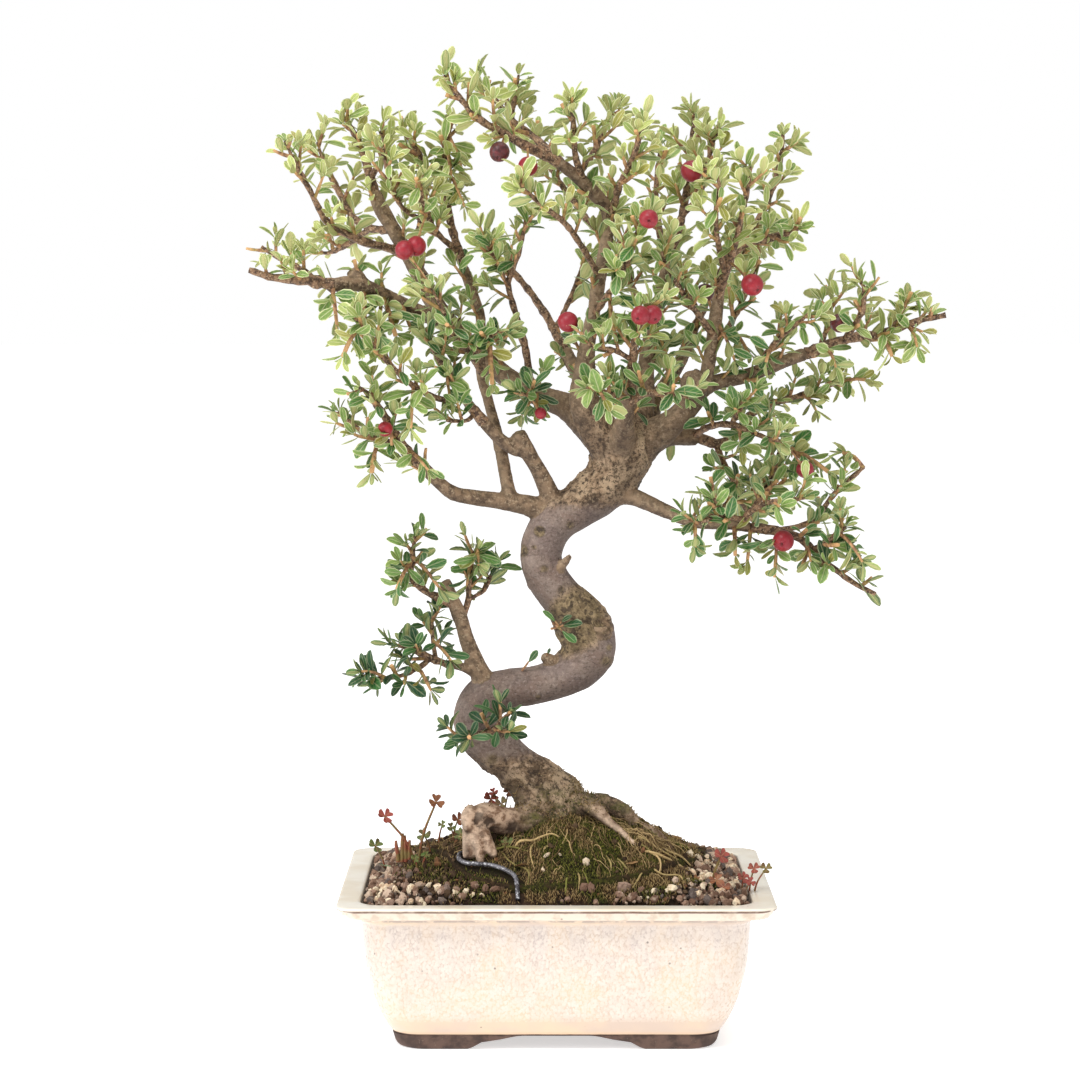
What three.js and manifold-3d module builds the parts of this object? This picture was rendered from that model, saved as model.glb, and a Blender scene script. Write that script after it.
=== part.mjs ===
// A wall cotoneaster grown as a small S-shaped tree in a glazed rectangular pot.
// Millimetres, X to the right, Y away from the viewer, Z up.

import * as THREE from 'three';
import Module from 'manifold-3d';

const wasm = await Module();
wasm.setup();
const { Manifold } = wasm;

// Driving dimensions

const GAP = 0.3; // clearance between neighbouring pieces
const EYE_X = -7.1; // the eye point that the limb positions are stated from
const EYE_Z = 335;
const EYE_DISTANCE = 1360;

const POT_LENGTH = 190;
const POT_WIDTH = 143;
const POT_HEIGHT = 66;
const FEET_HEIGHT = 6.6;
const RIM_WIDTH = 10;
const FLOOR_TOP = 13;
const DRAIN_RADIUS = 9;
const DRAIN_OFFSET = 38;
const CORNER_STEPS = 3; // flats in each rounded corner

const SOIL_EDGE = 64.2; // the soil's height along the rim
const SOIL_SWELL = 15; // how much higher it is in the middle
const MOUND_CENTRE = [4, -2];
const MOUND_HALF_X = 62;
const MOUND_HALF_Y = 50;
const MOUND_SWELL = 17; // above the soil
const MOUND_SINK = 66.5; // the underside of the mound
const SOIL_RINGS = 6; // from the rim to the middle
const MOUND_RINGS = 5;
const MOUND_SIDES = 16;
const WIRE_PLACES = [[-39, -19], [-33, -26], [-26, -31], [-20, -36], [-16, -42]];
const WIRE_RADIUS = 0.9;
const LEAFLETS = 3; // at the end of each weed stalk
const LEAFLET_LENGTH = 7.5;

const TRUNK_JOINTS = 30;
const TRUNK_SIDES = 9;
const TWIG_SIDES = [4, 3]; // of the first twig of a branchlet, and of those that fork from it
const LEAFY_TIP = 6; // the reach of the leaves past the end of their twig
const TWIG_STEP = 24; // between the bends of a twig
const SHOOT_SPACING = 8.5; // along a twig
const SHOOT_LENGTHS = [8, 21];
const SHOOT_RADIUS = 0.95;
const LEAF_LENGTHS = [9, 12.5];
const LEAF_WIDTH_RATIO = 0.5;
const SHOOTS_KEPT = 2; // of each branchlet, spread along it
const LEAF_SHARE = 0.46; // of the leaves stated for each branchlet
const GOLDEN_ANGLE = 2.399963;

const COLOURS = {
  pot: 0xe9e2d4,
  soil: 0x7a6152,
  moss: 0x4e5430,
  wood: 0x86776a,
  spray: 0x6f8a3f,
  berry: 0xb8303c,
  weed: 0x8a4a3a,
  wire: 0x7b8794,
};

// Small helpers

function hash01(a, b, c) {
  const value = Math.sin(a * 127.1 + b * 311.7 + c * 74.7) * 43758.5453;
  return value - Math.floor(value);
}

function mix(a, b, t) {
  return a + (b - a) * t;
}

// A point as it is seen from the eye point on the plane through the trunk, moved along that
// line of sight to its own depth.
function seen([x, z, depth]) {
  const k = 1 + depth / EYE_DISTANCE;
  return new THREE.Vector3(EYE_X + (x - EYE_X) * k, depth, EYE_Z + (z - EYE_Z) * k);
}

function solidFrom(vertices, triangles) {
  const mesh = new wasm.Mesh({
    numProp: 3,
    vertProperties: new Float32Array(vertices),
    triVerts: new Uint32Array(triangles),
  });
  return new Manifold(mesh);
}

function union(solids) {
  return solids.length === 1 ? solids[0] : Manifold.union(solids);
}

function largestPiece(solid) {
  const pieces = solid.decompose();
  return pieces.reduce((best, piece) => (piece.volume() > best.volume() ? piece : best));
}

// Rings of points joined to a closed body, with a flat cap at each end, or a point at the far
// end where `tip` is given.
function loft(rings, tip) {
  const vertices = rings.flat(2);
  const sides = rings[0].length;
  const triangles = [];
  for (let i = 0; i + 1 < rings.length; i += 1) {
    for (let j = 0; j < sides; j += 1) {
      const a = i * sides + j;
      const b = i * sides + ((j + 1) % sides);
      triangles.push(a, b, b + sides, a, b + sides, a + sides);
    }
  }
  const last = (rings.length - 1) * sides;
  if (tip) vertices.push(...tip);
  for (let j = 0; j < sides; j += 1) {
    const next = (j + 1) % sides;
    if (j > 0 && next > 0) triangles.push(0, next, j);
    if (tip) triangles.push(last + j, last + next, rings.length * sides);
    else if (j > 0 && next > 0) triangles.push(last, last + j, last + next);
  }
  return solidFrom(vertices, triangles);
}

// A path through points that each carry a radius, as straight lengths between its joints.
class Limb {
  constructor(points, radii, joints = points.length) {
    const curve = new THREE.CatmullRomCurve3(points, false, 'catmullrom', 0.5);
    this.joints = curve.getPoints(joints - 1);
    this.radii = radii;
    this.length = this.joints.slice(1).reduce(
      (sum, point, i) => sum + point.distanceTo(this.joints[i]),
      0,
    );
  }

  point(t) {
    const at = t * (this.joints.length - 1);
    const i = Math.min(Math.floor(at), this.joints.length - 2);
    return this.joints[i].clone().lerp(this.joints[i + 1], at - i);
  }

  along(t) {
    const step = 0.01;
    const from = this.point(Math.max(0, t - step));
    return this.point(Math.min(1, t + step)).sub(from).normalize();
  }

  radius(t) {
    const at = t * (this.radii.length - 1);
    const i = Math.min(Math.floor(at), this.radii.length - 2);
    return mix(this.radii[i], this.radii[i + 1], at - i);
  }
}

// Two directions square to a path, the same for every path with that direction.
function acrossOf(direction) {
  const u = new THREE.Vector3(0.31, 0.52, 0.79).cross(direction).normalize();
  const v = direction.clone().cross(u).normalize();
  return [u, v];
}

// A round stick along a limb. `grow` makes it thicker and longer all over, `rough` gives the
// bark its uneven section, `foot` narrows the end that is sunk in another stick.
function stick(limb, sides, { grow = 0, rough = 0, seed = 0, foot = 1 } = {}) {
  const stations = limb.joints.length;
  const rings = [];
  let [u] = acrossOf(limb.along(0));
  for (let i = 0; i < stations; i += 1) {
    const t = i / (stations - 1);
    const direction = limb.along(t);
    u = u.clone().addScaledVector(direction, -u.dot(direction)).normalize();
    const v = direction.clone().cross(u);
    const centre = limb.point(t);
    if (i === 0) centre.addScaledVector(direction, -grow);
    if (i === stations - 1) centre.addScaledVector(direction, grow);
    const ring = [];
    for (let j = 0; j < sides; j += 1) {
      const angle = (2 * Math.PI * j) / sides;
      const bump = 1 + rough * (2 * hash01(seed + i, j, 3) - 1);
      const r = limb.radius(t) * bump * (i === 0 ? foot : 1) + grow;
      const at = centre.clone();
      at.addScaledVector(u, r * Math.cos(angle));
      at.addScaledVector(v, r * Math.sin(angle));
      ring.push(at.toArray());
    }
    rings.push(ring);
  }
  return loft(rings);
}

// The wood: trunk, surface roots and thick limbs as [x, z, depth, radius]

const TRUNK = [
  [4, 70, 1, 15], [3, 84, 0, 15.5], [-1, 97, 0, 15], [-8, 107, -1, 12.2],
  [-17.3, 116, -2, 10], [-26, 124, -3, 10.3], [-33, 132, -3, 10.9], [-34.8, 140, -3, 10.8],
  [-31, 147.5, -3, 10], [-21.5, 151.5, -2, 9], [-10, 153, 0, 8.6], [0, 156, 1, 8.9],
  [9, 160.5, 2, 10], [14.6, 168, 2, 11.4], [14.8, 177, 2, 11.2], [11, 185, 1.5, 9.9],
  [3.5, 192, 1, 9.3], [-3, 200, 0, 9.3], [-6.6, 209.5, -0.5, 9.3], [-5, 219, -1, 9.4],
  [0, 227, -1, 9.8], [8.5, 232.5, 0, 10], [18.5, 240, 1, 11], [25, 248, 2, 12],
  [29, 257, 3, 13.6], [30.5, 266, 3, 12.5],
];

const LIMBS = {
  left_main: [
    [1, 229, -1, 6], [-12, 233.8, -4, 4.4], [-25, 236, -8, 3.6], [-38, 237.5, -12, 3.3],
    [-46, 239.5, -15, 3.2], [-52.5, 244.5, -17, 2.8], [-60, 252, -20, 2.5],
  ],
  cut_stub: [
    [0, 233, -1, 4.6], [-6, 246, -5, 3.7], [-11, 255, -8, 3.5], [-15, 262, -10, 3.6],
    [-16.8, 266.5, -11, 3.2],
  ],
  stub_arm: [
    [-13.5, 258, -9, 2.8], [-19.5, 259.5, -11, 2.9], [-27, 265.5, -14, 2.6],
    [-32, 271, -16, 2.5],
  ],
  upright: [
    [-20, 236, -7, 3.4], [-22.2, 246, -4, 2.8], [-24.5, 258, -1, 2.7], [-27, 269, 1, 2.5],
    [-30, 280, 2, 2.4], [-33, 292, 2, 2.4], [-34, 305, 3, 2.4], [-33.5, 318, 4, 2.4],
    [-38, 331, 5, 2.3], [-41, 340, 6, 2.2],
  ],
  back_left: [
    [24, 261, 5, 9.5], [14, 271, 7, 7.4], [4, 278.5, 10, 5.8], [-10, 284, 14, 4.7],
    [-22, 291, 18, 4.5], [-34, 301, 22, 4.4], [-45, 312, 25, 4.3], [-53, 323, 27, 4],
    [-60, 335, 30, 3.7], [-66, 346, 32, 3.5], [-72, 356, 34, 3.3], [-77, 365, 35, 3.4],
    [-80.5, 373, 36, 2.8],
  ],
  far_left: [
    [-46, 313, 24, 3.8], [-55, 317.5, 18, 3.5], [-65, 322, 14, 3.3], [-75, 327, 10, 3.2],
    [-84, 331, 6, 3.1], [-92, 332.5, 3, 3.3], [-99, 331.8, 0, 3.1],
  ],
  far_left_knob: [[-85, 331, 6, 3.2], [-88, 335, 7, 3.4], [-90.5, 338.5, 8, 3]],
  top: [
    [26, 256, 0, 9], [18, 268, -4, 8.2], [13, 279, -7, 6.6], [12.5, 291, -9, 5],
    [13.5, 303, -9, 3.6], [16, 316, -9, 3.2], [18.5, 330, -9, 3], [21, 344, -8, 2.8],
    [23, 356, -7, 2.7], [22.5, 365, -7, 3], [17, 372, -9, 3.2], [10, 379, -12, 2.8],
    [1, 386, -15, 2.5],
  ],
  top_cut: [[12.5, 291, -9, 4], [13.5, 293.5, -19, 3.6]],
  middle: [
    [32, 260, 3, 8], [36.5, 272, 8, 6.4], [39, 284, 12, 4.8], [40, 296, 16, 3.7],
    [42, 310, 20, 3.1], [45, 322, 23, 2.8], [47.5, 334, 26, 2.5], [50, 344, 28, 2.4],
  ],
  right_up: [
    [35, 258, 2, 8.4], [45, 266, 0, 7], [55, 274, -2, 5.4], [62, 282, -3, 4.8],
    [66.5, 291, -4, 3.4], [69, 304, -4, 3], [71, 318, -3, 3], [72.5, 331, -2, 2.7],
  ],
  right_knob: [[60, 281, -3, 5], [61.5, 286, -8, 5.8], [61.5, 288.5, -14, 6.4]],
  long_right: [
    [61, 283, -2, 4.6], [70, 288.5, 4, 3.7], [80, 290.5, 6, 3.2], [90, 293.5, 8, 3.1],
    [100, 297.5, 10, 3], [111, 301.5, 11.5, 2.8],
  ],
  right_arm: [
    [33, 256, 4, 8.4], [44, 263, 8, 5.6], [54, 265, 11, 4.4], [63, 264, 13, 3.6],
  ],
  lower_right: [
    [21, 240, 0, 7], [32, 238.3, -2, 3.9], [42, 234.5, -6, 3.3], [50, 231, -9, 3],
    [57, 227.8, -12, 2.8], [66, 226, -15, 2.7], [78, 225.5, -18, 2.6], [87, 224, -20, 2.4],
  ],
  low_spur: [
    [-30, 149, -4, 6.6], [-33, 156.5, -5, 4.6], [-37, 166, -6, 3.9], [-40.5, 176, -7, 3.3],
    [-43, 184, -7, 3.2], [-46, 191, -7, 3.1], [-49.8, 200, -8, 2.5],
  ],
  low_spur_side: [[-35, 158.5, -6, 2.6], [-42, 161.3, -9, 2], [-47, 162.3, -10.5, 1.8]],
  back_fill_left: [
    [26, 256, 8, 8], [20, 271, 22, 5], [12, 288, 36, 3.7], [4, 303, 46, 2.8],
  ],
  back_fill_right: [
    [35, 260, 8, 7], [44, 280, 26, 4], [55, 298, 41, 3], [61, 311, 49, 2.5],
  ],
  front_fill: [[29, 259, -4, 7], [31, 273, -18, 3.8], [33, 288, -30, 2.8]],
  mid_knot: [[19, 176, -3, 5.4], [21.5, 180, -7.5, 3.6]],
  inner_knot: [[3, 160, 0, 4], [-3.5, 165, -3, 2.8], [-6, 166.5, -4, 2]],
  cut_peg: [[2, 206, -6, 2.2], [6.5, 211.5, -9, 1.3]],
  root_left: [
    [-4, 95, -8, 8.5], [-14, 91.5, -15, 6], [-23, 91.5, -20, 5.6], [-31, 93.5, -24, 6.2],
    [-36, 91, -27, 6], [-37.5, 84, -29, 4.8], [-38, 72, -31, 3.4],
  ],
  root_right: [
    [6, 97, -6, 7], [13, 100, -12, 4.8], [17.5, 97, -16, 3.4], [23.5, 91.5, -20, 2.1],
    [30, 86, -26, 1.6], [36, 80, -31, 1.2],
  ],
  root_knob: [
    [14, 98, -2, 6], [22, 98.5, -3, 5], [29, 96, -4, 4.2], [37, 88.5, -6, 3.2],
    [44, 85.5, -7, 3], [51, 79, -8, 2.4],
  ],
  root_back: [[4, 100, 6, 9], [12, 93, 18, 6], [18, 84, 27, 4.4], [22, 75, 33, 3.2]],
};

// Leafy branchlets. The first twig starts in the wood, the others fork from it; each point is
// [x, z, depth], and `r` is the radius at both ends. `leaves` is how many leaves it carries.

const SPRAYS = {
  left_low: {
    leaves: 9,
    twigs: [
      { r: [2.4, 0.9], p: [[-60, 252, -20], [-66, 258, -22], [-70, 264, -24],
        [-75, 272, -27], [-80, 279, -30], [-85, 285, -33], [-91, 289, -36]] },
      { r: [1.6, 0.9], p: [[-66, 258, -22], [-73, 261.5, -18], [-80, 263.5, -14],
        [-87, 267, -10], [-95, 274, -6], [-99, 279, -4]] },
    ],
  },
  left_mid: {
    leaves: 10,
    twigs: [
      { r: [2.3, 1.2], p: [[-32, 271, -16], [-37, 277, -18], [-42, 283, -20],
        [-47, 291, -20], [-52, 300, -19], [-57, 309, -16], [-62, 318, -12]] },
      { r: [1.5, 0.9], p: [[-41, 282, -20], [-50, 281, -24], [-60, 285, -28],
        [-68, 291, -32], [-75, 298, -35], [-82, 306, -38], [-88, 315, -40], [-92, 325, -42]] },
      { r: [1, 0.8], p: [[-36, 276, -18], [-39, 272, -23], [-46, 271.5, -28],
        [-53, 272, -32]] },
    ],
  },
  far_left: {
    leaves: 10,
    twigs: [
      { cut: true, r: [2.9, 1.2], p: [[-99, 331.8, 0], [-108, 333.5, -2], [-118, 334.5, -4],
        [-127, 335.5, -6], [-136, 338.5, -8]] },
      { r: [1.4, 0.9], p: [[-106, 333.3, -1], [-113, 339, 3], [-121, 343, 6],
        [-128, 347, 8], [-134, 352, 9]] },
    ],
  },
  arch_left: {
    leaves: 9,
    twigs: [
      { r: [2, 0.9], p: [[-66, 346, 32], [-75, 348.5, 26], [-85, 351, 21], [-94, 355, 17],
        [-102, 360.5, 14], [-106.5, 369, 12], [-112, 379.5, 10], [-117, 389, 9],
        [-122, 401, 8]] },
    ],
  },
  back_left: {
    leaves: 10,
    twigs: [
      { r: [1.8, 0.9], p: [[-72, 356, 34], [-82, 357, 42], [-90, 362, 46], [-95, 371, 49],
        [-100, 381, 51], [-104, 390, 52], [-107, 400, 54]] },
      { r: [1.4, 0.9], p: [[-82, 357, 42], [-92, 350, 54], [-101, 346, 62], [-109, 348, 68]] },
    ],
  },
  left_crown: {
    leaves: 9,
    twigs: [
      { r: [2.5, 0.9], p: [[-80.5, 373, 36], [-83, 383, 36], [-86, 392, 35], [-91, 402, 34],
        [-98, 411, 33]] },
      { r: [1.4, 0.9], p: [[-82, 379, 36], [-77, 388, 28], [-76, 396, 22], [-80, 404, 16]] },
    ],
  },
  left_inner: {
    leaves: 9,
    twigs: [
      { r: [1.7, 0.9], p: [[-67, 347, 32], [-61, 356, 26], [-59, 367, 22], [-57, 379, 18],
        [-60, 389, 14], [-66, 397, 10], [-71, 404, 8]] },
      { r: [1.1, 0.8], p: [[-60, 360, 24], [-68, 366, 14], [-73, 377, 4], [-76, 389, -4],
        [-77, 399, -9]] },
    ],
  },
  dark_upright: {
    leaves: 9,
    twigs: [
      { r: [2.1, 0.9], p: [[-41, 340, 6], [-45, 353, 9], [-48, 367, 11], [-49.5, 380, 13],
        [-48, 394, 15], [-45, 409, 18]] },
      { r: [1.3, 0.9], p: [[-43, 347, 8], [-52, 354, -2], [-57, 363, -12], [-60, 374, -20],
        [-57, 386, -26]] },
    ],
  },
  center_left: {
    leaves: 10,
    twigs: [
      { r: [1.6, 0.9], p: [[-33, 293, 2], [-36, 298, -8], [-41, 305, -18], [-47, 315, -26],
        [-53, 326, -32], [-58, 336, -36]] },
      { r: [1.1, 0.9], p: [[-37, 299, -10], [-33, 305, -18], [-28, 310, -25],
        [-22, 314, -30]] },
    ],
  },
  center_fork: {
    leaves: 11,
    twigs: [
      { r: [1.9, 0.9], p: [[-10, 284, 14], [-12, 292, 6], [-13, 301, 0], [-16, 313, -3],
        [-19, 323, -5], [-21, 333, -7], [-17, 345, -9], [-14, 357, -11], [-13, 369, -13]] },
      { r: [1, 0.8], p: [[-21, 331, -7], [-27, 343, -14], [-31, 351, -20],
        [-38, 356, -24]] },
      { r: [1.2, 0.8], p: [[-12, 291, 7], [-8, 286, -6], [-13, 283, -16],
        [-20, 286, -23]] },
    ],
  },
  top_left: {
    leaves: 10,
    twigs: [
      { r: [2.4, 0.9], p: [[1, 386, -15], [-7, 390, -18], [-15, 394, -21], [-24, 399, -23],
        [-32, 403.5, -25], [-39, 410, -27], [-46, 419, -29], [-53, 429, -31]] },
    ],
  },
  top_left_back: {
    leaves: 9,
    twigs: [
      { r: [1.8, 0.9], p: [[5, 383, -13], [-3, 391, -4], [-11, 398, 3], [-19, 404, 9],
        [-26, 412, 14], [-32, 419, 18], [-38, 427, 22]] },
      { r: [1.1, 0.8], p: [[-19, 404, 9], [-18.5, 413, 8], [-17, 421, 7], [-16, 429, 6]] },
    ],
  },
  top_mid: {
    leaves: 10,
    twigs: [
      { r: [1.6, 0.9], p: [[13, 376, -11], [9, 387, -18], [8, 396, -24], [7.5, 406, -28],
        [5, 418, -31]] },
      { r: [1.4, 0.9], p: [[11, 382, -14], [17, 391, -2], [21, 400, 8], [25, 409, 16],
        [29, 415, 22]] },
    ],
  },
  top_front: {
    leaves: 10,
    twigs: [
      { r: [1.7, 0.9], p: [[23, 361, -7], [26, 368, -17], [28, 376, -26], [33, 386, -33],
        [37, 397, -38], [41, 409, -41]] },
    ],
  },
  top_back: {
    leaves: 10,
    twigs: [
      { r: [1.8, 0.9], p: [[22, 351, -7], [16, 358, 9], [9, 367, 26], [1, 378, 42],
        [-6, 390, 54], [-11, 402, 62]] },
    ],
  },
  front_twig: {
    leaves: 10,
    twigs: [
      { r: [1.5, 0.8], p: [[19, 336, -9], [12, 348, -22], [4, 359, -34], [-5, 366, -43],
        [-14, 374, -50], [-21, 381, -55]] },
    ],
  },
  front_mid: {
    leaves: 10,
    twigs: [
      { r: [1.5, 0.9], p: [[16.5, 318, -9], [22, 326, -22], [28, 335, -32], [33, 346, -40],
        [37, 358, -46], [44, 368, -50]] },
    ],
  },
  front_rosette: {
    leaves: 11,
    twigs: [
      { r: [2.2, 0.9], p: [[33, 288, -30], [34, 298, -38], [35, 307, -45], [39, 317, -51],
        [42, 328, -56]] },
      { r: [1.2, 0.9], p: [[34, 299, -39], [26, 303, -45], [18, 304, -50], [9, 309, -54]] },
    ],
  },
  head_front: {
    leaves: 10,
    twigs: [
      { r: [2, 0.9], p: [[32, 279, -23], [39, 284, -34], [47, 284, -42], [56, 283, -48],
        [63, 279, -52]] },
      { r: [1.3, 0.9], p: [[36, 282, -29], [30, 282, -38], [20, 285, -45],
        [8, 288, -50]] },
    ],
  },
  mid_crown: {
    leaves: 9,
    twigs: [
      { r: [2.1, 0.9], p: [[50, 344, 28], [54, 356, 30], [57, 367, 31], [58, 377, 32],
        [59, 389, 33], [60.5, 401, 34], [61.5, 413, 35]] },
      { r: [1.4, 0.9], p: [[56, 362, 31], [63, 371, 20], [66, 381, 12], [69, 394, 5],
        [74, 406, 0]] },
    ],
  },
  mid_back: {
    leaves: 9,
    twigs: [
      { r: [1.7, 0.9], p: [[49, 340, 27], [46, 354, 42], [44, 369, 54], [45, 384, 63],
        [47, 399, 69]] },
    ],
  },
  mid_far_back: {
    leaves: 9,
    twigs: [
      { r: [1.6, 0.9], p: [[42, 310, 20], [36, 324, 35], [31, 340, 49], [27, 357, 60],
        [24, 374, 68]] },
    ],
  },
  back_low_left: {
    leaves: 10,
    twigs: [
      { r: [2.2, 0.9], p: [[4, 303, 46], [-4, 318, 54], [-14, 332, 61], [-25, 344, 67],
        [-36, 354, 72]] },
      { r: [1.3, 0.9], p: [[-1, 312, 51], [6, 325, 62], [11, 338, 70], [15, 350, 77]] },
    ],
  },
  back_low_right: {
    leaves: 10,
    twigs: [
      { r: [2, 0.9], p: [[61, 311, 49], [67, 325, 57], [75, 337, 63], [84, 347, 68],
        [93, 355, 72]] },
      { r: [1.3, 0.9], p: [[64, 318, 53], [58, 331, 63], [54, 345, 71], [51, 358, 77]] },
    ],
  },
  right_tip: {
    leaves: 11,
    twigs: [
      { r: [2.5, 1.2], p: [[72.5, 331, -2], [76.5, 344, -1], [85, 350.5, -3], [95, 352.5, -5],
        [104, 355, -6], [113, 360, -7]] },
      { r: [1.6, 0.9], p: [[82, 349, -2], [87, 357, 8], [93, 368, 15], [97.5, 380, 19],
        [100, 392, 21], [100, 404, 22]] },
    ],
  },
  right_crown: {
    leaves: 11,
    twigs: [
      { r: [1.7, 0.9], p: [[71.5, 325, -2], [75, 336, -12], [79, 349, -20], [82, 362, -26],
        [85, 376, -30], [87, 390, -32]] },
      { r: [1.3, 0.9], p: [[75, 336, -12], [72, 349, -24], [70.5, 362, -33],
        [72, 375, -39], [69, 388, -43]] },
    ],
  },
  right_front: {
    leaves: 10,
    twigs: [
      { r: [1.5, 0.9], p: [[70, 309, -4], [63, 319, -16], [56, 329, -27], [49, 340, -36],
        [45, 352, -42]] },
    ],
  },
  right_back: {
    leaves: 9,
    twigs: [
      { r: [1.5, 0.9], p: [[69, 303, -4], [77, 314, 12], [84, 328, 27], [89, 343, 39],
        [92, 359, 48]] },
    ],
  },
  long_tip: {
    leaves: 13,
    twigs: [
      { cut: true, r: [2.7, 1.2], p: [[111, 301.5, 11.5], [122, 305.5, 13], [132, 308.5, 14],
        [141, 309.5, 14], [151, 312.5, 13], [161, 316, 12], [173, 318.5, 10]] },
      { r: [1.5, 0.9], p: [[127, 307, 13.5], [132, 313, 5], [136, 321, -1],
        [136.5, 330, -5], [134, 338, -9]] },
      { r: [1.2, 0.9], p: [[117, 303.7, 12], [120, 312, 21], [122, 322, 29],
        [122.5, 334, 36]] },
      { r: [1.3, 0.9], p: [[150, 312, 13], [153, 320, 18], [155, 330, 22]] },
    ],
  },
  long_front: {
    leaves: 9,
    twigs: [
      { r: [1.5, 0.9], p: [[88, 293, 8], [94, 302, -2], [101, 310, -10], [108, 315.5, -16],
        [116, 323, -22]] },
    ],
  },
  long_under: {
    leaves: 11,
    twigs: [
      { r: [2.3, 1], p: [[63, 264, 13], [72, 261.5, 15], [79, 265, 18], [87, 274.5, 22],
        [95, 279, 26], [107, 282.5, 30], [118, 286, 34], [132, 290.5, 38]] },
      { r: [1.6, 0.9], p: [[71, 261.7, 15], [75, 252, 9], [79, 245, 3], [82.5, 237, -3]] },
    ],
  },
  inner_right: {
    leaves: 11,
    twigs: [
      { r: [1.6, 0.9], p: [[61, 264.5, 12.5], [68, 269, -1], [78, 270, -13], [88, 266, -23],
        [97, 263, -31], [105, 262, -37]] },
      { r: [1.1, 0.9], p: [[78, 270, -13], [82, 277, -24], [84, 284, -34]] },
    ],
  },
  low_right_tip: {
    leaves: 11,
    twigs: [
      { cut: true, r: [2.3, 0.9], p: [[87, 224, -20], [98, 222.5, -21], [109, 219, -22],
        [117, 211.5, -24], [125, 205, -26], [134, 198.5, -28], [143, 194, -30]] },
      { cut: true, r: [1.4, 1], p: [[99, 222.3, -21], [110, 225, -15], [117, 229, -11], [121, 235, -8],
        [127, 242, -4], [137, 251, 1]] },
      { r: [1.1, 0.9], p: [[114, 215, -23], [120, 217, -30], [127, 221.5, -36],
        [133, 229, -40]] },
    ],
  },
  low_right_inner: {
    leaves: 13,
    twigs: [
      { r: [1.6, 0.9], p: [[82, 225, -19], [87, 231, -28], [94, 235, -35], [105, 236, -40],
        [117, 238.5, -44]] },
      { r: [1.4, 0.9], p: [[85, 228.5, -24], [92, 238, -14], [96, 247, -6],
        [99, 256, 0], [102, 266, 5]] },
      { r: [1.4, 0.9], p: [[84, 227.5, -22.5], [76, 229, -30], [66, 227, -37],
        [57, 222, -42]] },
      { r: [1, 0.8], p: [[74, 229, -31], [72, 235, -38], [68, 240, -43]] },
    ],
  },
  low_right_back: {
    leaves: 10,
    twigs: [
      { r: [1.6, 0.9], p: [[66, 226, -15], [73, 232, 4], [82, 238, 20], [93, 241, 33],
        [106, 245, 44]] },
      { r: [1.2, 0.9], p: [[82, 238, 20], [86, 229, 33], [93, 224, 43]] },
    ],
  },
  spur_left: {
    leaves: 10,
    twigs: [
      { r: [2, 0.9], p: [[-45, 188.5, -7], [-52, 192.2, -9], [-58, 195.3, -11],
        [-64, 200.5, -13], [-64.5, 208, -14], [-63.5, 216, -15], [-62, 226, -16]] },
    ],
  },
  spur_right: {
    leaves: 10,
    twigs: [
      { r: [1.6, 0.9], p: [[-42, 183, -7], [-39.5, 190, -4], [-38.7, 200, -2],
        [-38, 208, 0], [-35.5, 214, 2], [-32, 224, 4]] },
      { r: [1, 0.8], p: [[-39.3, 191, -4], [-32, 196, 0], [-28.5, 204, 4], [-25, 213, 7]] },
    ],
  },
  spur_side: {
    leaves: 11,
    twigs: [
      { r: [1.8, 0.9], p: [[-47, 162.3, -10.5], [-53, 164, -12], [-60, 167.5, -14],
        [-68, 170.5, -17], [-74, 171, -20]] },
      { r: [1.2, 0.8], p: [[-55, 165, -12.5], [-62, 160.5, -19], [-71, 157, -24],
        [-81, 156, -28], [-91, 155.5, -31]] },
      { r: [1, 0.8], p: [[-54, 164.5, -12], [-55, 173, -8], [-55.5, 181, -5],
        [-54, 189, -3]] },
    ],
  },
  foot_sprigs: {
    leaves: 10,
    twigs: [
      { r: [1.5, 0.9], p: [[-29, 131, -8], [-29, 132, -19], [-23, 138, -25],
        [-18, 145, -29]] },
      { r: [1.2, 0.9], p: [[-28.5, 132.5, -20], [-35, 131, -24], [-42, 128.5, -28],
        [-47, 125, -31]] },
    ],
  },
};

// Red berries as [x, z, depth, radius]; berries that touch are one piece.

const BERRIES = {
  berry_right_low: [[87, 332, -30, 4.8]],
  berry_right_high: [[60, 382, -28, 4.8]],
  berry_right_dark: [[66, 328.5, -12, 4]],
  berry_top_mid: [[41, 361, -58, 4.1]],
  berry_mid_pair: [[37.5, 318.5, -62, 4.1], [42.8, 318.8, -59, 4.1]],
  berry_mid: [[5.3, 315.5, -45, 4.4]],
  berry_top_maroon: [[-25, 390.5, -30, 4.4]],
  berry_top_left: [[-12.5, 384, -32, 4.3]],
  berry_left_pair: [[-67, 347.3, -28, 4.2], [-62, 349, -25, 4.4]],
  berry_far_right: [[126, 315, 2, 4.3]],
  berry_low_right_high: [[111, 250, -22, 3.9]],
  berry_low_right: [[101.5, 218, -31, 4.7]],
  berry_center_small: [[-6.8, 275, -18, 2.6]],
  berry_left_low: [[-76, 268, -34, 3.3]],
};

// Weeds: where each stands, and its stalks from that foot as [reach x, reach y, height]

const WEEDS = {
  weed_left: { foot: [-62, -12], stalks: [[-14, -5, 21.5], [8.5, 0, 27]] },
  weed_right: { foot: [68, -38], stalks: [[4, -3, 12]] },
};

// The pot

function roundedRectangle(halfX, halfY, corner, z) {
  const ring = [];
  const centres = [[1, 1, 0], [-1, 1, 1], [-1, -1, 2], [1, -1, 3]];
  for (const [sx, sy, quarter] of centres) {
    for (let i = 0; i <= CORNER_STEPS; i += 1) {
      const angle = (Math.PI / 2) * (quarter + i / CORNER_STEPS);
      ring.push([
        sx * (halfX - corner) + corner * Math.cos(angle),
        sy * (halfY - corner) + corner * Math.sin(angle),
        z,
      ]);
    }
  }
  return ring;
}

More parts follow.
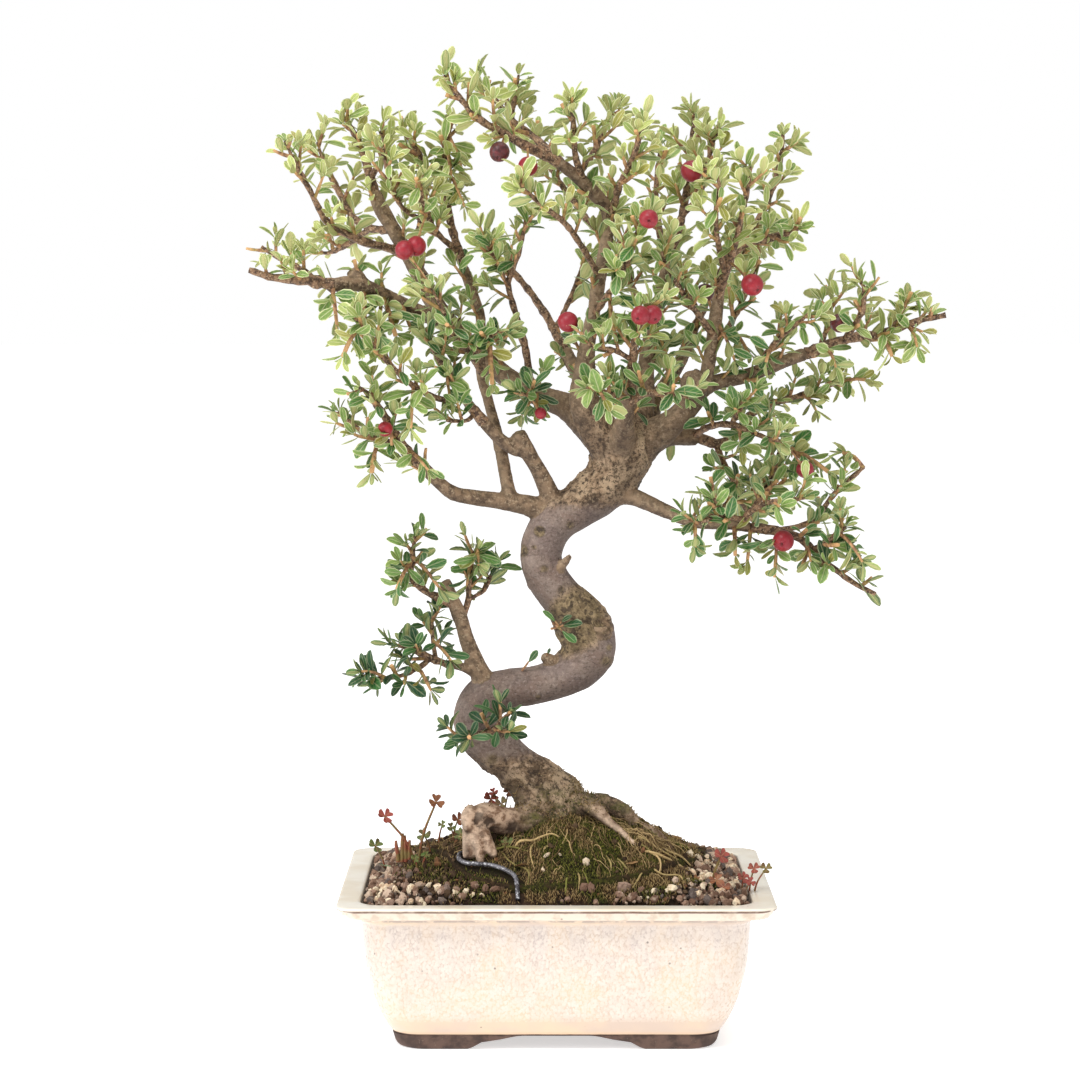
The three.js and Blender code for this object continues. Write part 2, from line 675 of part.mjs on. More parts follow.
function loftedBox(profile) {
  return loft(profile.map(([z, halfX, halfY, corner]) => (
    roundedRectangle(halfX, halfY, corner, z))));
}

// Outer and inner faces as [height, half length, half width, corner radius]
const RIM_X = POT_LENGTH / 2;
const RIM_Y = POT_WIDTH / 2;
const POT_OUTSIDE = [
  [FEET_HEIGHT, 71.6, 53.4, 13], [8, 72.8, 54.2, 13], [13, 75.6, 56.4, 13],
  [19, 78.2, 58.2, 13], [28, 80.7, 60, 13], [37, 82.8, 61.3, 13], [48.5, 84, 62.2, 13],
  [57.8, 84.8, 62.8, 13], [59.2, 86, 64, 12], [60.2, RIM_X - 4.6, RIM_Y - 4, 10],
  [60.8, RIM_X - 3, RIM_Y - 2.6, 9.5], [64.2, RIM_X - 0.9, RIM_Y - 0.8, 9],
  [64.7, RIM_X, RIM_Y, 8.5], [POT_HEIGHT, RIM_X - 0.4, RIM_Y - 0.4, 8.5],
];
const POT_INSIDE = [
  [FLOOR_TOP, 66, 48, 12], [20, 71, 52, 12], [40, 76.5, 56, 12], [57, 79, 57.5, 12],
  [63.5, RIM_X - RIM_WIDTH - 0.8, RIM_Y - RIM_WIDTH - 0.8, 10.5],
  [POT_HEIGHT, RIM_X - RIM_WIDTH, RIM_Y - RIM_WIDTH, 10],
];

// The recess under the pot between two feet, with curved ends.
function feetRecess(halfOpening, reach, turn) {
  const shape = new THREE.Shape();
  const ogee = [[0, -2], [0, 0], [-3, 1], [-5.5, 2.8], [-14, 4.2], [-20, 5.6], [-23, FEET_HEIGHT]];
  ogee.forEach(([inward, z], i) => {
    const x = halfOpening + inward;
    if (i === 0) shape.moveTo(x, z);
    else shape.lineTo(x, z);
  });
  [...ogee].reverse().forEach(([inward, z]) => shape.lineTo(-halfOpening - inward, z));
  const geometry = new THREE.ExtrudeGeometry(shape, { depth: 2 * reach, bevelEnabled: false });
  geometry.rotateX(Math.PI / 2);
  geometry.translate(0, reach, 0);
  geometry.rotateZ(turn);
  return geometrySolid(geometry);
}

function geometrySolid(geometry) {
  const index = geometry.getIndex();
  const position = geometry.getAttribute('position');
  const keys = new Map();
  const vertices = [];
  const triangles = [];
  const count = index ? index.count : position.count;
  for (let i = 0; i < count; i += 1) {
    const k = index ? index.getX(i) : i;
    const point = [position.getX(k), position.getY(k), position.getZ(k)];
    const key = point.map((value) => Math.round(value * 1e4)).join(' ');
    if (!keys.has(key)) {
      keys.set(key, vertices.length / 3);
      vertices.push(...point);
    }
    triangles.push(keys.get(key));
  }
  const faces = [];
  for (let i = 0; i < triangles.length; i += 3) {
    const [a, b, c] = triangles.slice(i, i + 3);
    if (a !== b && b !== c && c !== a) faces.push(a, b, c);
  }
  return solidFrom(vertices, faces);
}

function makePot() {
  const outside = loftedBox(POT_OUTSIDE);
  const skirt = loftedBox([
    [0, 68.6, 51.4, 11], [1.6, 70.4, 52.6, 12], [FEET_HEIGHT + 1, 72.2, 53.8, 13],
  ]);
  const underside = loftedBox([[-1, 60, 43, 8], [FEET_HEIGHT, 58.6, 41.6, 8]]);
  const brim = [POT_HEIGHT + 2, RIM_X - RIM_WIDTH, RIM_Y - RIM_WIDTH, 10];
  const inside = loftedBox([...POT_INSIDE, brim]);
  const frontGap = feetRecess(38.6, 80, 0);
  const sideGap = feetRecess(27, 100, Math.PI / 2);
  let pot = outside.add(skirt.subtract(underside).subtract(frontGap).subtract(sideGap));
  pot = pot.subtract(inside);
  for (const x of [-DRAIN_OFFSET, DRAIN_OFFSET]) {
    const drain = new THREE.CylinderGeometry(DRAIN_RADIUS, DRAIN_RADIUS, 2 * FLOOR_TOP, 12);
    drain.rotateX(Math.PI / 2);
    drain.translate(x, 0, FLOOR_TOP);
    pot = pot.subtract(geometrySolid(drain));
  }
  return pot;
}

// Soil and moss

function soilHeight(x, y) {
  const fallX = 1 - Math.min(1, Math.abs(x) / 86) ** 4;
  const fallY = 1 - Math.min(1, Math.abs(y) / 62) ** 3;
  return SOIL_EDGE + SOIL_SWELL * fallX * fallY;
}

function mossHeight(x, y) {
  const away = Math.hypot((x - MOUND_CENTRE[0]) / 36, (y - MOUND_CENTRE[1]) / 33);
  return soilHeight(x, y) + 1 + MOUND_SWELL * Math.exp(-(away ** 2));
}

function makeSoil() {
  const rings = [];
  for (const [z, halfX, halfY, corner] of POT_INSIDE.slice(0, 5)) {
    const lift = z === FLOOR_TOP ? GAP : 0;
    rings.push(roundedRectangle(halfX - GAP, halfY - GAP, corner, z + lift));
  }
  const edge = POT_INSIDE[4];
  for (let i = 0; i < SOIL_RINGS; i += 1) {
    const share = (1 - i / SOIL_RINGS) ** 0.8 * 0.985;
    const ring = roundedRectangle(edge[1] * share, edge[2] * share, edge[3] * share, 0);
    rings.push(ring.map(([x, y], j) => {
      const height = soilHeight(x, y) + 1.6 * (hash01(i, j, 11) - 0.4);
      return [x, y, Math.max(edge[0] + 0.2, height)];
    }));
  }
  return loft(rings);
}

function makeMoss(grow) {
  const ringAt = (share, height) => {
    const ring = [];
    for (let j = 0; j < MOUND_SIDES; j += 1) {
      const angle = (2 * Math.PI * j) / MOUND_SIDES;
      const wobble = share * (1 + 0.06 * Math.sin(3 * angle + 1) + 0.04 * Math.sin(5 * angle));
      const x = MOUND_CENTRE[0] + (MOUND_HALF_X * wobble + grow) * Math.cos(angle);
      const y = MOUND_CENTRE[1] + (MOUND_HALF_Y * wobble + grow) * Math.sin(angle);
      ring.push([x, y, height(x, y, j)]);
    }
    return ring;
  };
  const rings = [ringAt(1, () => MOUND_SINK - grow)];
  for (let i = 0; i < MOUND_RINGS; i += 1) {
    const share = 1 - i / MOUND_RINGS;
    rings.push(ringAt(share, (x, y, j) => mossHeight(x, y) + 1.6 * hash01(i, j, 5) + grow));
  }
  return loft(rings);
}

// Leaves and berries

// A closed blade folded along its midrib: a six-cornered outline with a keel below.
function blade({ base, forward, upper, length }, grow = 0) {
  const side = upper.clone().cross(forward).normalize();
  const width = length * LEAF_WIDTH_RATIO;
  const half = 0.5 * width + grow;
  const at = (along, across, lift) => {
    const point = base.clone().addScaledVector(forward, along * length);
    return point.addScaledVector(side, across).addScaledVector(upper, lift).toArray();
  };
  const vertices = [
    at(0, 0, 0.1 + grow), at(0.42, half * 0.8, 0.7 + grow), at(0.8, half, 0.5 + grow),
    at(1 + grow / length, 0, -0.6), at(0.8, -half, 0.5 + grow), at(0.42, -half * 0.8, 0.7 + grow),
    at(0.5, 0, -0.8 - grow),
  ];
  const upperSide = [[3, 2, 1], [3, 1, 0], [3, 0, 5], [3, 5, 4]];
  const triangles = upperSide.flat();
  for (let i = 0; i < 6; i += 1) triangles.push(6, i, (i + 1) % 6);
  return solidFrom(vertices.flat(), triangles);
}

// A shoot and the leaf at its end as one body.
function leafyShoot(limb, { forward, upper, length }, grow = 0) {
  const side = upper.clone().cross(forward).normalize();
  const half = 0.5 * length * LEAF_WIDTH_RATIO + grow;
  const ring = (centre, across, lift, thick) => [
    centre.clone().addScaledVector(side, across).addScaledVector(upper, lift).toArray(),
    centre.clone().addScaledVector(upper, thick).toArray(),
    centre.clone().addScaledVector(side, -across).addScaledVector(upper, lift).toArray(),
    centre.clone().addScaledVector(upper, -thick - 2 * lift).toArray(),
  ];
  const end = limb.point(1);
  const on = (share) => end.clone().addScaledVector(forward, share * length);
  const stem = limb.radius(0) + grow;
  return loft([
    ring(limb.point(0), stem * 0.25, 0, stem * 0.25),
    ring(end, stem * 0.85, 0, stem * 0.85),
    ring(on(0.42), half * 0.8, 0.3, 0.4 + grow),
    ring(on(0.8), half, 0.2, 0.35 + grow),
  ], on(1 + grow / length).addScaledVector(upper, -0.5).toArray());
}

function ball(centre, radius) {
  const geometry = new THREE.SphereGeometry(radius, 7, 4);
  geometry.rotateX(0.9);
  geometry.translate(centre.x, centre.y, centre.z);
  return geometrySolid(geometry);
}

// Every side shoot of a twig, in order from its foot to its tip.
function shootsOf(twig, twigIndex, sprayIndex) {
  const bare = twigIndex === 0 ? 0.3 : 0.22;
  const count = Math.max(2, Math.round((twig.length * (1 - bare)) / SHOOT_SPACING));
  const shoots = [];
  for (let k = 0; k < count; k += 1) {
    const seed = sprayIndex * 17 + twigIndex * 5;
    const t = bare + ((1 - bare) * (k + 0.3 + 0.4 * hash01(seed, k, 1))) / count;
    const direction = twig.along(t);
    const [u, v] = acrossOf(direction);
    const angle = k * GOLDEN_ANGLE + sprayIndex + 0.9 * hash01(seed, k, 2);
    const radial = u.multiplyScalar(Math.cos(angle)).addScaledVector(v, Math.sin(angle));
    const length = mix(...SHOOT_LENGTHS, hash01(seed, k, 3)) * (1 - 0.35 * t);
    const heading = direction.multiplyScalar(0.55).addScaledVector(radial, 0.8);
    heading.z += 0.3;
    const foot = twig.point(t);
    const tip = foot.clone().addScaledVector(heading.normalize(), length);
    tip.z += 0.08 * length;
    const middle = foot.clone().lerp(tip, 0.5);
    middle.z -= 0.03 * length;
    shoots.push(new Limb([foot, middle, tip], [SHOOT_RADIUS, SHOOT_RADIUS * 0.9, 0.75], 2));
  }
  return shoots;
}

// The leaves of a shoot or a twig end: base point, direction, upper side, length.
function leafAt(limb, t, angle, seed, k) {
  const direction = limb.along(t);
  const [u, v] = acrossOf(direction);
  const radial = u.multiplyScalar(Math.cos(angle)).addScaledVector(v, Math.sin(angle));
  const spread = mix(0.95, 0.5, t);
  const forward = direction.clone().addScaledVector(radial, spread);
  forward.z += 0.12;
  forward.normalize();
  const upper = direction.clone().multiplyScalar(0.6);
  upper.z += 0.7;
  upper.addScaledVector(forward, -upper.dot(forward)).normalize();
  const length = mix(...LEAF_LENGTHS, hash01(seed, k, 7));
  return { base: limb.point(t), forward, upper, length: length + limb.radius(t) };
}

// Build

function material(colour) {
  return new THREE.MeshStandardMaterial({ color: colour, roughness: 0.7 });
}

const group = new THREE.Group();
group.name = 'wall_cotoneaster_bonsai';

function addPiece(name, solid, colour) {
  const mesh = solid.getMesh();
  const geometry = new THREE.BufferGeometry();
  const stride = mesh.numProp;
  const points = new Float32Array((mesh.vertProperties.length / stride) * 3);
  for (let i = 0; i < points.length / 3; i += 1) {
    for (let k = 0; k < 3; k += 1) points[i * 3 + k] = mesh.vertProperties[i * stride + k];
  }
  geometry.setAttribute('position', new THREE.BufferAttribute(points, 3));
  geometry.setIndex(new THREE.BufferAttribute(new Uint32Array(mesh.triVerts), 1));
  const piece = new THREE.Mesh(geometry, material(colour));
  piece.name = name;
  group.add(piece);
}

// Limbs of the wood tables
const limbOf = (rows, joints) => new Limb(rows.map(seen), rows.map((row) => row[3]), joints);

function sidesFor(radius) {
  return radius > 5 ? 7 : 5;
}

function makeWood(grow) {
  const parts = [stick(limbOf(TRUNK, TRUNK_JOINTS), TRUNK_SIDES, { grow, rough: 0.045, seed: 50 })];
  Object.values(LIMBS).forEach((rows, i) => {
    const sides = sidesFor(rows[1][3]);
    parts.push(stick(limbOf(rows), sides, { grow, rough: 0.05, seed: 80 + 9 * i }));
  });
  return union(parts);
}

const wood = makeWood(0);
const woodRoom = makeWood(GAP);

// Berries first, so that twigs and leaves keep clear of them.
const berrySolids = Object.entries(BERRIES).map(([name, balls]) => ({
  name,
  balls: balls.map((row) => ({ centre: seen(row), radius: row[3] })),
}));

// A twig with joints about TWIG_STEP apart. A leafy one stops short of the place where its
// leaves end, and a cut one doesn't.
function twigOf({ r, p, cut }) {
  const points = p.map(seen);
  const [before, end] = points.slice(-2);
  if (!cut) end.lerp(before, Math.min(0.6, LEAFY_TIP / end.distanceTo(before)));
  const radii = p.map((_, i) => mix(r[0], r[1], i / (p.length - 1)));
  return new Limb(points, radii, Math.round(new Limb(points, radii).length / TWIG_STEP) + 2);
}

// The place on these twigs that is nearest to a point.
function nearestOn(twigs, target) {
  let best = { distance: Infinity };
  for (const twig of twigs) {
    for (let i = 0; i <= 60; i += 1) {
      const point = twig.point(i / 60);
      const distance = point.distanceTo(target);
      if (distance < best.distance) best = { distance, point };
    }
  }
  return best;
}

// Twigs of every branchlet, then the shoots, then the leaves.
const sprays = Object.entries(SPRAYS).map(([name, spec], index) => {
  const twigs = [];
  for (const row of spec.twigs) {
    const twig = twigOf(row);
    if (twigs.length) twig.joints[0] = nearestOn(twigs, twig.joints[0]).point;
    twigs.push(twig);
  }
  return {
    name,
    index,
    twigs,
    quota: Math.round(spec.leaves * LEAF_SHARE),
    cut: spec.twigs.map(({ cut }) => cut === true),
    solids: twigs.map((twig, i) => twigSolid(twig, i, 0)),
    leaves: [],
  };
});

function twigSolid(twig, i, grow) {
  return stick(twig, TWIG_SIDES[Math.min(i, 1)], { grow, foot: i ? 0.35 : 1 });
}

// Stalks from the nearest twig to each berry.
for (const { balls } of berrySolids) {
  let best = { distance: Infinity };
  for (const { centre, radius } of balls) {
    for (const spray of sprays) {
      const { distance, point } = nearestOn(spray.twigs, centre);
      if (distance < best.distance) best = { distance, point, spray, centre, radius };
    }
  }
  const towards = best.centre.clone().sub(best.point).normalize();
  const end = best.centre.clone().addScaledVector(towards, -best.radius - GAP);
  best.spray.solids.push(stick(new Limb([best.point, end], [0.8, 0.8]), 3, { foot: 0.5 }));
}

const berryRoom = union(berrySolids.flatMap(({ balls }) => (
  balls.map(({ centre, radius }) => ball(centre, radius + GAP)))));

// The room that leaves and shoots of other branchlets keep out of.
const taken = sprays.map((spray) => spray.twigs.map((twig, i) => twigSolid(twig, i, GAP)));

function boxesMeet(a, b) {
  return [0, 1, 2].every((k) => a.min[k] < b.max[k] && b.min[k] < a.max[k]);
}

function isFree(solid, ownIndex) {
  const box = solid.boundingBox();
  for (let i = 0; i < taken.length; i += 1) {
    if (i !== ownIndex) {
      for (const other of taken[i]) {
        other.box ??= other.boundingBox();
        if (boxesMeet(box, other.box) && !solid.intersect(other).isEmpty()) return false;
      }
    }
  }
  return solid.intersect(berryRoom).isEmpty();
}

function isClear(room, solid, spray) {
  if (!isFree(room, spray.index) || !room.intersect(woodRoom).isEmpty()) return false;
  return spray.leaves.every((leaf) => (
    !boxesMeet(leaf.boundingBox(), solid.boundingBox()) || leaf.intersect(solid).isEmpty()));
}

function keep(spray, solid, room) {
  spray.solids.push(solid);
  spray.leaves.push(solid);
  taken[spray.index].push(room);
}

for (const spray of sprays) {
  const all = spray.twigs.flatMap((twig, i) => shootsOf(twig, i, spray.index));
  const every = Math.max(1, all.length / SHOOTS_KEPT);
  let wanted = 0;
  spray.shoots = [];
  all.forEach((shoot, k) => {
    if (Math.floor((k + 1) / every) > Math.floor(k / every)) wanted += 1;
    if (wanted > spray.shoots.length) {
      const leaf = leafAt(shoot, 1, 0.3, spray.index * 31, 100 + k);
      const room = leafyShoot(shoot, leaf, GAP);
      const solid = leafyShoot(shoot, leaf);
      if (isClear(room, solid, spray)) {
        spray.shoots.push(shoot);
        keep(spray, solid, room);
      }
    }
  });
}

// Leaves straight on the twigs: at every tip, then along them, as many as each may carry.
for (const spray of sprays) {
  const places = [];
  const add = (t, turn, k) => spray.twigs.forEach((twig, i) => {
    if (t < 0.9 || !spray.cut[i]) places.push([twig, t, turn + i, k + i]);
  });
  add(0.95, 3, 1);
  add(0.9, 5.4, 10);
  add(0.7, 1, 20);
  add(0.8, 4, 40);
  add(0.55, 2, 30);
  let kept = 0;
  for (const [limb, t, angle, k] of places) {
    const leaf = leafAt(limb, t, angle, spray.index * 31, k);
    const room = blade(leaf, GAP);
    const solid = blade(leaf);
    if (kept < spray.quota && isClear(room, solid, spray)) {
      keep(spray, solid, room);
      kept += 1;
    }
  }
}

// Weeds and the wire over the mound

function onGround(x, y, lift) {
  return new THREE.Vector3(x, y, soilHeight(x, y) + lift);
}

const weedSolids = Object.entries(WEEDS).map(([name, { foot: [x, y], stalks }]) => {
  const roots = [];
  const solids = [];
  stalks.forEach(([reachX, reachY, height], i) => {
    const foot = onGround(x, y, -4);
    const head = onGround(x, y, height).add(new THREE.Vector3(reachX, reachY, 0));
    const bend = foot.clone().lerp(head, 0.5).add(new THREE.Vector3(-reachX * 0.2, 0, 0));
    const stalk = new Limb([foot, bend, head], [0.9, 0.8, 0.75]);
    solids.push(stick(stalk, 3));
    roots.push(stick(stalk, 3, { grow: GAP }));
    for (let k = 0; k < LEAFLETS; k += 1) {
      const angle = (k * 2 * Math.PI) / LEAFLETS + i;
      const forward = new THREE.Vector3(Math.cos(angle), Math.sin(angle), 0.25).normalize();
      const upper = new THREE.Vector3(0, 0, 1).addScaledVector(forward, -forward.z).normalize();
      const base = head.clone().addScaledVector(stalk.along(1), -1.2);
      solids.push(blade({ base, forward, upper, length: LEAFLET_LENGTH }));
    }
  });
  return { name, solid: union(solids), room: union(roots) };
});

// The wire arches over the mound, and both its ends are pushed into the ground.
const wirePath = new Limb(
  WIRE_PLACES.map(([x, y], i) => {
    const isEnd = i === 0 || i === WIRE_PLACES.length - 1;
    return new THREE.Vector3(x, y, mossHeight(x, y) + (isEnd ? -3 : 1));
  }),
  WIRE_PLACES.map(() => WIRE_RADIUS),
  7,
);
const wire = stick(wirePath, 5);
const wireRoom = stick(wirePath, 5, { grow: GAP });

// Put the pieces together

const weedRooms = union(weedSolids.map(({ room }) => room));
const stood = woodRoom.add(weedRooms).add(wireRoom);

addPiece('pot', makePot(), COLOURS.pot);
const soil = makeSoil().subtract(stood).subtract(makeMoss(GAP));
addPiece('soil', largestPiece(soil), COLOURS.soil);
addPiece('moss_mound', largestPiece(makeMoss(0).subtract(stood)), COLOURS.moss);
addPiece('trunk', largestPiece(wood), COLOURS.wood);
for (const spray of sprays) {
  const body = union(spray.solids).subtract(woodRoom);
  addPiece(`spray_${spray.name}`, largestPiece(body), COLOURS.spray);
}
for (const { name, balls } of berrySolids) {
  const solid = union(balls.map(({ centre, radius }) => ball(centre, radius)));
  addPiece(name, solid, COLOURS.berry);
}
for (const { name, solid } of weedSolids) {
  addPiece(name, largestPiece(solid), COLOURS.weed);
}
addPiece('anchor_wire', wire, COLOURS.wire);

// Stand the whole on its own middle.
const bounds = new THREE.Box3().setFromObject(group);
const middle = bounds.getCenter(new THREE.Vector3());
for (const piece of group.children) {
  piece.geometry.translate(-middle.x, -middle.y, -bounds.min.z);
}

export default group;
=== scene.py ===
import math

import bpy
import numpy as np
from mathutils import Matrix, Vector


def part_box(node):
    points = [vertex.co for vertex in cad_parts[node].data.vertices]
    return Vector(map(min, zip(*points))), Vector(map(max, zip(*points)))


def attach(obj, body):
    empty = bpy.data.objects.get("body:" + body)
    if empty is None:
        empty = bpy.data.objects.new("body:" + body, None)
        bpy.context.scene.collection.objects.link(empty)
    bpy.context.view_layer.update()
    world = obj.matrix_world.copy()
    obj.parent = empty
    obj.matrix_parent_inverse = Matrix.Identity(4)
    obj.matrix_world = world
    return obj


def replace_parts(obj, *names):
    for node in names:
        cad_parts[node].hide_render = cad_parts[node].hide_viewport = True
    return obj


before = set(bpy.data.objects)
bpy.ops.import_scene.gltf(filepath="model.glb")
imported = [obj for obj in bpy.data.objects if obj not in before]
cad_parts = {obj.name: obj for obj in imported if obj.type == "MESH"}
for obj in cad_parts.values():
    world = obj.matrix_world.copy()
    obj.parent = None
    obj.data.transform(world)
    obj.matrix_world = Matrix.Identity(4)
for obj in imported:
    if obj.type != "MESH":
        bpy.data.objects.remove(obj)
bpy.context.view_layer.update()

bl_info = {
    "name": "Wall Cotoneaster Bonsai",
    "version": (1, 0, 0),
    "blender": (4, 5, 0),
    "location": "3D View > Sidebar > Bonsai",
    "description": "Wood, leaves, berries, moss, soil and pot of a small S-shaped cotoneaster",
    "category": "Add Mesh",
}

# Lengths are in millimetres from the middle of the pot's underside, as the tables below state
# them, and every piece is moved to the frame's place and unit when its mesh is made.

MM = 0.001
POT_LOW, POT_HIGH = (np.array(corner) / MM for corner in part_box("pot"))
POT_MIDDLE = np.array([*(POT_LOW + POT_HIGH)[:2] / 2, POT_LOW[2]])
POT_SIZE = POT_HIGH - POT_LOW
RIM_X, RIM_Y = POT_SIZE[:2] / 2
BODY = "root"

EYE_X, EYE_Z, EYE_DISTANCE = -7.1, 335.0, 1360.0
EYE_PITCH = 4.9  # degrees below the horizon
EYE_LENS = 101.9
SENSOR_WIDTH = 36

# The photograph: the pixel that shows x = 0, z = 300 of the front view, and pixels to a mm
PHOTO_PIXEL, PHOTO_PLACE, PHOTO_SCALE = (556, 357), (0, 300), (2.25, -2.246)

# The stage, in metres; a lamp is (name, place from the pot's middle, width, watts)
FLOOR_REACH = 14.0  # from the middle to a side
PAPER_GLOW = 0.56  # the floor's own light
SURROUND_STRENGTH = 0.52  # of its light on the object; to the camera it is full white
AIM_HEIGHT = 0.22  # of the place that all lamps point to
LAMPS = [
    ("key_light", (-0.6, -0.95, 1.7), 0.7, 17),
    ("side_light", (-1.5, -0.55, 0.75), 0.7, 9),
    ("fill_light", (1.1, -1.3, 0.6), 1.2, 4),
    ("top_light", (0.15, 0.2, 1.9), 1.0, 7),
]

# Values that several pieces share
GOLDEN_ANGLE = 2.399963
LIMB_STEP = 1.5  # between the samples of a limb's middle line, about
LEAFY_TIP = 6.0  # the reach of the leaves past the end of their twig
SHOOT_STEPS = 4  # pieces of a side shoot, which has one point more
SHOOT_SIDES = 5
LEAF_FINISH = 1  # the second finish of a leafy piece, after its stems
# Angles in degrees up to which the faces of leaves and stems, of stones and of the pot meet
# in a smooth edge
FOLD_ANGLE, STONE_ANGLE, POT_ANGLE = 70, 28, 50

# The wood: trunk, surface roots and limbs as [x, z, depth, radius], where x and z are as the
# eye point sees them on the plane through the trunk
TRUNK = [
    [4, 70, 1, 15], [3, 84, 0, 15.5], [-1, 97, 0, 15], [-8, 107, -1, 12.2], [-17.3, 116, -2, 10],
    [-26, 124, -3, 10.3], [-33, 132, -3, 10.9], [-34.8, 140, -3, 10.8], [-31, 147.5, -3, 10],
    [-21.5, 151.5, -2, 9], [-10, 153, 0, 8.6], [0, 156, 1, 8.9], [9, 160.5, 2, 10],
    [14.6, 168, 2, 11.4], [14.8, 177, 2, 11.2], [11, 185, 1.5, 9.9], [3.5, 192, 1, 9.3],
    [-3, 200, 0, 9.3], [-6.6, 209.5, -0.5, 9.3], [-5, 219, -1, 9.4], [0, 227, -1, 9.8],
    [8.5, 232.5, 0, 10], [18.5, 240, 1, 11], [25, 248, 2, 12], [29, 257, 3, 13.6],
    [30.5, 266, 3, 12.5],
]

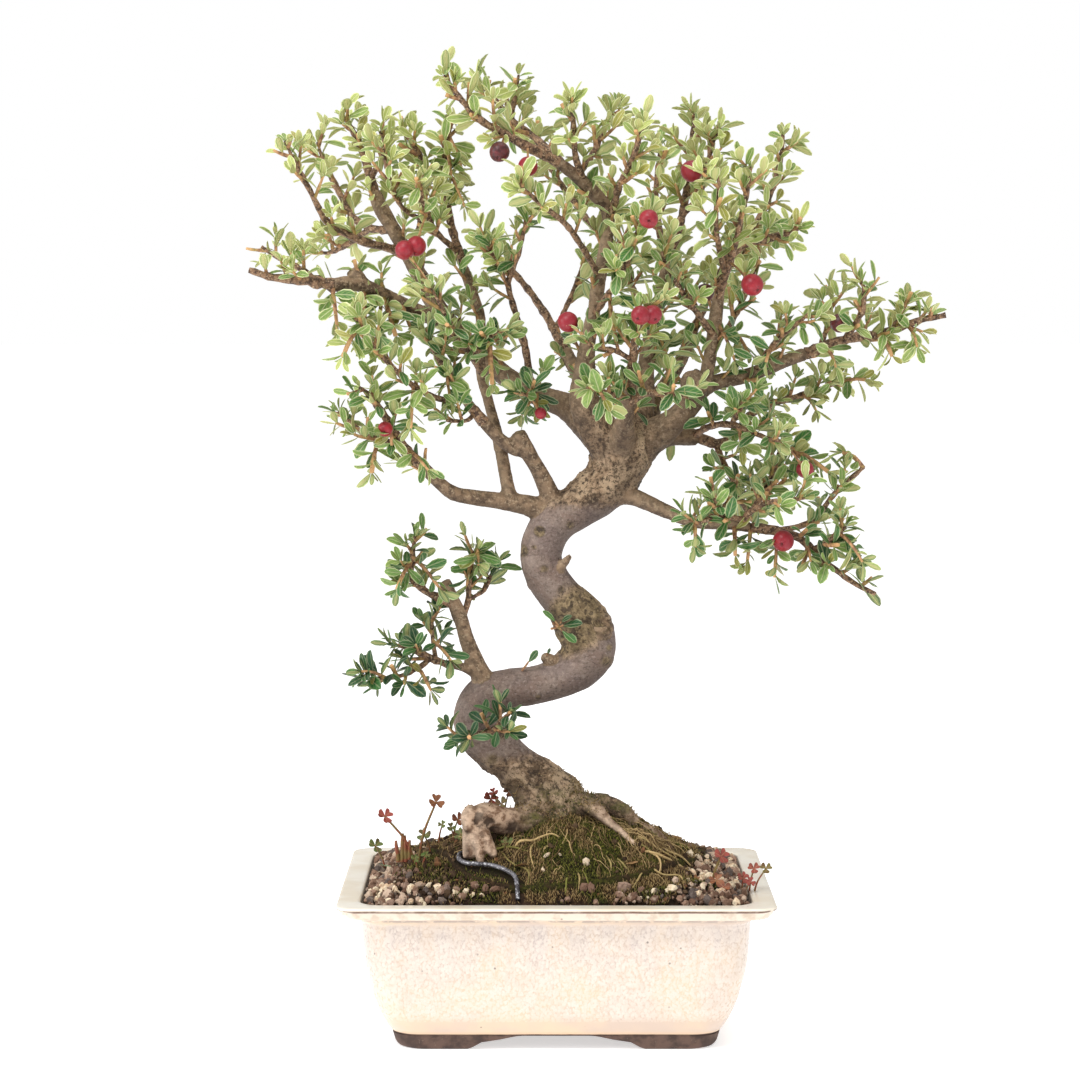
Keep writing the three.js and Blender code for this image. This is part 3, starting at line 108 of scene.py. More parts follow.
LIMBS = {
    "left_main": [
        [1, 229, -1, 6], [-12, 233.8, -4, 4.4], [-25, 236, -8, 3.6], [-38, 237.5, -12, 3.3],
        [-46, 239.5, -15, 3.2], [-52.5, 244.5, -17, 2.8], [-60, 252, -20, 2.5],
    ],
    "cut_stub": [
        [0, 233, -1, 4.6], [-6, 246, -5, 3.7], [-11, 255, -8, 3.5], [-15, 262, -10, 3.6],
        [-16.8, 266.5, -11, 3.2],
    ],
    "stub_arm": [
        [-13.5, 258, -9, 2.8], [-19.5, 259.5, -11, 2.9], [-27, 265.5, -14, 2.6],
        [-32, 271, -16, 2.5],
    ],
    "upright": [
        [-20, 236, -7, 3.4], [-22.2, 246, -4, 2.8], [-24.5, 258, -1, 2.7], [-27, 269, 1, 2.5],
        [-30, 280, 2, 2.4], [-33, 292, 2, 2.4], [-34, 305, 3, 2.4], [-33.5, 318, 4, 2.4],
        [-38, 331, 5, 2.3], [-41, 340, 6, 2.2],
    ],
    "back_left": [
        [24, 261, 5, 9.5], [14, 271, 7, 7.4], [4, 278.5, 10, 5.8], [-10, 284, 14, 4.7],
        [-22, 291, 18, 4.5], [-34, 301, 22, 4.4], [-45, 312, 25, 4.3], [-53, 323, 27, 4],
        [-60, 335, 30, 3.7], [-66, 346, 32, 3.5], [-72, 356, 34, 3.3], [-77, 365, 35, 3.4],
        [-80.5, 373, 36, 2.8],
    ],
    "far_left": [
        [-46, 313, 24, 3.8], [-55, 317.5, 18, 3.5], [-65, 322, 14, 3.3], [-75, 327, 10, 3.2],
        [-84, 331, 6, 3.1], [-92, 332.5, 3, 3.3], [-99, 331.8, 0, 3.1],
    ],
    "far_left_knob": [[-85, 331, 6, 3.2], [-88, 335, 7, 3.4], [-90.5, 338.5, 8, 3]],
    "top": [
        [26, 256, 0, 9], [18, 268, -4, 8.2], [13, 279, -7, 6.6], [12.5, 291, -9, 5],
        [13.5, 303, -9, 3.6], [16, 316, -9, 3.2], [18.5, 330, -9, 3], [21, 344, -8, 2.8],
        [23, 356, -7, 2.7], [22.5, 365, -7, 3], [17, 372, -9, 3.2], [10, 379, -12, 2.8],
        [1, 386, -15, 2.5],
    ],
    "top_cut": [[12.5, 291, -9, 4], [13.5, 293.5, -19, 3.6]],
    "middle": [
        [32, 260, 3, 8], [36.5, 272, 8, 6.4], [39, 284, 12, 4.8], [40, 296, 16, 3.7],
        [42, 310, 20, 3.1], [45, 322, 23, 2.8], [47.5, 334, 26, 2.5], [50, 344, 28, 2.4],
    ],
    "right_up": [
        [35, 258, 2, 8.4], [45, 266, 0, 7], [55, 274, -2, 5.4], [62, 282, -3, 4.8],
        [66.5, 291, -4, 3.4], [69, 304, -4, 3], [71, 318, -3, 3], [72.5, 331, -2, 2.7],
    ],
    "right_knob": [[60, 281, -3, 5], [61.5, 286, -8, 5.8], [61.5, 288.5, -14, 6.4]],
    "long_right": [
        [61, 283, -2, 4.6], [70, 288.5, 4, 3.7], [80, 290.5, 6, 3.2], [90, 293.5, 8, 3.1],
        [100, 297.5, 10, 3], [111, 301.5, 11.5, 2.8],
    ],
    "right_arm": [[33, 256, 4, 8.4], [44, 263, 8, 5.6], [54, 265, 11, 4.4], [63, 264, 13, 3.6]],
    "lower_right": [
        [21, 240, 0, 7], [32, 238.3, -2, 3.9], [42, 234.5, -6, 3.3], [50, 231, -9, 3],
        [57, 227.8, -12, 2.8], [66, 226, -15, 2.7], [78, 225.5, -18, 2.6], [87, 224, -20, 2.4],
    ],
    "low_spur": [
        [-30, 149, -4, 6.6], [-33, 156.5, -5, 4.6], [-37, 166, -6, 3.9], [-40.5, 176, -7, 3.3],
        [-43, 184, -7, 3.2], [-46, 191, -7, 3.1], [-49.8, 200, -8, 2.5],
    ],
    "low_spur_side": [[-35, 158.5, -6, 2.6], [-42, 161.3, -9, 2], [-47, 162.3, -10.5, 1.8]],
    "back_fill_left": [[26, 256, 8, 8], [20, 271, 22, 5], [12, 288, 36, 3.7], [4, 303, 46, 2.8]],
    "back_fill_right": [[35, 260, 8, 7], [44, 280, 26, 4], [55, 298, 41, 3], [61, 311, 49, 2.5]],
    "front_fill": [[29, 259, -4, 7], [31, 273, -18, 3.8], [33, 288, -30, 2.8]],
    "mid_knot": [[19, 176, -3, 5.4], [21.5, 180, -7.5, 3.6]],
    "inner_knot": [[3, 160, 0, 4], [-3.5, 165, -3, 2.8], [-6, 166.5, -4, 2]],
    "cut_peg": [[2, 206, -6, 2.2], [6.5, 211.5, -9, 1.3]],
    "root_left": [
        [-4, 95, -8, 8.5], [-14, 91.5, -15, 6], [-23, 91.5, -20, 5.6], [-31, 93.5, -24, 6.2],
        [-36, 91, -27, 5.8], [-37, 85, -28.6, 3.6], [-37.4, 74, -30, 1.8],
    ],
    "root_right": [
        [6, 97, -6, 7], [13, 100, -12, 4.8], [17.5, 97, -16, 3.4], [23.5, 91.5, -20, 2.1],
        [30, 86, -26, 1.6], [36, 80, -31, 1.2],
    ],
    "root_knob": [
        [14, 98, -2, 6], [22, 98.5, -3, 5], [29, 96, -4, 4.2], [37, 88.5, -6, 3.2],
        [44, 85.5, -7, 3], [51, 79, -8, 2.4],
    ],
    "root_back": [[4, 100, 6, 9], [12, 93, 18, 6], [18, 84, 27, 4.4], [22, 75, 33, 3.2]],
}

# Branchlets: each twig as ((radius at its foot, at its tip), places as [x, z, depth]). A twig
# after the first of its branchlet starts on the nearest place of an earlier one
SPRAYS = {
    "left_low": [
        ((2.4, 0.9), [[-60, 252, -20], [-66, 258, -22], [-70, 264, -24], [-75, 272, -27],
            [-80, 279, -30], [-85, 285, -33], [-91, 289, -36]]),
        ((1.6, 0.9), [[-66, 258, -22], [-73, 261.5, -18], [-80, 263.5, -14], [-87, 267, -10],
            [-95, 274, -6], [-99, 279, -4]]),
    ],
    "left_mid": [
        ((2.3, 1.2), [[-32, 271, -16], [-37, 277, -18], [-42, 283, -20], [-47, 291, -20],
            [-52, 300, -19], [-57, 309, -16], [-62, 318, -12]]),
        ((1.5, 0.9), [[-41, 282, -20], [-50, 281, -24], [-60, 285, -28], [-68, 291, -32],
            [-75, 298, -35], [-82, 306, -38], [-88, 315, -40], [-92, 325, -42]]),
        ((1, 0.8), [[-36, 276, -18], [-39, 272, -23], [-46, 271.5, -28], [-53, 272, -32]]),
    ],
    "far_left": [
        ((2.9, 1.2), [[-99, 331.8, 0], [-108, 333.5, -2], [-118, 334.5, -4], [-127, 335.5, -6],
            [-136, 338.5, -8]]),
        ((1.4, 0.9), [[-106, 333.3, -1], [-113, 339, 3], [-121, 343, 6], [-128, 347, 8],
            [-134, 352, 9]]),
    ],
    "arch_left": [
        ((2, 0.9), [[-66, 346, 32], [-75, 348.5, 26], [-85, 351, 21], [-94, 355, 17],
            [-102, 360.5, 14], [-106.5, 369, 12], [-112, 379.5, 10], [-117, 389, 9],
            [-122, 401, 8]]),
    ],
    "back_left": [
        ((1.8, 0.9), [[-72, 356, 34], [-82, 357, 42], [-90, 362, 46], [-95, 371, 49],
            [-100, 381, 51], [-104, 390, 52], [-107, 400, 54]]),
        ((1.4, 0.9), [[-82, 357, 42], [-92, 350, 54], [-101, 346, 62], [-109, 348, 68]]),
    ],
    "left_crown": [
        ((2.5, 0.9), [[-80.5, 373, 36], [-83, 383, 36], [-86, 392, 35], [-91, 402, 34],
            [-98, 411, 33]]),
        ((1.4, 0.9), [[-82, 379, 36], [-77, 388, 28], [-76, 396, 22], [-80, 404, 16]]),
    ],
    "left_inner": [
        ((1.7, 0.9), [[-67, 347, 32], [-61, 356, 26], [-59, 367, 22], [-57, 379, 18],
            [-60, 389, 14], [-66, 397, 10], [-71, 404, 8]]),
        ((1.1, 0.8), [[-60, 360, 24], [-68, 366, 14], [-73, 377, 4], [-76, 389, -4],
            [-77, 399, -9]]),
    ],
    "dark_upright": [
        ((2.1, 0.9), [[-41, 340, 6], [-45, 353, 9], [-48, 367, 11], [-49.5, 380, 13],
            [-48, 394, 15], [-45, 409, 18]]),
        ((1.3, 0.9), [[-43, 347, 8], [-52, 354, -2], [-57, 363, -12], [-60, 374, -20],
            [-57, 386, -26]]),
    ],
    "center_left": [
        ((1.6, 0.9), [[-33, 293, 2], [-36, 298, -8], [-41, 305, -18], [-47, 315, -26],
            [-53, 326, -32], [-58, 336, -36]]),
        ((1.1, 0.9), [[-37, 299, -10], [-33, 305, -18], [-28, 310, -25], [-22, 314, -30]]),
    ],
    "center_fork": [
        ((1.9, 0.9), [[-10, 284, 14], [-12, 292, 6], [-13, 301, 0], [-16, 313, -3], [-19, 323, -5],
            [-21, 333, -7], [-17, 345, -9], [-14, 357, -11], [-13, 369, -13]]),
        ((1, 0.8), [[-21, 331, -7], [-27, 343, -14], [-31, 351, -20], [-38, 356, -24]]),
        ((1.2, 0.8), [[-12, 291, 7], [-8, 286, -6], [-13, 283, -16], [-20, 286, -23]]),
    ],
    "top_left": [
        ((2.4, 0.9), [[1, 386, -15], [-7, 390, -18], [-15, 394, -21], [-24, 399, -23],
            [-32, 403.5, -25], [-39, 410, -27], [-46, 419, -29], [-53, 429, -31]]),
    ],
    "top_left_back": [
        ((1.8, 0.9), [[5, 383, -13], [-3, 391, -4], [-11, 398, 3], [-19, 404, 9], [-26, 412, 14],
            [-32, 419, 18], [-38, 427, 22]]),
        ((1.1, 0.8), [[-19, 404, 9], [-18.5, 413, 8], [-17, 421, 7], [-16, 429, 6]]),
    ],
    "top_mid": [
        ((1.6, 0.9), [[13, 376, -11], [9, 387, -18], [8, 396, -24], [7.5, 406, -28],
            [5, 418, -31]]),
        ((1.4, 0.9), [[11, 382, -14], [17, 391, -2], [21, 400, 8], [25, 409, 16], [29, 415, 22]]),
    ],
    "top_front": [
        ((1.7, 0.9), [[23, 361, -7], [26, 368, -17], [28, 376, -26], [33, 386, -33],
            [37, 397, -38], [41, 409, -41]]),
    ],
    "top_back": [
        ((1.8, 0.9), [[22, 351, -7], [16, 358, 9], [9, 367, 26], [1, 378, 42], [-6, 390, 54],
            [-11, 402, 62]]),
    ],
    "front_twig": [
        ((1.5, 0.8), [[19, 336, -9], [12, 348, -22], [4, 359, -34], [-5, 366, -43],
            [-14, 374, -50], [-21, 381, -55]]),
    ],
    "front_mid": [
        ((1.5, 0.9), [[16.5, 318, -9], [22, 326, -22], [28, 335, -32], [33, 346, -40],
            [37, 358, -46], [44, 368, -50]]),
    ],
    "front_rosette": [
        ((2.2, 0.9), [[33, 288, -30], [34, 298, -38], [35, 307, -45], [39, 317, -51],
            [42, 328, -56]]),
        ((1.2, 0.9), [[34, 299, -39], [26, 303, -45], [18, 304, -50], [9, 309, -54]]),
    ],
    "head_front": [
        ((2, 0.9), [[32, 279, -23], [39, 284, -34], [47, 284, -42], [56, 283, -48],
            [63, 279, -52]]),
        ((1.3, 0.9), [[36, 282, -29], [30, 282, -38], [20, 285, -45], [8, 288, -50]]),
    ],
    "mid_crown": [
        ((2.1, 0.9), [[50, 344, 28], [54, 356, 30], [57, 367, 31], [58, 377, 32], [59, 389, 33],
            [60.5, 401, 34], [61.5, 413, 35]]),
        ((1.4, 0.9), [[56, 362, 31], [63, 371, 20], [66, 381, 12], [69, 394, 5], [74, 406, 0]]),
    ],
    "mid_back": [
        ((1.7, 0.9), [[49, 340, 27], [46, 354, 42], [44, 369, 54], [45, 384, 63], [47, 399, 69]]),
    ],
    "mid_far_back": [
        ((1.6, 0.9), [[42, 310, 20], [36, 324, 35], [31, 340, 49], [27, 357, 60], [24, 374, 68]]),
    ],
    "back_low_left": [
        ((2.2, 0.9), [[4, 303, 46], [-4, 318, 54], [-14, 332, 61], [-25, 344, 67],
            [-36, 354, 72]]),
        ((1.3, 0.9), [[-1, 312, 51], [6, 325, 62], [11, 338, 70], [15, 350, 77]]),
    ],
    "back_low_right": [
        ((2, 0.9), [[61, 311, 49], [67, 325, 57], [75, 337, 63], [84, 347, 68], [93, 355, 72]]),
        ((1.3, 0.9), [[64, 318, 53], [58, 331, 63], [54, 345, 71], [51, 358, 77]]),
    ],
    "right_tip": [
        ((2.5, 1.2), [[72.5, 331, -2], [76.5, 344, -1], [85, 350.5, -3], [95, 352.5, -5],
            [104, 355, -6], [113, 360, -7]]),
        ((1.6, 0.9), [[82, 349, -2], [87, 357, 8], [93, 368, 15], [97.5, 380, 19], [100, 392, 21],
            [100, 404, 22]]),
    ],
    "right_crown": [
        ((1.7, 0.9), [[71.5, 325, -2], [75, 336, -12], [79, 349, -20], [82, 362, -26],
            [85, 376, -30], [87, 390, -32]]),
        ((1.3, 0.9), [[75, 336, -12], [72, 349, -24], [70.5, 362, -33], [72, 375, -39],
            [69, 388, -43]]),
    ],
    "right_front": [
        ((1.5, 0.9), [[70, 309, -4], [63, 319, -16], [56, 329, -27], [49, 340, -36],
            [45, 352, -42]]),
    ],
    "right_back": [
        ((1.5, 0.9), [[69, 303, -4], [77, 314, 12], [84, 328, 27], [89, 343, 39], [92, 359, 48]]),
    ],
    "long_tip": [
        ((2.7, 1.2), [[111, 301.5, 11.5], [122, 305.5, 13], [132, 308.5, 14], [141, 309.5, 14],
            [151, 312.5, 13], [161, 316, 12], [173, 318.5, 10]]),
        ((1.5, 0.9), [[127, 307, 13.5], [132, 313, 5], [136, 321, -1], [136.5, 330, -5],
            [134, 338, -9]]),
        ((1.2, 0.9), [[117, 303.7, 12], [120, 312, 21], [122, 322, 29], [122.5, 334, 36]]),
        ((1.3, 0.9), [[150, 312, 13], [153, 320, 18], [155, 330, 22]]),
    ],
    "long_front": [
        ((1.5, 0.9), [[88, 293, 8], [94, 302, -2], [101, 310, -10], [108, 315.5, -16],
            [116, 323, -22]]),
    ],
    "long_under": [
        ((2.3, 1), [[63, 264, 13], [72, 261.5, 15], [79, 265, 18], [87, 274.5, 22], [95, 279, 26],
            [107, 282.5, 30], [118, 286, 34], [132, 290.5, 38]]),
        ((1.6, 0.9), [[71, 261.7, 15], [75, 252, 9], [79, 245, 3], [82.5, 237, -3]]),
    ],
    "inner_right": [
        ((1.6, 0.9), [[61, 264.5, 12.5], [68, 269, -1], [78, 270, -13], [88, 266, -23],
            [97, 263, -31], [105, 262, -37]]),
        ((1.1, 0.9), [[78, 270, -13], [82, 277, -24], [84, 284, -34]]),
    ],
    "low_right_tip": [
        ((2.3, 0.9), [[87, 224, -20], [98, 222.5, -21], [109, 219, -22], [117, 211.5, -24],
            [125, 205, -26], [134, 198.5, -28], [143, 194, -30]]),
        ((1.4, 1), [[99, 222.3, -21], [110, 225, -15], [117, 229, -11], [121, 235, -8],
            [127, 242, -4], [137, 251, 1]]),
        ((1.1, 0.9), [[114, 215, -23], [120, 217, -30], [127, 221.5, -36], [133, 229, -40]]),
    ],
    "low_right_inner": [
        ((1.6, 0.9), [[82, 225, -19], [87, 231, -28], [94, 235, -35], [105, 236, -40],
            [117, 238.5, -44]]),
        ((1.4, 0.9), [[85, 228.5, -24], [92, 238, -14], [96, 247, -6], [99, 256, 0],
            [102, 266, 5]]),
        ((1.4, 0.9), [[84, 227.5, -22.5], [76, 229, -30], [66, 227, -37], [57, 222, -42]]),
        ((1, 0.8), [[74, 229, -31], [72, 235, -38], [68, 240, -43]]),
    ],
    "low_right_back": [
        ((1.6, 0.9), [[66, 226, -15], [73, 232, 4], [82, 238, 20], [93, 241, 33], [106, 245, 44]]),
        ((1.2, 0.9), [[82, 238, 20], [86, 229, 33], [93, 224, 43]]),
    ],
    "spur_left": [
        ((2, 0.9), [[-45, 188.5, -7], [-52, 192.2, -9], [-58, 195.3, -11], [-64, 200.5, -13],
            [-64.5, 208, -14], [-63.5, 216, -15], [-62, 226, -16]]),
    ],
    "spur_right": [
        ((1.6, 0.9), [[-42, 183, -7], [-39.5, 190, -4], [-38.7, 200, -2], [-38, 208, 0],
            [-35.5, 214, 2], [-32, 224, 4]]),
        ((1, 0.8), [[-39.3, 191, -4], [-32, 196, 0], [-28.5, 204, 4], [-25, 213, 7]]),
    ],
    "spur_side": [
        ((1.8, 0.9), [[-47, 162.3, -10.5], [-53, 164, -12], [-60, 167.5, -14], [-68, 170.5, -17],
            [-74, 171, -20]]),
        ((1.2, 0.8), [[-55, 165, -12.5], [-62, 160.5, -19], [-71, 157, -24], [-81, 156, -28],
            [-91, 155.5, -31]]),
        ((1, 0.8), [[-54, 164.5, -12], [-55, 173, -8], [-55.5, 181, -5], [-54, 189, -3]]),
    ],
    "foot_sprigs": [
        ((1.5, 0.9), [[-29, 131, -8], [-29, 132, -19], [-23, 138, -25], [-18, 145, -29]]),
        ((1.2, 0.9), [[-28.5, 132.5, -20], [-35, 131, -24], [-42, 128.5, -28], [-47, 125, -31]]),
    ],
}

# Berries as [x, z, depth, radius], where a touching pair is one piece, and those that are dark
BERRIES = {
    "berry_right_low": [[87, 332, -30, 4.8]],
    "berry_right_high": [[60, 382, -28, 4.8]],
    "berry_right_dark": [[66, 328.5, -12, 4]],
    "berry_top_mid": [[41, 361, -58, 4.1]],
    "berry_mid_pair": [[37.5, 318.5, -62, 4.1], [42.8, 318.8, -59, 4.1]],
    "berry_mid": [[5.3, 315.5, -45, 4.4]],
    "berry_top_maroon": [[-25, 390.5, -30, 4.4]],
    "berry_top_left": [[-12.5, 384, -32, 4.3]],
    "berry_left_pair": [[-67, 347.3, -28, 4.2], [-62, 349, -25, 4.4]],
    "berry_far_right": [[126, 315, 2, 4.3]],
    "berry_low_right_high": [[111, 250, -22, 3.9]],
    "berry_low_right": [[101.5, 218, -31, 4.7]],
    "berry_center_small": [[-6.8, 275, -18, 2.6]],
    "berry_left_low": [[-76, 268, -34, 3.3]],
}
DARK_BERRIES = {"berry_top_maroon", "berry_right_dark", "berry_far_right"}

# Twigs whose ends are cut off bare, as (branchlet, twig)
CUT_TWIGS = {("far_left", 0), ("long_tip", 0), ("low_right_tip", 0), ("low_right_tip", 1)}

# Where each limb starts to carry leafy spurs, as a share of its length
LEAFY_LIMBS = {
    "upright": 0.62, "back_left": 0.34, "far_left": 0.25, "top": 0.3, "middle": 0.3,
    "right_up": 0.42, "long_right": 0.2, "right_arm": 0.45, "lower_right": 0.5,
    "back_fill_left": 0.3, "back_fill_right": 0.3, "front_fill": 0.3, "left_main": 0.9,
}

# Toes of the pale root on the left, in the same form as the limbs
TOES = {
    "toe_outer": [[-38, 89, -28, 4.2], [-39.6, 82, -30, 2.7], [-40.4, 74, -31, 1.7]],
    "toe_middle": [[-36, 87, -30, 3.6], [-34.6, 80, -33, 2.5], [-33.8, 72, -34, 1.6]],
    "toe_inner": [[-34, 88, -29, 3.4], [-30.5, 81.5, -32, 2.6], [-27.5, 75, -34, 1.8]],
    "right_tip": [[34.5, 82, -30, 1.4], [38.5, 77.5, -32, 1.1], [41, 71, -33, 0.9]],
    "fist_ridge": [[-37, 97, -27, 3.2], [-39.6, 93, -30, 3.4], [-38.6, 87, -32, 2.6]],
}

# Scars and warts of the trunk as [x, z, radius, height], on the side that faces the eye
SCARS = [
    [-14.7, 214, 2.6, -0.7], [-5.3, 206.5, 2.2, 0.9], [-7.1, 223, 2.4, -0.5], [21.8, 165, 3, 0.9],
    [-13.6, 197, 2, 1.2], [-9.5, 216, 1.4, 0.5], [2, 197, 2, 0.7], [9, 193, 2.4, 0.9],
    [-20, 141, 3, 0.7], [-8, 149, 1.6, 0.6], [23, 171, 1.8, 0.8], [14, 205, 2.2, 0.8],
    [-24, 133, 3.4, 1.4], [-28, 122, 3, 1.2], [6, 226, 2.2, 0.7],
]
WHORL = [19.6, 182, 6.5]  # a healed cut, ringed, at the upper bend

# Weeds: where each stands, and its stalks from there as [reach x, reach y, height]
WEEDS = {
    "weed_left": ([-62, -12], [[-14, -5, 21.5], [8.5, 0, 27]]),
    "weed_right": ([68, -38], [[4, -3, 12]]),
}
# Stray weed leaves: x of each stalk's foot and x, y of its head in the photograph's pixels, its
# depth, the size of its leaflets, how green it is, and its turn
WEED_HEADS = [
    [384, 373, 851, -6, 4.6, 0.9, 0.4], [430, 423, 840, -8, 4.4, 0.8, 1.1],
    [437, 441, 829, 6, 2.6, 0.8, 2], [452, 457, 824, 6, 4.4, 0.25, 0.2],
    [453, 450, 832, 2, 3, 0.9, 1.4], [458, 460, 839, -4, 4, 0.7, 0.9],
    [500, 490, 803, 8, 4.6, 0.15, 0.5], [500, 501, 808, 4, 4.4, 0.6, 2.2],
    [500, 493, 796, 9, 2.8, 0, 1.2], [503, 508, 796, 9, 3.4, 0.4, 2.6],
    [416, 413, 864, -26, 2.6, 0.9, 0.3], [420, 425, 860, -24, 2.2, 0.8, 1.5],
    [500, 507, 848, -26, 3.8, 0.8, 0.7], [704, 697, 887, -40, 3.6, 0.35, 0.1],
    [730, 719, 886, -42, 4.2, 0.3, 1.9], [735, 727, 894, -46, 4, 0.25, 0.8],
    [745, 746, 884, -34, 3.8, 0.1, 0.2], [748, 753, 888, -36, 3.2, 0.05, 1.7],
    [752, 757, 874, -30, 3.6, 0.15, 2.5], [756, 769, 874, -32, 3.6, 0.6, 0.6],
]
# Bare stubs of weeds: x and z of foot and head in the front view
WEED_STUBS = [
    [-71, 76.9, -72, 82.5], [-69.3, 76.9, -68.9, 85.8], [-67.6, 76.9, -68, 84.9],
    [-66.2, 78, -65.8, 82.7],
]
# Roots that show on the ground: radius, how green, and places in the photograph's pixels
SHOWN_ROOTS = [
    (0.6, 0.7, [[480, 865], [490, 860], [503, 855], [515, 855], [530, 856]]),
    (0.45, 0.5, [[501, 855], [507, 867], [515, 873], [525, 877], [529, 883], [527, 892]]),
    (0.6, 0.1, [[514, 852], [520, 849], [533, 848], [541, 844], [552, 841], [562, 842]]),
    (0.45, 0.2, [[535, 847], [531, 855], [531, 866], [536, 878]]),
    (0.4, 0.1, [[541, 858], [547, 854], [554, 852]]),
    (0.5, 0, [[650, 857], [658, 863], [662, 871], [661, 880], [654, 887]]),
    (0.65, 0.1, [[643, 855], [655, 861], [668, 866], [680, 872], [697, 879]]),
    (0.5, 0.2, [[660, 850], [672, 860], [684, 867], [695, 872]]),
    (0.5, 0.9, [[568, 883], [567, 892], [566, 900]]),
    (0.45, 0.3, [[577, 875], [580, 886], [579, 896]]),
    (0.4, 0.8, [[583, 874], [587, 885], [591, 896]]),
    (0.45, 0.3, [[607, 860], [612, 872], [611, 886]]),
    (0.5, 0.4, [[618, 863], [625, 873], [632, 882]]),
    (0.45, 0.3, [[644, 882], [638, 890], [630, 898]]),
    (0.5, 0.2, [[655, 879], [666, 883], [682, 884], [687, 893]]),
    (0.4, 0.2, [[596, 840], [603, 833], [611, 829]]),
    (0.5, 0.1, [[575, 827], [583, 822], [592, 826], [600, 833]]),
    (0.55, 0.1, [[590, 822], [594, 829], [597, 838]]),
    (0.5, 0.3, [[625, 835], [645, 846], [663, 858], [682, 866]]),
    (0.4, 0.5, [[630, 842], [648, 856], [664, 868]]),
]
# Larger stones that show: [x, y, width, kind], the first three in the photograph's pixels; 0 is
# brown, 1 cream, 1.5 yellowish, 3 grey, 4 dark
STONE_SHARE = 0.62  # a stone's radius as a share of the width that shows
SHOWN_STONES = [
    [418, 891, 5, 1], [427, 893, 6, 1], [436, 894, 6, 1], [409, 848, 6, 1], [419, 846, 5, 1],
    [382, 880, 3.5, 1], [379, 870, 3, 1], [465, 899, 7, 1], [547, 863, 4.5, 1.5],
    [560, 862, 3, 1], [543, 877, 3, 1.5], [547, 818, 3.5, 1], [536, 829, 3, 1],
    [587, 871, 5.5, 1.5], [692, 861, 7, 1], [700, 864, 6, 1], [709, 866, 5, 1], [731, 867, 6, 1],
    [705, 895, 7, 1], [713, 892, 5, 1], [668, 899, 5, 1], [737, 873, 5, 1], [625, 897, 8, 3],
    [642, 897, 6, 0], [655, 899, 6, 1], [592, 899, 7, 0], [585, 897, 6, 0], [725, 858, 9, 4],
    [690, 853, 7, 0], [703, 853, 8, 0], [714, 852, 6, 0], [368, 884, 6, 0], [372, 896, 7, 0],
    [381, 890, 6, 3], [390, 897, 8, 0], [398, 888, 6, 0], [404, 895, 7, 3], [414, 898, 6, 0],
    [446, 893, 6, 0], [455, 897, 6, 3], [485, 898, 6, 0], [495, 899, 7, 0], [474, 894, 5, 0],
    [388, 860, 7, 3], [377, 862, 5, 0], [391, 873, 6, 0], [404, 882, 7, 3], [372, 874, 6, 0],
    [415, 879, 6, 0],
]
# Leaves that grow straight from the trunk: foot and tip, each as [x, y, depth], where x and y
# are in the photograph's pixels
SPRIG_LEAVES = [
    [559, 628, -6, 581, 623, -13], [559, 629, -6, 576, 643, -12], [558, 626, -5, 546, 611, -8],
    [560, 625, -6, 568, 616, -12], [526, 667, -6, 538, 652, -8], [547, 657, -5, 550, 650, -7],
]
# Shoots that hang from the nearest wood: foot and tip, each in the photograph's pixels
HANGING = [
    [335, 298, 338, 332], [360, 300, 366, 346], [385, 290, 396, 336], [348, 335, 343, 357],
    [402, 300, 412, 332], [375, 312, 378, 350], [462, 140, 462, 172], [470, 170, 465, 208],
    [456, 150, 452, 180], [440, 372, 450, 402], [455, 420, 463, 452], [405, 400, 411, 428],
    [420, 440, 428, 470], [375, 450, 371, 473], [460, 400, 471, 432], [398, 420, 392, 445],
    [700, 310, 690, 346], [720, 320, 735, 362], [650, 320, 655, 352], [755, 335, 766, 362],
    [672, 330, 668, 360], [738, 335, 748, 352], [690, 530, 696, 547], [715, 540, 722, 563],
    [735, 533, 736, 556], [772, 552, 776, 578], [805, 540, 812, 562], [830, 558, 836, 587],
    [750, 548, 748, 565], [820, 438, 829, 472], [835, 433, 843, 452], [850, 540, 864, 562],
    [870, 543, 886, 572], [860, 583, 872, 602], [800, 450, 812, 470], [825, 350, 836, 367],
    [850, 375, 872, 382], [800, 395, 816, 410], [765, 400, 776, 422], [905, 328, 917, 347],
    [880, 340, 892, 356], [430, 560, 441, 592], [455, 560, 466, 592], [382, 660, 360, 673],
    [420, 675, 430, 692], [405, 560, 396, 590], [470, 540, 478, 566], [440, 640, 450, 662],
    [530, 385, 522, 415], [600, 380, 608, 408], [500, 350, 492, 384], [560, 330, 566, 360],
    [620, 300, 612, 330],
]
# Where the photograph shows sky between the branches: [x, y, half width, half height] in its
# pixels, and more of it beside these as [x, z, half width, half height] in the front view
SKY_IN_PHOTO = [
    [545, 288, 34, 58], [490, 190, 16, 29], [228, 255, 18, 34], [434, 44, 12, 11],
    [532, 48, 12, 13], [262, 122, 20, 18], [274, 186, 18, 26], [452, 446, 38, 17],
    [862, 612, 30, 17], [900, 575, 16, 22], [716, 574, 24, 12], [756, 584, 22, 12],
    [850, 250, 12, 10], [236, 296, 24, 14], [505, 300, 10, 24],
]
SKY_BESIDE = [
    [-131, 397, 6, 8], [-115.6, 403, 6, 5], [-109.3, 367.7, 6, 8], [-133.8, 336.5, 5, 6],
    [-133, 352, 5, 6], [-51.6, 438, 6, 6], [-10.7, 433, 6, 6], [146.2, 340, 6, 5],
    [135, 261, 8, 6], [139, 245, 6, 7], [130.7, 196, 8, 6], [-31, 222, 7, 5], [-93.8, 417, 4, 6],
    [19.6, 418, 5, 4],
]
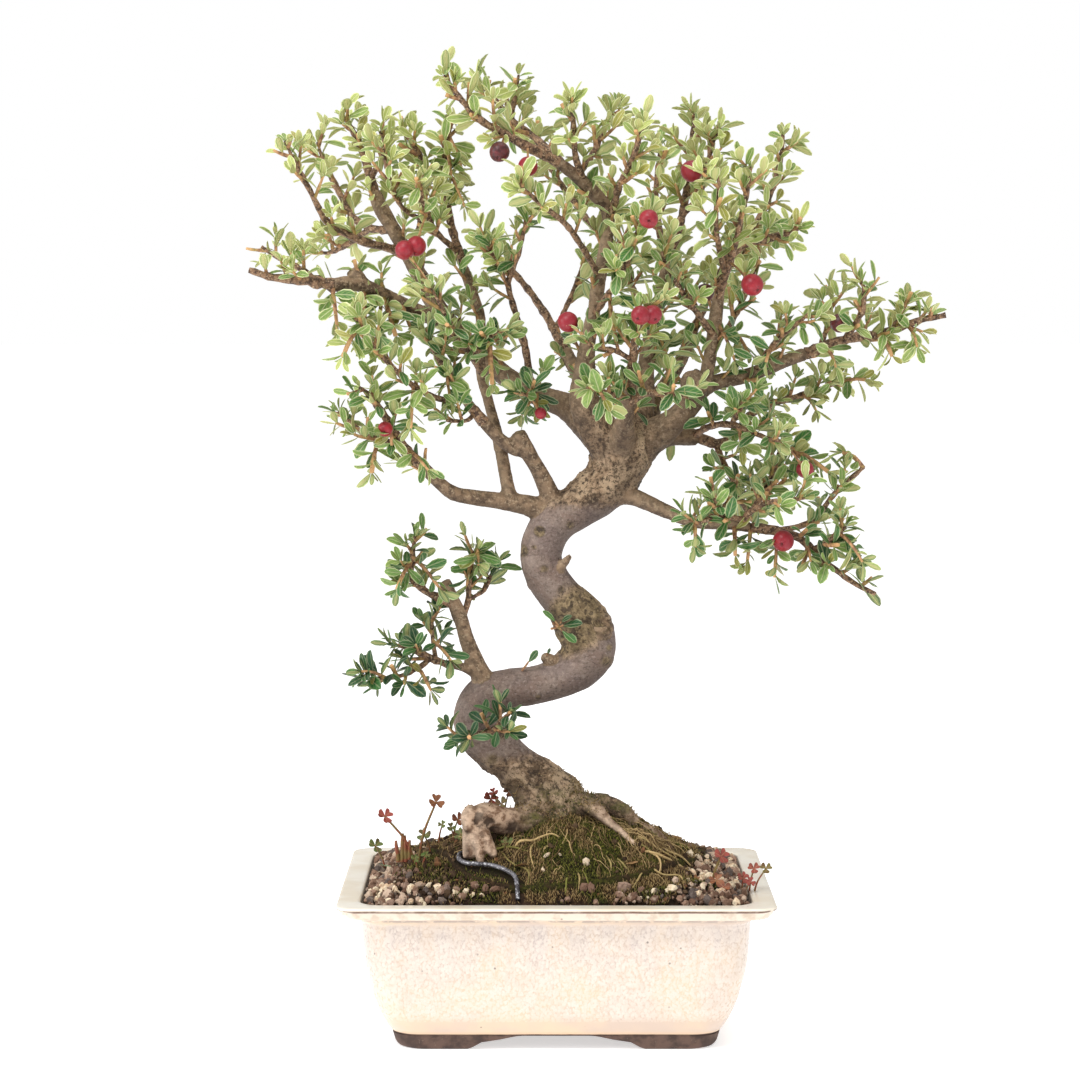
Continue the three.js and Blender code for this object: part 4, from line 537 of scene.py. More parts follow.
# The wire's course in the plan, over the mound and down to the pot's front wall
WIRE_PLACES = [
    [-39, -19], [-42.4, -26], [-42.6, -32], [-39, -36.6], [-33.5, -38.6], [-27.5, -41],
    [-21.5, -45], [-17.6, -50], [-16.6, -56],
]


# Numbers and noise


def hash01(a, b, c):
    """A fixed number from 0 to 1 for each triple: the fraction of a large multiple of a sine."""
    value = np.sin(np.asarray(a) * 127.1 + np.asarray(b) * 311.7 + c * 74.7) * 43758.5453
    return value - np.floor(value)


def mix(a, b, t):
    """The value at share t of the way from a to b."""
    return a + (b - a) * t


def smooth_step(low, high, value):
    """0 at `low`, 1 at `high` and a smooth rise between, the larger of the two on either side."""
    t = np.clip((value - low) / (high - low), 0, 1)
    return t * t * (3 - 2 * t)


def unit(vectors):
    """The same directions with a length of 1."""
    return vectors / np.maximum(np.linalg.norm(vectors, axis=-1, keepdims=True), 1e-9)


def take(keep, *arrays):
    """The rows of each array that are kept."""
    return [array[keep] for array in arrays]


def lumps(points, size, seed):
    """Smooth noise from -1 to 1: fixed random numbers at the corners of cubes `size` wide,
    blended between them."""
    place = np.asarray(points, float) / size + seed * 17.31
    cell = np.floor(place)
    share = place - cell
    share = share * share * (3 - 2 * share)
    total = 0.0
    for corner in np.ndindex(2, 2, 2):
        at = cell + corner
        value = hash01(at[..., 0], at[..., 1], at[..., 2] + seed)
        weight = np.prod(np.where(corner, share, 1 - share), axis=-1)
        total = total + weight * value
    return 2 * total - 1


def seen(rows):
    """Points [x, z, depth] on the plane through the trunk, moved along the line of sight from
    the eye point to their own depth."""
    rows = np.asarray(rows, float)
    k = 1 + rows[..., 2] / EYE_DISTANCE
    return np.stack(
        [EYE_X + (rows[..., 0] - EYE_X) * k, rows[..., 2], EYE_Z + (rows[..., 1] - EYE_Z) * k],
        axis=-1,
    )


def from_photo(rows):
    """Rows that start with a place in the photograph's pixels, as rows that start with its x
    and z in the front view, to a tenth of a mm."""
    rows = np.array(rows, float)
    rows[..., :2] = ((rows[..., :2] - PHOTO_PIXEL) / PHOTO_SCALE + PHOTO_PLACE).round(1)
    return rows


def front_view(points):
    """Where places appear in the front view, as columns x and z."""
    k = 1 + points[..., 1] / EYE_DISTANCE
    x = EYE_X + (points[..., 0] - EYE_X) / k
    return np.stack([x, EYE_Z + (points[..., 2] - EYE_Z) / k], axis=-1)


def smooth_path(points, t):
    """The curve through the points at shares t of the way: cubic pieces whose slope at each
    point is half the step between its two neighbours."""
    points = np.asarray(points, float)
    ends = np.vstack([2 * points[0] - points[1], points, 2 * points[-1] - points[-2]])
    at = np.clip(t, 0, 1) * (len(points) - 1)
    i = np.minimum(at.astype(int), len(points) - 2)
    f = (at - i)[:, None]
    a, b, c, d = ends[i], ends[i + 1], ends[i + 2], ends[i + 3]
    rise = (2 * a - 5 * b + 4 * c - d) * f**2 + (3 * b - 3 * c + d - a) * f**3
    return b + 0.5 * ((c - a) * f + rise)


# Surfaces


class Shape:
    """Points and faces gathered for one mesh, with named numbers for every point."""

    def __init__(self):
        self.points = []
        self.faces = []
        self.values = []
        self.size = 0

    def add(self, points, faces, finish=0, **values):
        """Adds copies of one pattern: points is (copies, each, 3) and faces is a list of
        arrays of corners within a copy. A value is given for all, each copy or each point."""
        points = np.asarray(points, float)
        if points.ndim == 2:
            points = points[None]
        copies, each, _ = points.shape
        starts = self.size + each * np.arange(copies)
        for corners in faces:
            corners = (starts[:, None, None] + corners[None]).reshape(-1, corners.shape[1])
            self.faces.append((corners, finish))
        spread = {}
        for name, value in values.items():
            value = np.asarray(value, float)
            if value.ndim == 1 and len(value) == copies and copies != each:
                value = value[:, None]
            spread[name] = np.broadcast_to(value, (copies, each)).ravel()
        self.points.append(points.reshape(-1, 3))
        self.values.append((copies * each, spread))
        self.size += copies * each

    def make(self, name, finishes, sharp=None):
        """Makes the mesh object, in metres at its place in the frame, riding on the body."""
        mesh = bpy.data.meshes.new(name)
        points = (np.concatenate(self.points) + POT_MIDDLE) * MM
        mesh.vertices.add(len(points))
        mesh.vertices.foreach_set("co", points.astype(np.float32).ravel())
        corners = np.concatenate([f.ravel() for f, _ in self.faces])
        counts = np.concatenate([np.full(len(f), f.shape[1]) for f, _ in self.faces])
        finish = np.concatenate([np.full(len(f), k) for f, k in self.faces])
        mesh.loops.add(len(corners))
        mesh.loops.foreach_set("vertex_index", corners.astype(np.int32))
        mesh.polygons.add(len(counts))
        starts = np.concatenate([[0], np.cumsum(counts)[:-1]])
        mesh.polygons.foreach_set("loop_start", starts.astype(np.int32))
        mesh.polygons.foreach_set("material_index", finish.astype(np.int32))
        mesh.update(calc_edges=True)
        for key in sorted({key for _, values in self.values for key in values}):
            numbers = [values.get(key, np.zeros(size)) for size, values in self.values]
            set_numbers(mesh, key, np.concatenate(numbers))
        return finished(name, mesh, finishes, sharp)


def set_numbers(mesh, key, numbers):
    """Writes a number for every point of a mesh under a name, for its finish to read."""
    attribute = mesh.attributes.new(key, "FLOAT", "POINT")
    attribute.data.foreach_set("value", numbers.astype(np.float32))


def skin_of(mesh):
    """The points of a mesh, in mm from the middle of the pot's underside, and their normals."""
    points, normals = np.zeros((2, len(mesh.vertices) * 3), np.float32)
    mesh.vertices.foreach_get("co", points)
    mesh.vertex_normals.foreach_get("vector", normals)
    points = points.reshape(-1, 3).astype(float) / MM - POT_MIDDLE
    return points, normals.reshape(-1, 3).astype(float)


def baked(piece):
    """A piece's mesh with its modifiers worked out."""
    ready = piece.evaluated_get(bpy.context.evaluated_depsgraph_get())
    return bpy.data.meshes.new_from_object(ready)


def finished(name, mesh, finishes, sharp=None):
    """Puts a mesh in the scene as a piece of the object, smooth but for edges past an angle."""
    mesh.shade_smooth()
    if sharp is not None:
        mesh.set_sharp_from_angle(angle=math.radians(sharp))
    for finish in finishes:
        mesh.materials.append(finish)
    piece = bpy.data.objects.new(name, mesh)
    bpy.context.scene.collection.objects.link(piece)
    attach(piece, BODY)
    return piece


def strip_faces(rows, columns):
    """The four-cornered faces between neighbouring rings of points."""
    around = np.arange(columns)
    ring = np.arange(rows - 1)[:, None] * columns
    a, b = ring + around, ring + (around + 1) % columns
    return np.stack([a, b, b + columns, a + columns], axis=-1).reshape(-1, 4)


def end_faces(rows, columns):
    """The three-cornered faces that close a tube to the two points listed after its rings."""
    j = np.arange(columns)
    after = (j + 1) % columns
    last = (rows - 1) * columns
    start, end = rows * columns, rows * columns + 1
    first = np.stack([np.full(columns, start), after, j], axis=-1)
    second = np.stack([np.full(columns, end), last + j, last + after], axis=-1)
    return np.concatenate([first, second])


def across(along):
    """Two directions square to each path, turning as little as they can along it."""
    lean = np.abs(along).mean(axis=-2)
    helper = np.eye(3)[lean.argmin(axis=-1)][..., None, :]
    u = unit(np.cross(along, helper))
    return u, np.cross(along, u)


def square_to(directions):
    """Two directions square to each given one."""
    u = unit(np.cross(directions, np.eye(3)[np.abs(directions).argmin(axis=-1)]))
    return u, np.cross(directions, u)


def add_tubes(shape, paths, radii, sides, rough=0.0, seed=1, **values):
    """Closed round tubes along several paths at once: each ring is a circle square to its
    path, its radius uneven by `rough`, and a point closes each end.
    paths is (tubes, stations, 3), radii is (tubes, stations)."""
    paths = np.asarray(paths, float)
    if paths.ndim == 2:
        paths = paths[None]
    radii = np.broadcast_to(np.asarray(radii, float), paths.shape[:2])
    tubes, stations, _ = paths.shape
    along = unit(np.gradient(paths, axis=1))
    u, v = across(along)
    turn = 2 * np.pi * np.arange(sides) / sides
    ring = u[:, :, None] * np.cos(turn)[:, None] + v[:, :, None] * np.sin(turn)[:, None]
    bumps = hash01(np.arange(tubes * stations).reshape(tubes, stations, 1), turn, seed)
    size = radii[:, :, None] * (1 + rough * (2 * bumps - 1))
    rings = paths[:, :, None] + ring * size[..., None]
    ends = np.stack([paths[:, 0], paths[:, -1]], axis=1)
    points = np.concatenate([rings.reshape(tubes, -1, 3), ends], axis=1)
    shape.add(points, [strip_faces(stations, sides), end_faces(stations, sides)], **values)


def rounded_rings(rows, long_steps, short_steps, corner_steps):
    """Rounded rectangles as rings of points. rows are (height, half length, half width, corner
    radius); each corner is a quarter circle and each side is split evenly."""
    signs = np.array([(1, 1), (-1, 1), (-1, -1), (1, -1)], float)
    corner, angle, share = [], [], []
    for quarter, steps in enumerate((long_steps, short_steps, long_steps, short_steps)):
        bend = quarter + np.arange(corner_steps + 1) / corner_steps
        side = np.arange(1, steps) / steps
        corner.append(np.full(corner_steps + steps, quarter))
        angle.append(np.concatenate([bend, np.full(len(side), quarter + 1)]) * np.pi / 2)
        share.append(np.concatenate([np.zeros(len(bend)), side]))
    corner, angle, share = (np.concatenate(v) for v in (corner, angle, share))
    rows = np.asarray(rows, float)[:, None, :]
    radius = rows[..., 3:4]
    bend = radius * np.stack([np.cos(angle), np.sin(angle)], axis=-1)
    first = signs[corner] * (rows[..., 1:3] - radius) + bend
    second = signs[(corner + 1) % 4] * (rows[..., 1:3] - radius) + bend
    flat = first * (1 - share[:, None]) + second * share[:, None]
    height = np.broadcast_to(rows[..., :1], (*flat.shape[:2], 1))
    return np.concatenate([flat, height], axis=-1)


def add_loft(shape, rings, start, end, **values):
    """A closed body through rings of points, with a point to close it at each end."""
    rows, columns, _ = rings.shape
    points = np.concatenate([rings.reshape(-1, 3), [start, end]])
    shape.add(points, [strip_faces(rows, columns), end_faces(rows, columns)], **values)


# Wood


def even_path(rows, step, least=4):
    """A path through [x, y, z, ...] rows at even steps of length, and its length."""
    dense = smooth_path(rows, np.linspace(0, 1, 14 * len(rows)))
    moves = np.linalg.norm(np.diff(dense[:, :3], axis=0), axis=1)
    travel = np.concatenate([[0], np.cumsum(moves)])
    at = np.linspace(0, travel[-1], max(least, int(travel[-1] / step) + 1))
    return np.stack([np.interp(at, travel, c) for c in dense.T], axis=-1), travel[-1]


def limb_path(rows):
    """A limb's middle line at even steps, as [x, y, z, radius], and its length."""
    rows = np.asarray(rows, float)
    return even_path(np.column_stack([seen(rows[:, :3]), rows[:, 3]]), LIMB_STEP)


def nearest_limb(points, logs):
    """For each point the sample of the limbs' middle lines whose surface is nearest."""
    path = np.concatenate([rows[:, :3] for rows in logs])
    radius = np.concatenate([rows[:, 3] for rows in logs])
    travel = np.concatenate([np.arange(len(rows)) * LIMB_STEP for rows in logs])
    log = np.concatenate([np.full(len(rows), i) for i, rows in enumerate(logs)])
    along = np.concatenate([unit(np.gradient(rows[:, :3], axis=0)) for rows in logs])
    best = np.empty(len(points), int)
    for chunk in np.array_split(np.arange(len(points)), max(1, len(points) // 4000)):
        square = (points[chunk] ** 2).sum(1)[:, None] + (path**2).sum(1)
        gap = np.sqrt(np.maximum(square - 2 * points[chunk] @ path.T, 0)) - radius
        best[chunk] = gap.argmin(1)
    return path[best], radius[best], travel[best], log[best], along[best]


def bark_relief(points, normals, logs):
    """Height of the bark over the plain limb, in mm, with the masks that its finish reads.
    Ridged noise stretched along the grain is deep at the foot, the crotch, the inner bend and
    on the limbs, and shallow on the trunk; scars are rimmed pits or bells, and the whorl is a
    ringed bell."""
    centre, radius, travel, log, along = nearest_limb(points, logs)
    out = unit(points - centre)
    u, v = square_to(along)
    turn = np.arctan2((out * v).sum(1), (out * u).sum(1))
    grain = np.column_stack(
        [radius * np.cos(turn), radius * np.sin(turn), travel * 0.5 + 31 * log]
    )
    x, y, z = points.T
    is_trunk = log == 0
    facing = smooth_step(0.1, -0.35, out[:, 1])
    foot = smooth_step(132, 108, z) * is_trunk
    fork = smooth_step(226, 244, z) * is_trunk
    root = (z < 112) & ~is_trunk
    bend = np.exp(-(np.hypot((x - 10) / 10, (z - 184) / 12) ** 2)) * facing
    inner = np.exp(-(np.hypot((x - 2.5) / 5, (z - 177) / 10) ** 2))
    rough = np.clip(0.1 + 0.9 * foot + 0.8 * fork + np.where(is_trunk, 0, 0.55), 0, 1)
    rough = np.clip(np.where(root, 0.75, rough) + (1.5 * bend + inner) * is_trunk, 0, 1)
    ridge = 1 - 2 * np.abs(lumps(grain, 6.2, 1))
    small_ridge = 1 - 2 * np.abs(lumps(grain, 3.1, 2))
    ridge = ridge * 0.6 + 0.35 * small_ridge + 0.2 * lumps(grain, 1.7, 3)
    swell = lumps(points, 14, 4) * 0.5 + lumps(points, 7, 5) * 0.35
    scale = np.clip(radius / 9, 0.24, 1)
    height = mix(0.12, 1.6, rough) * ridge + mix(0.5, 1.3, rough) * swell
    height *= scale * (1 + 0.5 * foot)
    height += (2.4 * inner + 0.9 * bend) * is_trunk
    scar = 0.85 * np.clip(1.3 * bend + inner, 0, 1) * is_trunk
    for scar_x, scar_z, size, rise in SCARS:
        away = np.hypot(x - scar_x, z - scar_z) / size
        bell = np.exp(-(away**2)) * facing
        rim = np.exp(-(((away - 0.95) / 0.4) ** 2)) * facing
        height += rise * bell + 0.45 * rim
        scar = np.maximum(scar, np.maximum(bell * (1 if rise < 0 else 0.6), rim * 0.3))
    whorl_x, whorl_z, size = WHORL
    away = np.hypot(x - whorl_x, (z - whorl_z) * 1.15)
    rings = np.exp(-((away / size) ** 2)) * facing
    height += rings * (1.3 + 0.8 * np.cos(away * 1.9))
    scar = np.maximum(scar, rings * (0.4 - 0.4 * np.cos(away * 1.9)))
    root_left = smooth_step(-8, -22, x) * smooth_step(-6, -14, y) * smooth_step(109, 100, z)
    root_right = smooth_step(12, 20, x) * smooth_step(106, 98, z) * smooth_step(-8, -14, y)
    knob_end = smooth_step(29, 34, x) * smooth_step(100, 94, z) * root
    pale = np.clip(root_left + 0.8 * root_right + 0.5 * knob_end, 0, 1)
    return height, {
        "rough": rough, "limb": smooth_step(9, 3.4, radius) * ~is_trunk,
        # under: undersides, which the bark finish darkens as painted shade
        "under": smooth_step(0.15, -0.75, normals[:, 2]), "scar": scar,
        # painted light: faces turned up and to the front left, which the bark finish lightens
        "lit": smooth_step(0.1, 0.95, normals @ unit(np.array([-0.75, -0.35, 0.5]))),
        "pale": pale, "moss": smooth_step(118, 96, z) * (1 - pale) * smooth_step(0.1, 0.5, rough),
        "relief": height,
    }


def make_wood(name, voxel, finish):
    """One skin over trunk, limbs, roots and toes: their round tubes are joined, skinned with
    even faces, smoothed, and every point moves along its normal by the bark's height."""
    logs = [limb_path(rows)[0] for rows in (TRUNK, *LIMBS.values(), *TOES.values())]
    tubes = Shape()
    for rows in logs:
        add_tubes(tubes, rows[:, :3], rows[:, 3], sides=20)
    rough = tubes.make(f"{name}_tubes", [])
    skin = rough.modifiers.new("skin", "REMESH")
    skin.mode, skin.voxel_size = "VOXEL", voxel * MM
    soften = rough.modifiers.new("soften", "SMOOTH")
    soften.factor, soften.iterations = 0.5, 5
    mesh = baked(rough)
    bpy.data.objects.remove(rough)
    points, normals = skin_of(mesh)
    height, masks = bark_relief(points, normals, logs)
    points += normals * height[:, None]
    points = ((points + POT_MIDDLE) * MM).astype(np.float32)
    mesh.vertices.foreach_set("co", points.ravel())
    mesh.update()
    for key, numbers in masks.items():
        set_numbers(mesh, key, numbers)
    mesh.name = name
    mesh.materials.clear()
    return finished(name, mesh, [finish])


# Twigs, shoots and leaves


# A leaf's six points across, at five places along: share of the length, half width there,
# place across as a share of that, and whether the point is on the underside
LEAF_ALONG = np.array([0.0, 0.2, 0.46, 0.74, 0.93])
LEAF_HALF = np.array([0.08, 0.5, 0.95, 0.96, 0.52])
LEAF_ACROSS = np.array([-1, -0.5, 0, 0.5, 1, 0])
LEAF_UNDER = np.array([0, 0, 0, 0, 0, 1])
LEAF_THICKNESS = 0.3


def add_leaves(shape, base, forward, upper, length, finish=0, width=0.22, **values):
    """Closed thin blades, widest past their middle: rings of six points across each leaf, five
    on its upper side and one under its midrib, folded up along the midrib, curled down or up
    towards the tip, and closed by a point at the stalk and at the tip."""
    count, rows, columns = len(base), len(LEAF_ALONG), len(LEAF_ACROSS)
    along, half = LEAF_ALONG[None, :, None], LEAF_HALF[None, :, None]
    forward = unit(forward)
    upper = unit(upper - (upper * forward).sum(1, keepdims=True) * forward)
    side = np.cross(upper, forward)
    seed = np.arange(count)
    wide = (width * (0.82 + 0.4 * hash01(seed, 3, 1)))[:, None, None]
    fold = (0.04 + 0.4 * hash01(seed, 5, 2))[:, None, None]
    curl = (-0.2 + 0.6 * hash01(seed, 7, 3))[:, None, None]
    x = along * (1 - 0.1 * np.abs(curl) * along)
    y = half * LEAF_ACROSS * wide
    lift = np.abs(y) * fold - curl * along**2
    size = length[:, None, None]
    depth = LEAF_THICKNESS * LEAF_UNDER * np.sqrt(half)
    x, y, lift = x * size + 0 * y, y * size, lift * size - depth
    rings = (
        base[:, None, None] + forward[:, None, None] * x[..., None]
        + side[:, None, None] * y[..., None] + upper[:, None, None] * lift[..., None]
    )
    tip_x, tip_z = (1 - 0.1 * np.abs(curl)) * size, curl * size + 0.4 * LEAF_THICKNESS
    ends = np.stack([
        base - 0.02 * length[:, None] * forward,
        base + forward * tip_x[:, 0] - upper * tip_z[:, 0],
    ], axis=1)
    points = np.concatenate([rings.reshape(count, -1, 3), ends], axis=1)
    shape.add(
        points, [strip_faces(rows, columns), end_faces(rows, columns)], finish,
        along=one_leaf(LEAF_ALONG, 1, 1), over=one_leaf(LEAF_HALF, LEAF_ACROSS, 0),
        rim=one_leaf(1, np.abs(LEAF_ACROSS), 1), below=one_leaf(1, LEAF_UNDER, 0),
        tone=hash01(seed, 11, 5), **values,
    )


def one_leaf(along, across, tip):
    """A number for each point of a leaf: the product of one that varies along it and one that
    varies across, then 0 at its stalk and `tip` at its tip."""
    grid = np.ones((len(LEAF_ALONG), len(LEAF_ACROSS)))
    grid = grid * np.reshape(along, (-1, 1)) * across
    return np.append(grid.ravel(), [0, tip])[None]


def shoot_paths(feet, along, angle, length, rise=0.3):
    """Side shoots: each leans forward and out from its twig at its own angle round it, rises,
    and its middle sags a little."""
    u, v = square_to(along)
    out = u * np.cos(angle)[:, None] + v * np.sin(angle)[:, None]
    heading = 0.55 * along + 0.8 * out
    heading[:, 2] += rise + 0.5 * (hash01(angle, length, 9) - 0.5)
    heading = unit(heading)
    tip = feet + heading * length[:, None]
    tip[:, 2] += 0.08 * length
    middle = (feet + tip) / 2
    middle[:, 2] -= 0.03 * length
    pull = 2 * middle - (feet + tip) / 2
    t = np.linspace(0, 1, SHOOT_STEPS + 1)[None, :, None]
    bent = (1 - t) ** 2 * feet[:, None] + 2 * t * (1 - t) * pull[:, None]
    return bent + t**2 * tip[:, None]


def leaves_on(paths, length, seed, bare=None, spacing=2.5, tuft=3, big=1.0):
    """Leaves of shoots: one at every few millimetres, each turned by the golden angle from the
    last, opening outward, and a tuft at the tip unless the shoot is bare there. Gives base,
    direction, upper side, length and place along the shoot for every leaf."""
    base, forward, upper, size, place = [], [], [], [], []
    bare = np.zeros(len(paths), bool) if bare is None else bare
    counts = np.round(length / spacing).astype(int) + 1
    ends = counts + np.where(bare, 0, tuft)
    for k in range(ends.max()):
        has = k < ends
        path, number = paths[has], seed[has]
        is_tip = k >= counts[has]
        share = np.clip((k + 0.7) / counts[has], 0, 1) * np.where(bare[has], 0.62, 0.84) + 0.14
        share = np.where(is_tip, 1, share)
        at = share * SHOOT_STEPS
        i = np.minimum(at.astype(int), SHOOT_STEPS - 1)
        f = (at - i)[:, None]
        rows = np.arange(len(path))
        foot = path[rows, i] * (1 - f) + path[rows, i + 1] * f
        along = unit(path[rows, i + 1] - path[rows, i])
        u, v = square_to(along)
        turn = (k * GOLDEN_ANGLE + number * 1.7 + 0.7 * hash01(number, k, 6))[:, None]
        out = u * np.cos(turn) + v * np.sin(turn)
        open_out = mix(1.15, 0.6, share)[:, None] * (0.65 + 0.7 * hash01(number, k, 8))[:, None]
        lead = along * np.where(is_tip, 1.0, 0.55)[:, None] + out * open_out
        lead[:, 2] += 0.6 * hash01(number, k, 12) - 0.16
        stray = np.stack([hash01(number, k, q) for q in (13, 14, 15)], -1) - 0.5
        face = 0.6 * along - 0.35 * out + 1.5 * stray
        face[:, 2] += 0.5
        face[:, 1] -= 0.15
        base.append(foot + 0.4 * out)
        forward.append(unit(lead))
        upper.append(face)
        grown = mix(11.8, 8.4, share) * (0.7 + 0.5 * hash01(number, k, 7)) * big
        size.append(np.where(is_tip, grown * 0.9, grown))
        place.append(share)
    join = np.concatenate
    return join(base), join(forward), join(upper), join(size), join(place)


def leaf_painted_light(points):
    """How much painted light a leaf gets: 0, for painted shade, low down and inside the crown,
    and 1 at its outer top.
    """
    middle, reach = np.array([15, 0, 300]), np.array([110, 62, 95])
    away = np.linalg.norm((points - middle) / reach, axis=1)
    height = (points[:, 2] - 210) / 200
    outer = np.minimum(away, 1.2) * smooth_step(110, 270, points[:, 2])
    return np.clip(0.54 * height + 0.46 * outer + 0.01, 0, 1)


def in_sky(points):
    """Whether the front view shows a place where there is sky between the branches."""
    x, z = front_view(points).T
    patches = from_photo(SKY_IN_PHOTO)
    patches[:, 2:] = (patches[:, 2:] / PHOTO_SCALE[0]).round(1)
    patches = [*patches, *SKY_BESIDE]
    near = [np.hypot((x - a) / w, (z - b) / h) < 1 for a, b, w, h in patches]
    return np.any(near, axis=0)


def drop_sky(paths, length, seed):
    """Leaves out the shoots that would stand in the sky between the branches."""
    return take(~in_sky(paths[:, -1]), paths, length, seed)


def put_leaves(shape, leaves, length_scale):
    """Adds the leaves that leave the sky free, with painted light: lighter at the crown's outer
    top and towards each shoot's tip, and darker as painted shade low down and inside.
    """
    base, forward, _, size, _ = leaves
    keep = ~in_sky(base + unit(forward) * size[:, None] * 0.6)
    base, forward, upper, size, place = take(keep, *leaves)
    # painted light and shade for each leaf, from its place in the crown and on its shoot
    light = np.clip(leaf_painted_light(base) + 0.2 * (place - 0.5), 0, 1)
    fresh = smooth_step(0.6, 1, place)
    add_leaves(
        shape, base, forward, upper, size * length_scale, LEAF_FINISH, light=light, fresh=fresh
    )


def nearest_point(paths, target):
    """How far the nearest sample of several paths is from a place, and that sample."""
    points = np.concatenate([path[:, :3] for path in paths])
    away = np.linalg.norm(points - target, axis=1)
    return away.min(), points[away.argmin()]


def spray_twigs(name, twigs):
    """Twigs of a branchlet as even paths with radii. Later ones start on earlier ones, and a
    leafy one stops short of the place where its leaves end."""
    ready = []
    for i, ((first, last), rows) in enumerate(twigs):
        points = seen(rows)
        if (name, i) not in CUT_TWIGS:
            reach = np.linalg.norm(points[-1] - points[-2])
            points[-1] = mix(points[-1], points[-2], min(0.6, LEAFY_TIP / reach))
        if ready:
            points[0] = nearest_point(ready, points[0])[1]
        radii = np.linspace(first, last, len(points))
        ready.append(even_path(np.column_stack([points, radii]), 2.2, 8)[0])
    return ready


def twig_shoots(path, twig, spray, spacing, lengths):
    """Places of the side shoots of a twig, from bare foot to tip, as the solids have them."""
    bare = 0.3 if twig == 0 else 0.22
    travel = (len(path) - 1) * np.linalg.norm(path[1, :3] - path[0, :3])
    count = max(2, int(round(travel * (1 - bare) / spacing)))
    k = np.arange(count)
    seed = spray * 17 + twig * 5
    t = bare + (1 - bare) * (k + 0.3 + 0.4 * hash01(seed, k, 1)) / count
    angle = k * GOLDEN_ANGLE + spray + 0.9 * hash01(seed, k, 2)
    length = mix(*lengths, hash01(seed, k, 3)) * (1 - 0.35 * t)
    at = t * (len(path) - 1)
    i = np.minimum(at.astype(int), len(path) - 2)
    f = (at - i)[:, None]
    feet = path[i, :3] * (1 - f) + path[i + 1, :3] * f
    along = unit(path[i + 1, :3] - path[i, :3])
    return shoot_paths(feet, along, angle, length), length, seed + k * 0.37 + 1


def is_bare(seed):
    """Which shoots end in a bare cut tip: about one in four."""
    return hash01(seed, 2, 33) < 0.26


def add_twig(shape, rows, seed, cut):
    """A twig as an uneven tube with swollen joints; the last stretch tapers unless it is cut."""
    stations = len(rows)
    t = np.arange(stations)
    knots = 1 + 0.16 * (hash01(t, seed, 21) > 0.62) + 0.07 * np.sin(t * 1.9 + seed)
    taper = 1 if cut else 1 - 0.35 * smooth_step(0.8, 1, t / (stations - 1))
    path = rows[:, :3] + 0.22 * (np.stack([hash01(t, seed, q) for q in (22, 23, 24)], -1) - 0.5)
    path[0] = rows[0, :3]
    add_tubes(shape, path, rows[:, 3] * knots * taper, 7, rough=0.09, seed=seed, bark=1.0)


def add_shoots(shape, paths, seed):
    """Side shoots as knobbly tubes, thicker where the tip is cut and bare."""
    bare = is_bare(seed)
    radii = np.where(bare[:, None], [1.1, 1.05, 1.0, 0.95, 0.9], [1.0, 0.92, 0.8, 0.72, 0.6])
    radii = radii * (0.9 + 0.25 * hash01(seed, 1, 25))[:, None]
    share = np.linspace(0, 1, SHOOT_STEPS + 1)
    tip = np.append(np.repeat(share, SHOOT_SIDES), share[[0, -1]])[None]
    add_tubes(shape, paths, radii, SHOOT_SIDES, rough=0.16, seed=3, bark=0.0, tip=tip)


def make_spray(name, index, twigs, stalks, sizes, finishes):
    """A branchlet: its twigs, every side shoot, leaves on all shoots and at the twigs' tips,
    and the stalks of its berries."""
    shape = Shape()
    for i, rows in enumerate(twigs):
        is_cut = (name, i) in CUT_TWIGS
        add_twig(shape, rows, index * 7 + i, is_cut)
        paths, length, seed = twig_shoots(rows, i, index, sizes.shoot_spacing, (6, 15.5))
        if is_cut:
            keep = np.arange(len(seed)) < 0.86 * len(seed)
            paths, length, seed = take(keep, paths, length, seed)
        paths, length, seed = drop_sky(paths, length, seed)
        if len(seed):
            add_shoots(shape, paths, seed)
            put_leaves(shape, leaves_on(paths, length, seed, is_bare(seed)), sizes.leaf_scale)
        if not is_cut:
            end, number = rows[-5:, :3][None], np.array([index * 3.1 + i])
            tip = leaves_on(end, np.array([7.0]), number, big=0.8)
            put_leaves(shape, tip, sizes.leaf_scale)
    for start, end in stalks:
        t = np.linspace(0, 1, 6)[:, None]
        path = start * (1 - t) + end * t
        path[:, 2] += 0.8 * np.sin(np.pi * t[:, 0])
        add_tubes(shape, path, [0.75, 0.6, 0.5, 0.5, 0.55, 0.7], 5, bark=0.0)
    return shape.make(f"branchlet_{name}", finishes, sharp=FOLD_ANGLE)


def make_trunk_sprigs(name, sizes, finishes):
    """The few leaves that grow straight from the trunk, each on a short stalk."""
    rows = np.array(SPRIG_LEAVES)
    foot, tip = (seen(from_photo(places)) for places in np.hsplit(rows, 2))
    along = tip - foot
    start = foot + 0.22 * along
    shape = Shape()
    paths = np.stack([foot - 0.35 * along, foot, start + [0, 0, 0.3]], axis=1)
    add_tubes(shape, paths, [0.6, 0.5, 0.42], 5, bark=0.2)
    upper = np.tile([0.15, -0.8, 0.6], (len(rows), 1))
    length = np.linalg.norm(along, axis=1) * 0.8 * sizes.leaf_scale
    # little painted light, so these leaves take the darker greens of painted shade
    add_leaves(shape, start, along, upper, length, LEAF_FINISH, light=0.2, fresh=0.1)
    return shape.make(name, finishes, sharp=FOLD_ANGLE)


